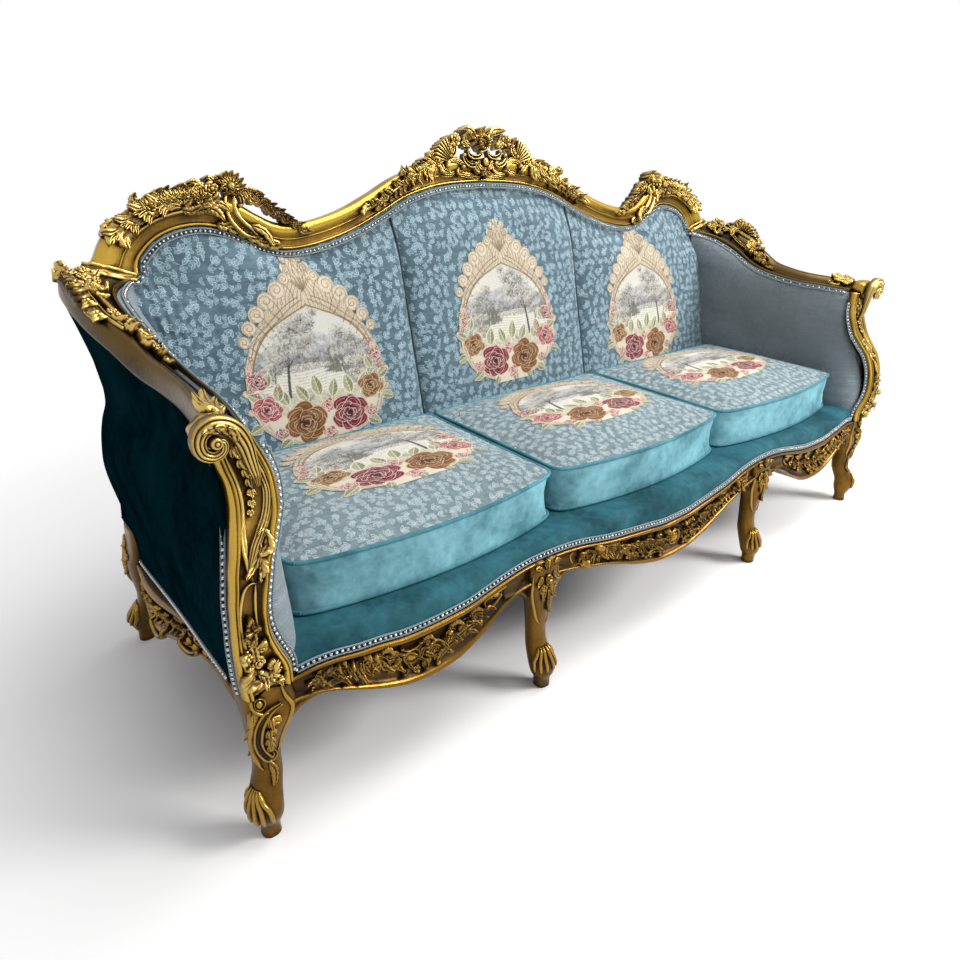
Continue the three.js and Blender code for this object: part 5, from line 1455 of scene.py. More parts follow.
for row in (((.09, 1.137), .0165, .004, .024, .4), ((.064, 1.128), .011, .008, .02, .1),
            ((.158, 1.084), .0155, .006, .024, .7), ((.182, 1.078), .013, .004, .024, .2),
            ((.17, 1.1), .011, .002, .022, .9)):
    rose(half, plane, *row)
shell(half, plane, (.106, 1.078), math.radians(8), math.radians(74), .014, .066, 7, .013, .026,
      .002, .5)
cee(half, plane, (.118, 1.096), (.104, 1.122), -1, .0055, .011, .6, lift=.004)
cee(half, plane, (.036, 1.078), (.072, 1.098), 1, .0062, .011, .9, lift=.005)
cee(half, plane, (.078, 1.07), (.13, 1.072), -1, .0068, .012, .9, kind="fluted", lift=.002)
cee(half, plane, (.012, 1.106), (.056, 1.108), 1, .006, .011, .8, lift=.004)
strip(half, plane, [(.16, 1.064), (.13, 1.056), (.09, 1.058), (.05, 1.053), (.01, 1.05)], .0085,
      .012, "fluted", lift=-.014)
cartouche.join(half).join(half, mirror=True)
turned(cartouche, plane, (0, 1.13), .0195, [(1, .006, .5), (.96, .016, 1), (.84, .02, 1),
    (.72, .017, .7), (.6, .008, .15), (.35, .004, .3), (.03, .0035, .4)], petals=14, cut=.05,
    depth=.026, lift=.004)
for turn in (-.62, 0, .62):
    leaf(cartouche, plane, (0, 1.072), np.array([math.sin(turn), -math.cos(turn)]) * .03, .0075, 0,
         4, .011, .02, .002, .9)
turned(cartouche, plane, (0, 1.082), (.0095, .012), [(1, .006, .4), (.9, .012, .9), (.5, .015, 1),
    (.03, .016, 1)], depth=.02, lift=.004)

# Leaf sprays that trail from it along the rail
crest_leaves = Heap()
spray = [(.078, .84), (.1, .8), (.125, .72), (.15, .64), (.175, .56), (.205, .5), (.236, .5)]
strip(crest_leaves, crest_land, spray, .0042, .006, lift=.001)
foliage(crest_leaves, crest_land, spray, 26, .027, .85, 4, .4, .001, .009)
foliage(crest_leaves, crest_land, [(.085, .9), (.12, .86), (.155, .74)], 9, .026, .7, 5, .5, .002,
        .01)
leaf(crest_leaves, crest_land, (.222, .5), (.258, .5), .011, .1, 5, .009, .008, .001, .9)

# The outer half of the rail between the corner and the shoulder: overlapping acanthus
for k, t0 in enumerate((.755, .795, .835, .872)):
    for j, b in enumerate((1.06, .95, .84, .72, .6, .5)):
        leaf(crest_leaves, crest_land, (t0 - .012 * (j % 2), mix(b, .72, .35)),
             (t0 + .062 - .005 * abs(j - 2), b), .0092, -.16 + .06 * j, 2, .010, .012,
             .001 + .0008 * (k % 2), .9, rows=22)
leaves(crest_leaves, crest_land, ((.862, .6, .93, .5, .02, .16, 4, .012, .012, .003, .9),
    (.876, .72, .938, .78, .0175, .12, 4, .011, .012, .002, .9),
    (.882, .88, .93, 1.02, .0145, .1, 4, .010, .012, .001, .8)))
foliage(crest_leaves, crest_land, [(.84, .98), (.79, .95), (.74, .92), (.69, .95)], 16, .026, 1.0,
        8, .5, .002, .012)
strip(crest_leaves, crest_land, [(.925, .5), (.89, .475), (.84, .455), (.79, .46), (.74, .46),
    (.69, .42), (.65, .36)], .0036, .0065, count=90, taper=(.3, .3))
rose(crest_leaves, crest_land, (.812, .8), .0175, .007, .014, .3)
roses(crest_leaves, crest_land, ((.79, 1.0, .010), (.768, .93, .0125), (.75, .72, .009),
    (.742, 1.0, .0115), (.727, .8, .0125), (.708, .98, .0115), (.7, .76, .010), (.686, 1.04, .012),
    (.833, 1.02, .009), (.776, .66, .0085)), .004, .012, 70)
leaves(crest_leaves, crest_land, ((.748, .52, .70, .62, .0115, .2),
    (.722, .5, .676, .6, .012, .15), (.70, .5, .635, .34, .0135, -.18),
    (.742, .6, .72, .98, .010, .2), (.69, .7, .655, .92, .0115, .2),
    (.672, .62, .628, .62, .0105, -.2)), 5, .009, .01, .002, .9)
# leaves along the inner bead under the strut
for k, t0 in enumerate(np.linspace(.65, .50, 6)):
    leaf(crest_leaves, crest_land, (t0, .12 + .02 * k), (t0 - .04, .36 - .04 * k), .0125, .24, 4,
         .009, .007, .0, .9)
    leaf(crest_leaves, crest_land, (t0 - .008, .2), (t0 - .045, .12 - .012 * k), .0085, -.2, 3,
         .007, .006, .0, .8)

# The shoulders: a burst of leaves on a smooth strut, and a garland that falls from it
shoulder = Heap()
for degrees, long, wide in ((176, .03, .0085), (150, .031, .009), (124, .031, .009),
                            (98, .031, .009), (72, .031, .009), (46, .031, .009), (18, .03, .0085),
                            (-14, .026, .008), (-60, .02, .008), (-120, .02, .008)):
    leaf(shoulder, plane, (.721, 1.03), toward(math.radians(degrees)) * long, wide, .12, 4, .012,
         .026, .004, 1.1)
turned(shoulder, plane, (.721, 1.03), .0085, [(1, .01, .4), (.8, .018, .9), (.03, .021, 1)],
       depth=.02, lift=.004)
for row in (((.762, 1.026), .0165, .006, .03, .2), ((.787, 1.03), .011, .003, .026, .6),
            ((.744, 1.047), .0095, .0, .024, .5)):
    rose(shoulder, plane, *row)
leaves(shoulder, plane, ((.775, 1.03, .808, 1.04, .01, .15, 5, .01, .026, -.002, .8),
    (.8, 1.02, .832, 1.034, .0095, .15, 5, .01, .024, -.002, .8),
    (.752, 1.04, .772, 1.05, .008, .15, 4, .01, .024, -.002, .8),
    (.69, .95, .65, .905, .011, -.2, 4, .009, .014, .004, .7)))
strip(shoulder, plane, [(.72, 1.022), (.7275, 1.0), (.7265, .978), (.716, .957), (.699, .94),
                        (.68, .928)], .0155, .014, "mould", 60, (.7, .35), -.004)
strip(shoulder, plane, [(.758, 1.012), (.752, .995), (.74, .985), (.728, .978)], .009, .012,
      "bead", 24, (.8, .5), -.008)
cee(shoulder, plane, (.712, 1.016), (.708, .992), 1, .005, .011, .8, lift=.003)
fall = spline([(.7, 1.026), (.684, 1.017), (.664, 1.005), (.645, .992), (.624, .975), (.602, .958),
               (.572, .943)])(np.linspace(0, 1, 8))
strip(shoulder, plane, fall, .0052, .01, count=50, lift=-.004)
foliage(shoulder, plane, fall, 24, .0225, .5, 3, .45, .001, .018, jitter=.15)
leaf(shoulder, plane, (.574, .943), (.545, .932), .009, .1, 5, .009, .018, -.002, .9)
cee(shoulder, plane, (.578, .955), (.556, .94), -1, .0042, .008, .7, lift=.0)

# The arms: blossoms and a shell that stand on the rail, then leaves that run down it
arm_leaves, arm_flowers = Heap(), Heap()
strip(arm_leaves, arm_land, [(.034, .03), (.036, .3), (.032, .6), (.026, .85), (.022, 1.0)], .012,
      .0042, "mould", lift=-.002, taper=(.9, .9))
roses(arm_leaves, arm_land, ((.19, .62, .0125), (.215, .4, .0115), (.225, .8, .0125),
    (.25, .6, .0125), (.262, .3, .0095), (.275, .86, .0115), (.29, .52, .0105), (.31, .72, .011)),
    .005, .014, 60)
leaves(arm_leaves, arm_land, ((.23, .6, .165, .46, .011, .2), (.22, .7, .17, .92, .0105, -.2),
    (.27, .4, .24, .16, .0095, .2), (.3, .6, .355, .34, .0105, .2), (.3, .8, .35, .95, .0105, -.1),
    (.31, .55, .37, .6, .010, .15), (.235, .85, .21, 1.08, .0095, .2),
    (.26, .5, .30, .2, .0085, -.2)), 5, .009, .01, .003, .9)
strip(arm_leaves, arm_land, [(.34, .5), (.39, .4), (.44, .36), (.49, .4), (.53, .42)], .0045, .007,
      "mould")
strip(arm_leaves, arm_land, [(.35, .7), (.41, .72), (.47, .76), (.53, .7)], .005, .008, "mould")
foliage(arm_leaves, arm_land, [(.46, .6), (.5, .5), (.55, .42), (.59, .34)], 14, .032, .6, 12, .4,
        .002, .01)
leaf(arm_leaves, arm_land, (.59, .3), (.64, .2), .0095, .1, 5, .008, .008, .002, .9)


def standing_at(t, k):
    """A crest that stands up from the arm rail's outer edge, k from 0 to 1 up it."""
    p = arm_land.at(t, np.full_like(t, .93))
    return p + (Z * .93 + X * .12) * k[:, None] * .04


stood_in, stood_out = Ground(standing_at, -X), Ground(standing_at, X)
shell(arm_flowers, stood_in, (.375, -.2), math.radians(28), math.radians(150), .01, .043, 8, .01,
      .014, .0, .4, 1.25)
for t0, k0, r in ((.325, .6, .0125), (.345, .86, .0115), (.37, .72, .0135), (.397, .84, .012),
                  (.42, .6, .0125), (.44, .34, .0115), (.455, .14, .0105), (.31, .3, .011),
                  (.478, .1, .0095)):
    for side, land in enumerate((stood_in, stood_out)):
        rose(arm_flowers, land, (t0, k0), r, .003, .008, t0 * 50 + side)
for root, tip in (((.33, .1), (.288, .42)), ((.43, .3), (.468, .46)), ((.36, .5), (.345, 1.0)),
                  ((.39, .5), (.41, .98)), ((.45, .0), (.497, .16))):
    for land in (stood_in, stood_out):
        leaf(arm_flowers, land, root, tip, .0095, .12, 5, .008, .006, .002, .8)
# the shell at the rail's end, behind the volute
for way, long in ((-2.35, .026), (-2.75, .031), (3.14, .033), (2.75, .031), (2.35, .026)):
    leaf(arm_leaves, arm_land, (.962, .62), toward(way) * long, .0085, 0, 4, .008, .01, .002, .8)
cee(arm_leaves, arm_land, (.86, .4), (.9, .3), 1, .0045, .007, .6)

# The posts
post_scrolls, post_flowers = Heap(), Heap()
for z0, b0, size in ((.697, .52, .022), (.677, .5, .02), (.661, .51, .018), (.646, .52, .0165),
                     (.630, .54, .015), (.615, .57, .0135), (.602, .6, .012)):
    husk(post_scrolls, post_land, (z0, b0), PI, size, .001, .0065)
strip(post_scrolls, post_land, [(.712, .24), (.69, .2), (.655, .2), (.62, .22), (.59, .27),
    (.566, .36), (.546, .46), (.525, .5), (.508, .44)], .0075, .009, "fluted", 90, (.7, .25))
strip(post_scrolls, post_land, [(.70, .8), (.66, .78), (.62, .76), (.585, .74), (.55, .66),
    (.525, .58)], .0045, .007, "bead", 60, (.3, .3))
strip(post_scrolls, post_land, [(.615, .8), (.585, .8), (.555, .74), (.535, .62), (.52, .56)],
      .0045, .008, "bead", 50, (.3, .3))
strip(post_scrolls, post_land, [(.504, .34), (.506, .48), (.502, .62), (.49, .72), (.468, .78),
    (.44, .8), (.41, .8), (.38, .76), (.355, .66), (.336, .5), (.328, .34)], .0046, .009, "bead",
    110, (.3, .35))
strip(post_scrolls, post_land, [(.503, .36), (.48, .34), (.455, .33), (.43, .32)], .003, .005,
      "bead", 30, (.5, .2))
leaves(post_scrolls, post_land, ((.56, .4, .515, .66, .0085), (.55, .36, .505, .3, .008),
    (.575, .3, .535, .2, .007), (.6, .26, .565, .46, .0065)), .15, 5, .008, .007, .001, .8)
leaves(post_flowers, post_land, ((.415, .52, .462, .56, .0105, 0), (.41, .5, .445, .34, .009, .2),
    (.41, .6, .44, .82, .009, -.2), (.4, .42, .415, .16, .0085, .1),
    (.385, .6, .43, .54, .0105, .0), (.375, .7, .335, .78, .0095, -.3),
    (.36, .66, .325, .6, .0095, .2), (.352, .4, .33, .16, .009, -.3),
    (.362, .42, .362, .14, .0085, .3), (.34, .5, .322, .3, .008, .2)), 5, .011, .009, .005, .9)
roses(post_flowers, post_land, ((.4, .86, .0115), (.382, .56, .012), (.404, .36, .008),
    (.376, .78, .0095), (.362, .34, .0085), (.347, .58, .0095), (.338, .36, .008),
    (.425, .62, .0075)), .008, .012, 90)
cee(post_flowers, post_land, (.35, .2), (.334, .42), 1, .0042, .009, .7, lift=.005)

# The volute: the post's inner moulding rolls over its top and winds in to an eye
VOLUTE = np.array([VOLUTE_X + .004, 0, VOLUTE_Z])
crook = spline([(-.05, -.088), (-.0455, -.064), (-.041, -.04), (-.036, -.015), (-.026, .006),
                (-.011, .0195), (.008, .0235), (.0235, .0165), (.03, .001), (.0255, -.0145),
                (.0125, -.0205), (0, -.015), (-.002, -.0035), (.0065, -.0005)])
k = np.linspace(0, 1, 150)
path = even(crook(k), 150)
path = VOLUTE + np.stack([path[:, 0], np.interp(k, (0, .1, .3, .55, .8, 1),
        (.034, .027, .026, .024, .021, .017)), path[:, 1]], -1)
half = np.interp(k, (0, .12, .25, .42, .6, .8, 1), (.003, .008, .0105, .0135, .0125, .0095, .006))
sweep(path, -Y, half, half * .95, FLUTED, FLUTED_TONE, heap=post_scrolls)
front = Ground(lambda a, b: np.stack([VOLUTE[0] + a, np.full_like(a, .024), VOLUTE[2] + b], -1),
               -Y, FINE)
turned(post_scrolls, front, (.0075, -.001), .0105, [(1, .006, .4), (.8, .013, .9), (.55, .0155, 1),
    (.35, .0135, .2), (.2, .017, .9), (.03, .018, 1)], depth=.0)
for root, step, wide in (((-.012, .006), (.02, .018), .008), ((.0, .012), (.026, .006), .0075),
                         ((-.02, -.006), (.01, .026), .0075)):
    leaf(post_scrolls, front, root, np.array(step), wide, .2, 3, .007, .004, .007, .6)


# The legs
corner_leaves = Heap()


def dress_corner(heap, land, flip=1.0):
    """The carving of a corner leg; places are shares of its height and angles round it."""
    def go(*places):
        return [(s, flip * a) for s, a in places]
    cabochon(heap, land, go((.935, -1.3))[0], .0125, .0085, rise=.007)
    strip(heap, land, go((.985, -1.05), (.93, -.98), (.88, -1.2), (.862, -1.5)), .0036, .006,
          taper=(.4, .4))
    strip(heap, land, go((.885, -1.62), (.84, -1.32), (.77, -1.0), (.70, -.88), (.63, -.96),
        (.57, -1.2), (.535, -1.5), (.56, -1.72), (.59, -1.62)), .0082, .009, "mould", 80, (.4, .4))
    strip(heap, land, go((.90, -1.1), (.86, -.8), (.78, -.55), (.68, -.42), (.58, -.5), (.5, -.72),
        (.46, -1.0)), .0065, .0075, "bead", 60, (.3, .2))
    for s, a, size in ((.83, -1.5, .02), (.765, -1.4, .018), (.705, -1.42, .017),
                       (.65, -1.5, .015)):
        husk(heap, land, go((s, a))[0], PI, size, .001, .006)
    rose(heap, land, go((.612, -1.5))[0], .0085, .002, .006)
    for root, tip, wide in (((.90, -.9), (.80, -.5), .010), ((.82, -.62), (.70, -.2), .009),
                            ((.72, -.4), (.58, -.3), .008), ((.50, -1.45), (.36, -1.55), .007)):
        ends = go(root, tip)
        leaf(heap, land, ends[0], ends[1], wide, .1, 6, .007, .006, .0, .6)
    strip(heap, land, go((.99, -1.72), (.92, -1.78), (.84, -2.0), (.74, -2.2), (.62, -2.2),
        (.54, -1.9)), .0045, .0045, "bead", 70, (.5, .3), -.0008)
    for end in (.8, .35, -.1, -.55, -1.0, -1.45):
        swing = end + .3
        strip(heap, land, go((.345, -.3 + .35 * swing), (.29, -.3 + .65 * swing), (.23, end),
            (.16, end + .08 * swing)), .0054, .0085, "bead", 30, (.35, .7), -.002)


dress_corner(corner_leaves, corner_land)
dress_corner(corner_leaves, rear_land, -1.0)
middle_leaves = Heap()
shell(middle_leaves, middle_land, (.93, -1.571), math.radians(-62), math.radians(62), .004, .026,
      7, .007, .006)
for row in (((.86, -1.571), .013, .002, .006), ((.80, -1.35), .0095, .001, .006),
            ((.80, -1.8), .0095, .001, .006)):
    rose(middle_leaves, middle_land, *row)
leaf(middle_leaves, middle_land, (.79, -1.571), (.62, -1.571), .0125, 0, 6, .008, .006, .001, .7)
for flip in (-1, 1):
    def place(s, a):
        return s, -PI / 2 + flip * a
    leaf(middle_leaves, middle_land, place(.84, .1), place(.72, .45), .0095, .15 * flip, 5, .007,
         .006, .0, .7)
    leaf(middle_leaves, middle_land, place(.9, .15), place(.84, .62), .0085, .1 * flip, 4, .007,
         .006, .0, .7)
    leaf(middle_leaves, middle_land, place(.95, .2), place(.97, .7), .008, -.1 * flip, 4, .007,
         .006, .0, .7)
    strip(middle_leaves, middle_land, [place(.93, .8), place(.84, .95), place(.74, 1.1),
        place(.62, 1.0), place(.54, .7), place(.5, .3)], .004, .0045, "bead", 60, (.3, .3), -.0008)
for a in (-1.2, -.72, -.24, .24, .72, 1.2):
    strip(middle_leaves, middle_land, [(.32, -PI / 2 + a * .45), (.27, -PI / 2 + a * .7),
        (.22, -PI / 2 + a), (.16, -PI / 2 + a * 1.1)], .0050, .0085, "bead", 30, (.35, .7), -.002)

# Webs of wood that carry the aprons' lower rims round into the legs
webs = Heap()


def web(heap, start, end, leg_face, top, deep=.03):
    """Fills the corner under an apron, from its rim at start to the leg's edge at end."""
    (x0, z0), (x1, z1) = start, end
    k = np.linspace(0, 1, 26)
    x = mix(x0, x1, k)
    low = mix(z0, z1, k ** 2.6)
    share = np.array([0, .04, .09, .16, .3, .6, 1])
    out = np.array([.4, -.9, -1.1, -.3, .2, .5, .6]) * .0045
    z = mix(low[:, None], top, share[None])
    apron_y = apron_face(np.abs(x))[:, 0][:, None] + 0 * z
    leg_y = leg_face(x[:, None] + 0 * z, z)
    y = mix(apron_y + out, np.minimum(leg_y, apron_y) + .009, smooth(k, .25, .95)[:, None])
    face = np.stack([x[:, None] + 0 * z, y, z], -1)
    rear = face[:, ::-1][:, [0, -1]] + [0, deep, 0]
    loft(np.concatenate([face, rear], 1), np.array([.3, .9, 1, .3, .3, .4, .4, .2, .2])[None],
         heap=heap)


def leg_front(table, tall, width, foot):
    line = through(sorted(table))

    def at(x, z):
        out, back, half_x, half_y = (q.reshape(z.shape) for q in line((z / tall).ravel()).T)
        s = np.clip(np.abs((x - foot[0]) / width - out) / half_x, 0, 1)
        return foot[1] + (back - half_y * (1 - s ** 3.4) ** (1 / 3.4)) * width
    return at


web(webs, (.905, .2595), (1.034, .186), leg_front(*CORNER), FRONT_LEG_TOP)
for start, end in (((.318, .2745), (.415, .202)), ((.545, .2725), (.446, .202))):
    web(webs, start, end, leg_front(*MIDDLE), TALL * .27)

# The aprons
apron_leaves, middle_apron_leaves, side_apron_leaves = Heap(), Heap(), Heap()
leaves(apron_leaves, apron_land, ((.945, .4, .978, .5, .0095), (.94, .36, .962, .2, .008),
    (.95, .55, .972, .72, .007), (.93, .4, .948, .3, .007), (.88, .3, .905, .22, .0085),
    (.845, .26, .815, .16, .008), (.835, .45, .862, .52, .0085), (.80, .3, .83, .22, .010),
    (.80, .5, .832, .6, .0105), (.79, .66, .80, .84, .0095), (.75, .3, .728, .2, .010),
    (.75, .62, .752, .86, .0105), (.74, .5, .708, .42, .010), (.72, .7, .688, .72, .0095),
    (.69, .3, .66, .2, .009), (.64, .32, .612, .2, .0085), (.60, .5, .575, .62, .0075),
    (.66, .62, .625, .74, .0085)), .2, 5, .011, .005, .001, .7)
foliage(apron_leaves, apron_land, [(.955, .45), (.9, .42), (.85, .4), (.79, .5), (.73, .5),
    (.67, .45), (.6, .45)], 40, .026, .9, 21, .25, -.001, .005, aside=.35)
roses(apron_leaves, apron_land, ((.8836, .35, .010), (.862, .3, .0105), (.842, .3, .0105),
    (.853, .42, .0085), (.822, .36, .0085), (.745, .34, .0125), (.728, .52, .0115),
    (.716, .72, .0105), (.742, .7, .0105), (.7, .56, .0095), (.648, .36, .0095), (.632, .3, .0085),
    (.618, .36, .008), (.765, .78, .009)), .002, .005, 60)
cabochon(apron_leaves, apron_land, (.776, .46), .019, .016, rise=.010)
cabochon(apron_leaves, apron_land, (.687, .36), .0125, .009, rise=.009)
cabochon(apron_leaves, apron_land, (.566, .32), .017, .0075, -.35, rise=.008)
cee(apron_leaves, apron_land, (.928, .42), (.905, .62), -1, .0045, .009, 1)
cee(apron_leaves, apron_land, (.9, .62), (.828, .6), -1, .006, .010, .8)
cee(apron_leaves, apron_land, (.72, .84), (.612, .62), -1, .006, .010, .5)
cee(apron_leaves, apron_land, (.796, .24), (.756, .24), 1, .0045, .009, .8)
strip(apron_leaves, apron_land, [(.545, .12), (.585, .16), (.596, .4), (.572, .6), (.55, .5)],
      .0034, .007, "bead", 30)
middle_half = Heap()
leaves(middle_half, apron_land, ((.285, .5, .335, .52, .0125), (.3, .42, .33, .24, .009),
    (.3, .58, .325, .8, .009), (.27, .45, .29, .2, .0095), (.235, .4, .262, .3, .0095),
    (.165, .5, .2, .36, .010), (.15, .6, .185, .76, .010), (.13, .36, .155, .2, .010),
    (.09, .4, .118, .28, .010), (.075, .62, .11, .74, .0105), (.05, .34, .07, .16, .010),
    (.05, .66, .065, .86, .010), (.03, .3, .032, .12, .0085), (.2, .6, .228, .72, .008)), .2, 5,
    .011, .005, .001, .7)
foliage(middle_half, apron_land, [(.33, .5), (.26, .48), (.2, .5), (.14, .5), (.08, .5),
    (.03, .5)], 34, .026, .9, 23, .25, -.001, .005, aside=.35)
roses(middle_half, apron_land, ((.215, .42, .010), (.195, .36, .009), (.14, .42, .0115),
    (.118, .5, .0105), (.13, .62, .009), (.072, .46, .012), (.052, .52, .010), (.095, .3, .009),
    (.088, .78, .009)), .002, .005, 60)
cee(middle_half, apron_land, (.27, .62), (.2, .52), -1, .0055, .010, .9)
cee(middle_half, apron_land, (.2, .76), (.12, .8), -1, .006, .010, .7)
cee(middle_half, apron_land, (.11, .84), (.04, .82), -1, .0055, .010, .7)
strip(middle_half, apron_land, [(.345, .2), (.352, .4), (.35, .6), (.342, .82)], .0036, .007,
      "bead", 30)
middle_apron_leaves.join(middle_half).join(middle_half, mirror=True)
cabochon(middle_apron_leaves, apron_land, (0, .5), .022, .021, rise=.011)
for way in np.linspace(0, 2 * PI, 9)[:-1]:
    leaf(middle_apron_leaves, apron_land, (math.cos(way) * .022, .5 + math.sin(way) * .23),
         toward(-way) * .016, .0065, 0, 4, .009, .005, .001, .8)
leaves(side_apron_leaves, side_land, ((.36, .4, .30, .3, .012), (.36, .56, .31, .7, .012),
    (.42, .42, .47, .28, .012), (.42, .56, .47, .72, .012), (.3, .5, .24, .5, .011),
    (.48, .5, .54, .5, .011), (.56, .45, .6, .3, .010), (.2, .45, .15, .3, .010),
    (.2, .55, .16, .72, .009)), .15, 5, .010, .005, .001, .7)
foliage(side_apron_leaves, side_land, [(.6, .45), (.5, .5), (.4, .5), (.3, .5), (.18, .5)], 24,
        .028, .9, 25, .3, -.001, .005, aside=.35)
roses(side_apron_leaves, side_land, ((.37, .45, .012), (.41, .5, .0125), (.39, .7, .010),
    (.28, .5, .010), (.5, .5, .010), (.22, .5, .009), (.56, .56, .0095)), .002, .005, 60)
cee(side_apron_leaves, side_land, (.34, .74), (.24, .64), 1, .0055, .009, .8)
cee(side_apron_leaves, side_land, (.44, .76), (.54, .72), -1, .0055, .009, .8)


# ---- Woven medallions: an invented lake view in a scrolled frame, with roses, sewn on the cloth

class Canvas:
    """Colours on a fine grid of points, in millimetres from the middle, and where cloth is."""

    def __init__(self, wide=340, tall=410, step=1.35, seed=1):
        u = np.arange(-wide / 2, wide / 2 + step, step)
        v = np.arange(-tall / 2, tall / 2 + step, step)
        self.u, self.v = np.meshgrid(u, v)
        self.step, self.low = step, (-wide / 2, -tall / 2)
        self.colour = np.full(self.u.shape + (3,), .7)
        self.cover = np.zeros(self.u.shape, bool)
        self.rng = np.random.default_rng(seed)
        self.grain = self.rng.uniform(0, 1, self.u.shape)

    def window(self, low, high):
        """The part of the grid between two places, a little wider."""
        ends = [[int(np.clip((p[k] - self.low[k]) / self.step + more, 0, self.u.shape[1 - k]))
                 for p, more in ((low, -1), (high, 2))] for k in (1, 0)]
        return slice(*ends[0]), slice(*ends[1])

    def put(self, part, share, colour, cover=False):
        share = np.clip(np.asarray(share, float), 0, 1)[..., None]
        self.colour[part] += (np.asarray(colour) - self.colour[part]) * share
        if cover:
            self.cover[part] |= share[..., 0] > .5

    def line(self, points, width, colour, cover=False, taper=1.0, smoothed=True):
        p = np.array(points, float)
        if smoothed and len(p) > 2:
            p = spline(p)(np.linspace(0, 1, max(8, len(p) * 7)))
        part = self.window(p.min(0) - width, p.max(0) + width)
        u, v = self.u[part], self.v[part]
        near = np.full(u.shape, 1e9)
        for k, (a, b) in enumerate(zip(p, p[1:])):
            d = b - a
            t = np.clip(((u - a[0]) * d[0] + (v - a[1]) * d[1]) / max(d @ d, 1e-9), 0, 1)
            thick = mix(1, taper, (k + .5) / len(p))
            near = np.minimum(near, np.hypot(u - a[0] - t * d[0], v - a[1] - t * d[1]) / thick)
        self.put(part, (width / 2 - near) / self.step * 1.2 + .5, colour, cover)

    def both(self, points, *rest, **more):
        self.line(points, *rest, **more)
        self.line([(-x, y) for x, y in points], *rest, **more)

    def disc(self, at, size, colour, share=1.0, cover=False, rough=0.0):
        rx, ry = size if isinstance(size, tuple) else (size, size)
        part = self.window(np.array(at) - (rx * 1.3, ry * 1.3),
                           np.array(at) + (rx * 1.3, ry * 1.3))
        x, y = (self.u[part] - at[0]) / rx, (self.v[part] - at[1]) / ry
        d = np.hypot(x, y)
        if rough:
            wave = ripple(self.u[part], self.v[part], rx * .7, int(abs(at[0])) + 3)
            d = d + rough * (self.grain[part] - .5) + rough * .5 * wave
        self.put(part, np.clip((1 - d) * min(rx, ry) / self.step + .5, 0, 1) * share, colour,
                 cover)

    def leaflet(self, at, long, wide, angle, tone=1.0):
        tip = np.array(at) + long * toward(angle)
        part = self.window(np.minimum(at, tip) - wide, np.maximum(at, tip) + wide)
        x, y = self.u[part] - at[0], self.v[part] - at[1]
        s = (x * math.cos(angle) + y * math.sin(angle)) / long
        w = (-x * math.sin(angle) + y * math.cos(angle)) / wide
        room = np.where((s > 0) & (s < 1), np.sin(PI * np.clip(s, 0, 1) ** .8) ** .8, 0)
        inside = room - np.abs(w)
        self.put(part, (inside + .12) * wide / self.step, (.78, .75, .58), True)
        body = np.where(w > 0, .0, 1.0)[..., None]
        shade = mix(np.array([.36, .36, .22]), np.array([.2, .22, .13]), body) * tone
        self.put(part, (inside - .1) * wide / self.step, shade)
        self.put(part, ((inside > .02) & (np.abs(w) < .07)) * 1.0, (.72, .7, .52))
        self.put(part, ((inside > .12) & (np.abs((s * 5 - np.abs(w) * 1.4) % 1 - .5) < .1)) * .6,
                 (.62, .61, .44))

    def rose(self, at, r, dark, mid, light, turn=0.0, squash=.88):
        """Petals laid from the outside in, each with a pale edge."""
        dark, mid, light = map(np.array, (dark, mid, light))
        rings = (6, .6, .46), (5, .42, .42), (5, .27, .33), (3, .14, .25), (2, .06, .17)
        for ring, (n, out, size) in enumerate(rings):
            for k in range(n):
                a = turn + ring * .75 + 2 * PI * (k + .25 * math.sin(k * 2.3 + turn)) / n
                x0, y0 = at[0] + math.cos(a) * r * out, at[1] + math.sin(a) * r * out * squash
                pr = r * size * (1 + .12 * math.sin(k * 4.1 + ring + turn))
                part = self.window((x0 - pr * 1.3, y0 - pr * 1.3), (x0 + pr * 1.3, y0 + pr * 1.3))
                x, y = (self.u[part] - x0) / pr, (self.v[part] - y0) / (pr * squash)
                away = x * math.cos(a) + y * math.sin(a)
                d = np.hypot(x, y) + .07 * np.sin(3 * np.arctan2(y, x) + k + turn)
                lit = smooth(away, -.75, .8)[..., None]
                self.put(part, (1 - d) * pr / self.step + .5,
                         mix(dark, mid * (1.1 - .12 * ring), lit), True)
                edge = 1.5 / pr
                self.put(part, ((d < 1) & (d > 1 - edge) & (away > -.1)) * 1.0, light)
                self.put(part, ((np.abs(d - .66) < edge * .35) & (away > .25)) * .5, light)


# The whole canvas; thread colours, and the three shades of each rose; then half widths, by
# height, of the border and of the opening in it
ALL = (slice(None), slice(None))
CREAM, SAND, FAWN = (.70, .61, .47), (.44, .36, .24), (.2, .15, .09)
CRIMSON = (.035, .002, .008), (.2, .009, .033), (.74, .58, .50)
PINK = (.1, .008, .018), (.38, .05, .075), (.80, .62, .54)
BRONZE = (.05, .014, .004), (.205, .075, .02), (.62, .45, .28)
EDGE = ((-200, -192, -178, -150, -110, -60, -30, -5, 20, 45, 70, 95, 118, 135, 150, 168, 184, 196),
        (40, 74, 106, 136, 154, 158, 155, 148, 138, 124, 106, 88, 66, 42, 32, 24, 13, 2))
OPEN = ((-190, -150, -100, -60, -30, 0, 25, 48, 66, 82, 94),
        (60, 116, 142, 144, 138, 127, 112, 90, 64, 30, 0))


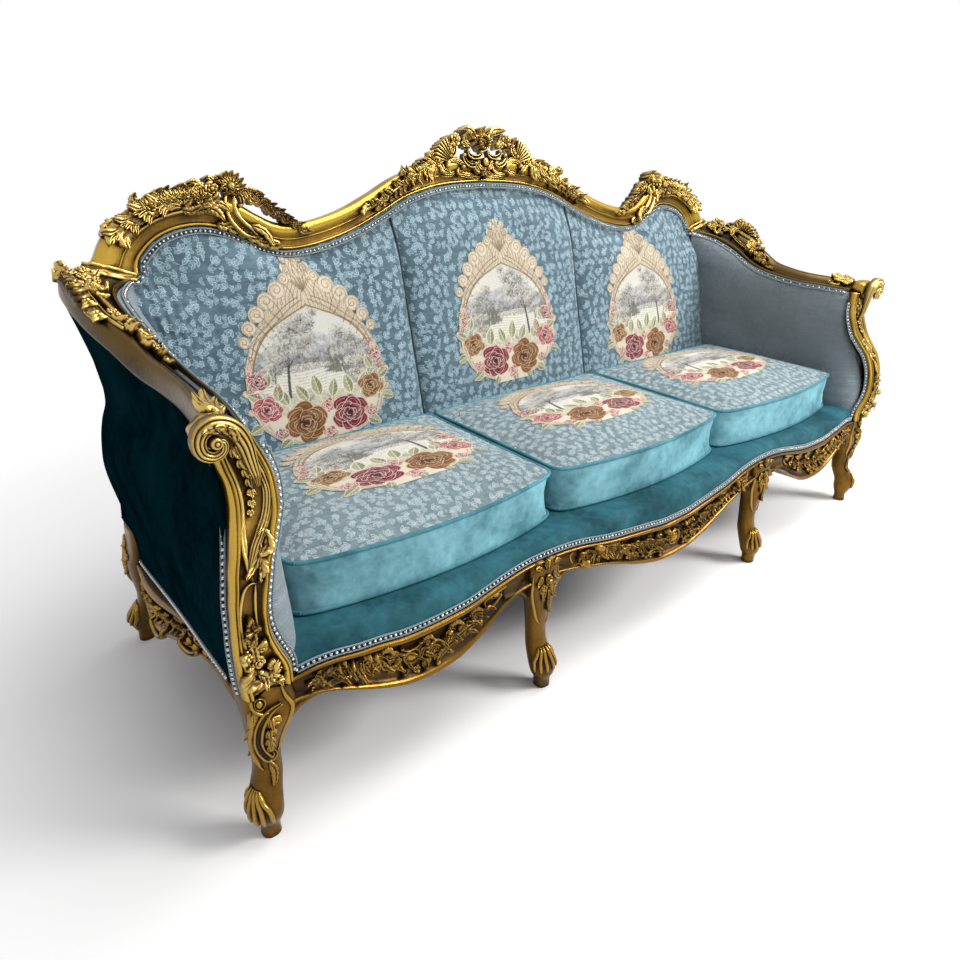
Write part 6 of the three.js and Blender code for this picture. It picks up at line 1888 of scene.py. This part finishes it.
def paint_view(c, flip):
    """Hills, a lake with an island, and trees, in greys."""
    w = np.interp(c.v, *OPEN)
    c.inside = np.abs(c.u) < w
    u, v, part = c.u * flip, c.v, ALL
    c.put(part, c.inside, (.74, .72, .64), True)
    c.put(part, c.inside * smooth(v, -30, 90), (.66, .65, .6))
    for level, tone, seed in ((26, .36, 1), (6, .24, 2), (-10, .14, 3)):
        ridge = level + 13 * np.sin(u / 31 + seed * 2) + 5 * np.sin(u / 12 + seed)
        ridge += 6 * (c.grain - .5)
        fleck = c.grain * .22 + .1 * ripple(u, v, 16, seed)
        c.put(part, c.inside & (v < ridge) & (v > -34), (np.ones(3) * (tone + fleck[..., None])))
    water = c.inside & (v < -24 + 2 * np.sin(u / 20)) & (v > -92 + .12 * u)
    c.put(part, water, (.76, .74, .66))
    c.put(part, water & (np.abs((v / 6.5 + .5 * np.sin(u / 24)) % 1 - .5) < .13) & (c.grain > .3),
          (.42, .42, .39))
    c.put(part, water & (v > -38) & (c.grain > .45), (.3, .3, .28))
    bank = c.inside & (v < -86 + .1 * u + 5 * np.sin(u / 17))
    c.put(part, bank, (.70, .66, .52))
    c.put(part, bank & (c.grain > .62) & (v > -125), (.4, .39, .3))
    c.put(part, c.inside & (v < -20) & (v > -84) & (u < -58 + .5 * (v + 60)) & (c.grain > .3),
          (.16, .16, .14))
    c.put(part, c.inside & (v < -20) & (v > -84) & (u < -66 + .5 * (v + 60)) & (c.grain > .75),
          (.6, .59, .52))
    for x, y, size in ((-52, -46, (30, 7)), (-40, -42, (19, 9))):
        c.disc((x * flip, y), size, (.2, .2, .18), rough=.5)
    for x in (-58, -46, -36):
        c.line([(x * flip, -42), (x * flip + 1, -22)], 1.6, (.1, .1, .09))
        c.disc((x * flip, -14), (9, 17), (.16, .16, .15), rough=.7)
        c.disc((x * flip + 3, -9), (5, 9), (.5, .5, .46), rough=1)
    for path, wide in (([(70, -88), (66, -50), (60, -10), (52, 24)], 6.5),
                       ([(62, -20), (78, 6), (84, 26)], 3), ([(64, -30), (46, -6), (34, 4)], 2.6),
                       ([(94, -92), (96, -60), (92, -30)], 4)):
        c.line([(x * flip, y) for x, y in path], wide, (.07, .07, .065), taper=.6)
    for x, y, r in ((50, 36, 25), (66, 18, 22), (34, 18, 22), (86, 2, 19), (22, 48, 19),
                    (44, 58, 18), (98, -22, 18), (108, -42, 14), (74, -6, 15), (44, 0, 14),
                    (14, 28, 15), (4, 62, 14), (24, 74, 13), (-96, 4, 18), (-112, -20, 17),
                    (-82, 20, 15), (-100, -36, 15), (-60, 34, 13), (-8, 84, 9)):
        c.disc((x * flip, y), (r, r * .85), (.2, .2, .185), .9, rough=1.0)
        c.disc((x * flip - 3, y + 4), (r * .8, r * .6), (.66, .64, .57), .85, rough=1.7)
        c.disc((x * flip + 4, y - 5), (r * .6, r * .45), (.06, .06, .055), .9, rough=1.5)
        c.disc((x * flip + 1, y + 1), (r * .8, r * .7), (.5, .49, .44), .6, rough=2.4)
    for x, y, r in ((-104, -62, 15), (-88, -74, 12), (-120, -78, 12), (30, -96, 9), (-20, -100, 8),
                    (112, -84, 11)):
        c.disc((x * flip, y), (r, r * .7), (.3, .3, .26), rough=.9)
        c.disc((x * flip, y + 3), (r * .5, r * .3), (.66, .64, .54), .8, rough=1.2)


def paint_frame(c):
    """A cream border: lobed outside, with scrolls, veins and beads drawn on it in brown."""
    edge = np.interp(c.v, *EDGE)
    body = (np.abs(c.u) < edge) & ~c.inside & (c.v > -200)
    c.put(ALL, body, CREAM, True)
    lobes = ((56, 134, 19), (82, 114, 19), (106, 90, 18), (126, 64, 16), (142, 38, 13),
             (36, 154, 13), (20, 170, 11), (160, -64, 8), (157, -104, 8))
    for x, y, r in lobes:
        for side in (-1, 1):
            c.disc((x * side, y), r, CREAM, cover=True)
    for angle, long in ((90, 66), (70, 60), (110, 60), (50, 52), (130, 52), (30, 40), (150, 40)):
        a = math.radians(angle)
        c.disc((math.cos(a) * long * .8, 134 + math.sin(a) * long), (8.5, 9), CREAM, cover=True)
    c.put(ALL, c.cover & ~c.inside & (c.grain > .72), (.6, .5, .36))
    away = np.abs(c.u) - np.interp(c.v, *OPEN) + .35 * np.maximum(c.v - 70, 0)
    lace = np.abs((away / 8.5 + .22 * np.sin(c.v / 7)) % 1 - .5)
    c.put(ALL, (c.cover & ~c.inside & (away > 5) & (lace < .13)) * .75,
          FAWN)
    c.put(ALL, (c.cover & ~c.inside & (away > 5) & (lace > .4)
            & (c.grain > .35)) * .5, SAND)
    for x, y, r in lobes[:6]:
        for side in (-1, 1):
            c.disc((x * side, y), r - 1, FAWN, .55)
            c.disc((x * side, y), r - 2.6, CREAM)

    def swirl(x, y, r):
        s = np.linspace(0, 1, 16)
        turns, away = -1.2 + s * 2 * PI * 1.35, r * (1 - .82 * s)
        c.both([(x + math.cos(a) * q, y + math.sin(a) * q) for a, q in zip(turns, away)], 1.5,
               FAWN)

    for x, y, r in lobes[:7]:
        swirl(x, y, r * .78)
        for k in range(5):
            a = -.4 + k * .55 + (0 if y > 60 else -.5)
            c.both([(x + math.cos(a) * r * .35, y + math.sin(a) * r * .35),
                    (x + math.cos(a) * r * 1.02, y + math.sin(a) * r * 1.02)], 1.4, SAND,
                   smoothed=False)
    for path in ([(10, 108), (40, 92), (76, 64), (106, 40), (128, 4), (142, -36), (148, -80),
                  (140, -120)], [(14, 116), (46, 100), (84, 70), (114, 44), (134, 6), (148, -36),
            (152, -70)], [(52, 80), (60, 100), (72, 118)], [(78, 52), (88, 72), (104, 92)],
                 [(104, 24), (112, 40), (128, 56)], [(128, -8), (134, 4), (146, 14)],
                 [(24, 110), (26, 128), (38, 146)], [(60, 74), (76, 92), (82, 112)],
                 [(92, 44), (104, 60), (114, 76)], [(118, 10), (130, 26), (142, 36)]):
        c.both(path, 2.0, FAWN, taper=.6)
    beads = spline([(20, 122), (52, 106), (90, 76), (118, 46), (138, 4), (150, -40), (154, -80)])
    for k in range(9):
        t = .06 + .1 * k
        x, y = beads(t)[0]
        for side in (-1, 1):
            c.disc((side * x, y), 3.0, FAWN)
            c.disc((side * x, y), 1.8, CREAM)
    for angle, long in ((90, 60), (70, 54), (110, 54), (50, 45), (130, 45), (28, 32), (152, 32)):
        a = math.radians(angle)
        tip = (math.cos(a) * long * .8, 134 + math.sin(a) * long)
        for off in (-.16, 0, .16):
            x, y = toward(a + off) * long * .45
            c.line([(0, 126), (x, 134 + y), tip], 1.9 if off else 1.4, FAWN if off else SAND,
                   taper=.5)
        c.disc(tip, 3.2, FAWN)
        c.disc(tip, 1.8, CREAM)
    c.both([(0, 98), (30, 85), (62, 70), (92, 50), (112, 27), (128, 0), (140, -36), (144, -80),
            (132, -128)], 2.6, FAWN)


def paint_roses(c, flip):
    """Roses of three colours with their leaves and buds, along the lower border."""
    for x, y, long, wide, angle in ((-92, -100, 44, 13, 118), (-66, -104, 46, 13, 80),
            (-20, -104, 44, 12, 108), (6, -96, 50, 13, 80), (34, -102, 44, 12, 60),
            (78, -104, 46, 13, 66), (98, -92, 40, 12, 100), (128, -84, 36, 11, 30),
            (-136, -80, 36, 11, 150), (138, -136, 32, 11, -20), (-142, -120, 34, 11, 200),
            (84, -178, 34, 12, -30), (-98, -166, 38, 12, 212), (4, -184, 30, 11, -80),
            (-126, -58, 34, 10, 70), (118, -58, 32, 10, 110), (-50, -186, 28, 10, 250),
            (48, -188, 28, 10, -60)):
        turn = math.radians(angle)
        c.leaflet((x * flip, y), long, wide, turn if flip > 0 else PI - turn)
    for x, y, r, kind, turn in ((-140, -36, 15, CRIMSON, 1), (132, -44, 21, CRIMSON, 2),
            (146, -14, 8, PINK, .4), (-136, -8, 8, PINK, .4), (-116, -96, 30, BRONZE, .8),
            (122, -104, 31, PINK, 2.1), (-10, -120, 17, PINK, 1.1), (-56, -146, 45, CRIMSON, .3),
            (46, -148, 48, BRONZE, 1.4), (-2, -182, 17, PINK, .9), (-108, -152, 16, PINK, 2.3),
            (104, -160, 15, CRIMSON, 2.6)):
        c.rose((x * flip, y), r, *kind, turn)
    for x, y in ((-148, -16), (-126, -22), (150, -30), (138, -70), (152, -60), (-152, -60),
                 (-92, -62), (96, -66), (-128, 6), (136, 4)):
        c.disc((x * flip, y), 4.2, (.4, .05, .07), cover=True)
        c.disc((x * flip, y), 2.0, (.8, .66, .5))


def picture(name, low, high, up, flip, scale, body, reach):
    """Lays one medallion, centred at low, high, on the surface that reach finds."""
    c = Canvas(seed=len(pieces))
    paint_view(c, flip)
    paint_frame(c)
    paint_roses(c, flip)
    thread = .9 + .2 * c.grain * (.5 + .5 * np.sin(c.v * 2.4))
    rows, columns = c.u.shape
    a, b = low + c.u * scale[0] / 1000, high + c.v * scale[1] / 1000
    coarse_a, coarse_b = np.linspace(a.min(), a.max(), 64), np.linspace(b.min(), b.max(), 76)
    level = np.array([[reach(x, y) for x in coarse_a] for y in coarse_b])
    fa = np.clip((a - coarse_a[0]) / (coarse_a[1] - coarse_a[0]), 0, 62.999)
    fb = np.clip((b - coarse_b[0]) / (coarse_b[1] - coarse_b[0]), 0, 74.999)
    i, j = fb.astype(int), fa.astype(int)
    s, t = fa - j, fb - i
    depth = ((1 - t) * ((1 - s) * level[i, j] + s * level[i, j + 1])
             + t * ((1 - s) * level[i + 1, j] + s * level[i + 1, j + 1]))
    verts = np.stack([a, depth, b] if up == "back" else [a, b, depth], -1).reshape(-1, 3)
    faces = grid_faces(rows, columns)
    kept = c.cover.ravel()[faces].all(1) & np.isfinite(verts[faces].sum((1, 2)))
    faces = faces[kept]
    used = np.unique(faces)
    order = np.zeros(len(verts), int)
    order[used] = np.arange(len(used))
    heap = Heap().add(verts[used], order[faces], .6, np.stack([a, b], -1).reshape(-1, 2)[used])
    obj = make(name, heap, medallion_cloth, body)
    tint = obj.data.color_attributes.new(name="tint", type="FLOAT_COLOR", domain="POINT")
    shade = (c.colour * thread[..., None]).reshape(-1, 3)[used]
    tint.data.foreach_set("color", np.hstack([shade, np.ones((len(used), 1))]).ravel())


def tapestry():
    """Wool weave over the colours that the points carry."""
    p = Paint("tapestry")
    at = p.uv()
    warp = p.node("TexWave", {"Vector": at, "Scale": 260, "Distortion": .8},
                  bands_direction="Y").outputs["Fac"]
    weft = p.node("TexWave", {"Vector": at, "Scale": 200, "Distortion": .8},
                  bands_direction="X").outputs["Fac"]
    weave = p.math("MULTIPLY", warp, weft)
    tint = p.node("Attribute", attribute_name="tint").outputs["Color"]
    p.set(Base_Color=p.blend(p.math("MULTIPLY", weave, .18), tint, (.16, .14, .11)), Roughness=.8,
          Normal=p.bump(p.math("ADD", weave, p.math("MULTIPLY", p.noise(at, 240), .6)), .5, .0012))
    p.set(**{"Sheen_Weight": .08, "Sheen_Roughness": .5, "Specular_IOR_Level": .12})
    return p.material


medallion_cloth = tapestry()


def finder(verts, faces, origin, way, fallback):
    """A function that finds how far a surface lies along one axis, above a place."""
    tree = BVHTree.FromPolygons(verts.tolist(), faces.tolist())
    axis = 1 if way[1] else 2

    def at(x, y):
        start = (x, origin, y) if axis == 1 else (x, y, origin)
        hit = tree.ray_cast(Vector(start), Vector(way))[0]
        return fallback if hit is None else hit[axis]
    return at


for side, heap, sign in (("middle", middle_back, 0), ("right", side_back, 1),
                         ("left", side_back, -1)):
    verts = np.vstack(heap.verts) * [sign or 1, 1, 1]
    reach = finder(verts, np.vstack([g for g, _ in heap.faces if g.shape[1] == 4]), -.2, (0, 1, 0),
                   np.nan)
    centre = (0, .7255) if side == "middle" else (sign * .609, .678)
    picture(f"medallion_back_{side}", centre[0], centre[1], "back", 1 if side != "left" else -1,
            (1.14, 1.06), "frame", lambda x, z: reach(x, z) - .0016)
for side, centre in (("middle", (0, .352)), ("right", (.609, .352)), ("left", (-.609, .352))):
    obj, grid = cushions[side]
    top = grid.reshape(-1, 3) + [0, SHIFT, 0]
    reach = finder(top, grid_faces(*grid.shape[:2]), 1.0, (0, 0, -1), np.nan)
    picture(f"medallion_seat_{side}", centre[0], centre[1], "seat", -1 if side != "left" else 1,
            (1.3, .95), f"cushion_{side}", lambda x, y: reach(x, y) + .0016)


# ---- The pieces, each in place of its CAD nodes

def pair(name, heap, materials, node=None, body="frame"):
    """A piece on the right and its mirror image on the left."""
    for side, part in (("right", heap), ("left", heap.mirrored())):
        obj = make(f"dressed_{name}_{side}", part, materials, body, [f"{node or name}_{side}"])


make("dressed_crest_rail", crest, gold_plain, nodes=["crest_rail"])
pair("arm_rail", arm_rail, gold_arm_painted_shade)
pair("arm_post", post, gold_plain)
pair("front_leg", front_leg, gold_dull)
pair("front_middle_leg", middle_leg, gold_dull)
pair("rear_leg", rear_leg, gold_dull)
pair("rear_middle_leg", rear_middle_leg, gold_dull)
make("dressed_front_apron_middle", apron_middle, gold_dull, nodes=["front_apron_middle"])
pair("front_apron", apron_side, gold_dull)
pair("side_apron", side_apron_piece, gold_dull)
soft = make("dressed_inside_back_middle", middle_back, back_cloth, nodes=["inside_back_middle"])
pair("inside_back", side_back, back_cloth)
pair("inside_arm", arm_pad, arm_cloth)
pair("outside_arm", arm_skin, outer_cloth)
soft = make("dressed_outside_back", outside_back, outer_cloth, nodes=["outside_back"])
soft = make("dressed_seat_deck", deck_piece, deck_cloth, nodes=["seat_deck"])
make("dressed_crest_cartouche", cartouche, gold, nodes=["crest_cartouche"])
pair("shoulder_carving", shoulder, gold)
pair("arm_carving", arm_flowers, gold)
pair("post_carving", post_flowers, gold)
for name, heap, material in (("crest_leaves", crest_leaves, gold),
                             ("arm_leaves", arm_leaves, gold),
                             ("post_scrolls", post_scrolls, gold),
                             ("corner_leg_leaves", corner_leaves, gold_leg),
                             ("middle_leg_leaves", middle_leaves, gold_leg),
                             ("apron_leaves", apron_leaves, gold_leg),
                             ("side_apron_leaves", side_apron_leaves, gold_leg)):
    make(f"{name}_right", heap, material)
    make(f"{name}_left", heap.mirrored(), material)
make("apron_webs_right", webs, gold_dull)
make("apron_webs_left", webs.mirrored(), gold_dull)
make("middle_apron_leaves", middle_apron_leaves, gold_leg)
make("nailheads", nails, nail_metal)
make("gimp_cords", cords, gimp)
make("back_seams", Heap().join(seams).join(seams, mirror=True), seam_dark)

strap = woven("strap", (.3, .24, .14), (.52, .43, .28), 190)
cover = woven("cambric", (.01, .011, .013), (.035, .037, .042), 420)
for name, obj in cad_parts.items():
    if name.startswith(("front_seat_rail", "side_seat_rail", "rear_seat_rail", "cross_rail",
                        "front_corner", "rear_corner", "back_stile", "back_upright", "back_tack")):
        material = wood
    elif name == "seat_webbing":
        material = strap
    elif name == "dust_cover":
        material = cover
    else:
        continue
    for index in range(len(obj.data.materials)):
        obj.material_slots[index].material = material


# ---- Floor, light and camera

def quad(name, size, height):
    mesh = bpy.data.meshes.new(name)
    corners = (-1, -1), (1, -1), (1, 1), (-1, 1)
    mesh.from_pydata([(x * size, y * size, height) for x, y in corners], [], [(0, 1, 2, 3)])
    obj = bpy.data.objects.new(name, mesh)
    bpy.context.scene.collection.objects.link(obj)
    return obj


floor = quad("floor", 14, -.0004)
p = Paint("floor")
spot = p.vector("MULTIPLY", p.place(), (1, 1, 0))
away = p.node("VectorMath", {0: spot}, operation="LENGTH").outputs["Value"]
glow = p.node("Emission", {"Color": (1, 1, 1, 1), "Strength": 1.0}).outputs[0]
matt = p.node("BsdfDiffuse", {"Color": (.97, .97, .97, 1)}).outputs[0]
seen = p.node("LightPath")
fade = p.math("MULTIPLY", p.ramp(p.math("MULTIPLY", away, .25), (.27, 0.0), (.55, 1.0)),
              p.math("MAXIMUM", seen.outputs["Is Camera Ray"],
                     p.math("MAXIMUM", seen.outputs["Is Glossy Ray"],
                            seen.outputs["Is Transmission Ray"])))
both = p.node("MixShader", {0: fade, 1: matt, 2: glow}).outputs[0]
p.tree.links.new(both, p.tree.nodes["Material Output"].inputs["Surface"])
floor.data.materials.append(p.material)

scene = bpy.context.scene
world = bpy.data.worlds.new("studio")
scene.world = world
world.use_nodes = True
tree = world.node_tree
tree.nodes.clear()
out = tree.nodes.new("ShaderNodeOutputWorld")
seen, around = tree.nodes.new("ShaderNodeBackground"), tree.nodes.new("ShaderNodeBackground")
seen.inputs["Color"].default_value = (1, 1, 1, 1)
seen.inputs["Strength"].default_value = 1.0
height = tree.nodes.new("ShaderNodeSeparateXYZ")
coords = tree.nodes.new("ShaderNodeTexCoord")
tree.links.new(coords.outputs["Generated"], height.inputs[0])
ramp = tree.nodes.new("ShaderNodeValToRGB")
tree.links.new(height.outputs["Z"], ramp.inputs["Fac"])
for point, value in zip((ramp.color_ramp.elements[0], ramp.color_ramp.elements[1]), (.3, 1.0)):
    point.color = (value, value, value * 1.02, 1)
ramp.color_ramp.elements[1].position = .85
tree.links.new(ramp.outputs["Color"], around.inputs["Color"])
around.inputs["Strength"].default_value = .58
ray = tree.nodes.new("ShaderNodeLightPath")
choose = tree.nodes.new("ShaderNodeMixShader")
seen_by, beyond = tree.nodes.new("ShaderNodeMath"), tree.nodes.new("ShaderNodeMath")
for node, one, two in ((beyond, ray.outputs["Is Glossy Ray"], ray.outputs["Is Transmission Ray"]),
                       (seen_by, ray.outputs["Is Camera Ray"], beyond.outputs[0])):
    node.operation = "MAXIMUM"
    tree.links.new(one, node.inputs[0])
    tree.links.new(two, node.inputs[1])
tree.links.new(seen_by.outputs[0], choose.inputs[0])
tree.links.new(around.outputs[0], choose.inputs[1])
tree.links.new(seen.outputs[0], choose.inputs[2])
tree.links.new(choose.outputs[0], out.inputs["Surface"])


def panel_light(name, place, aim, size, power, colour=(1, 1, 1)):
    light = bpy.data.lights.new(name, "AREA")
    light.shape = "RECTANGLE"
    light.size, light.size_y = size
    light.energy = power
    light.color = colour
    obj = bpy.data.objects.new(name, light)
    scene.collection.objects.link(obj)
    obj.location = place
    obj.rotation_euler = (Vector(aim) - Vector(place)).to_track_quat("-Z", "Y").to_euler()


panel_light("key", (2.7, -3.0, 3.0), (0, 0, .4), (1.6, 1.6), 200, (1, .985, .96))
panel_light("top", (.7, -.5, 3.6), (.1, 0, 0), (2.6, 2.0), 85)

scene.view_settings.view_transform = "Standard"
# the camera solved from the photograph, its focal length in pixels
yaw, pitch, roll = (math.radians(a) for a in (39.7154, 24.0125, .066))
focal, photo_wide = 698.275, 960
forward = Vector((math.sin(yaw) * math.cos(pitch), math.cos(yaw) * math.cos(pitch),
                  -math.sin(pitch)))
right = Vector((math.cos(yaw), -math.sin(yaw), 0))
up = right.cross(forward)
across = right * math.cos(roll) + up * math.sin(roll)
over = up * math.cos(roll) - right * math.sin(roll)
lens = bpy.data.cameras.new("camera")
lens.sensor_width = 36
lens.lens = lens.sensor_width * focal / photo_wide
lens.clip_start, lens.clip_end = .05, 60
eye = bpy.data.objects.new("camera", lens)
scene.collection.objects.link(eye)
turn = Matrix((across, over, -forward)).transposed().to_4x4()
eye.matrix_world = Matrix.Translation((-1.3464, -.9116 - SHIFT, 1.0693)) @ turn
scene.camera = eye
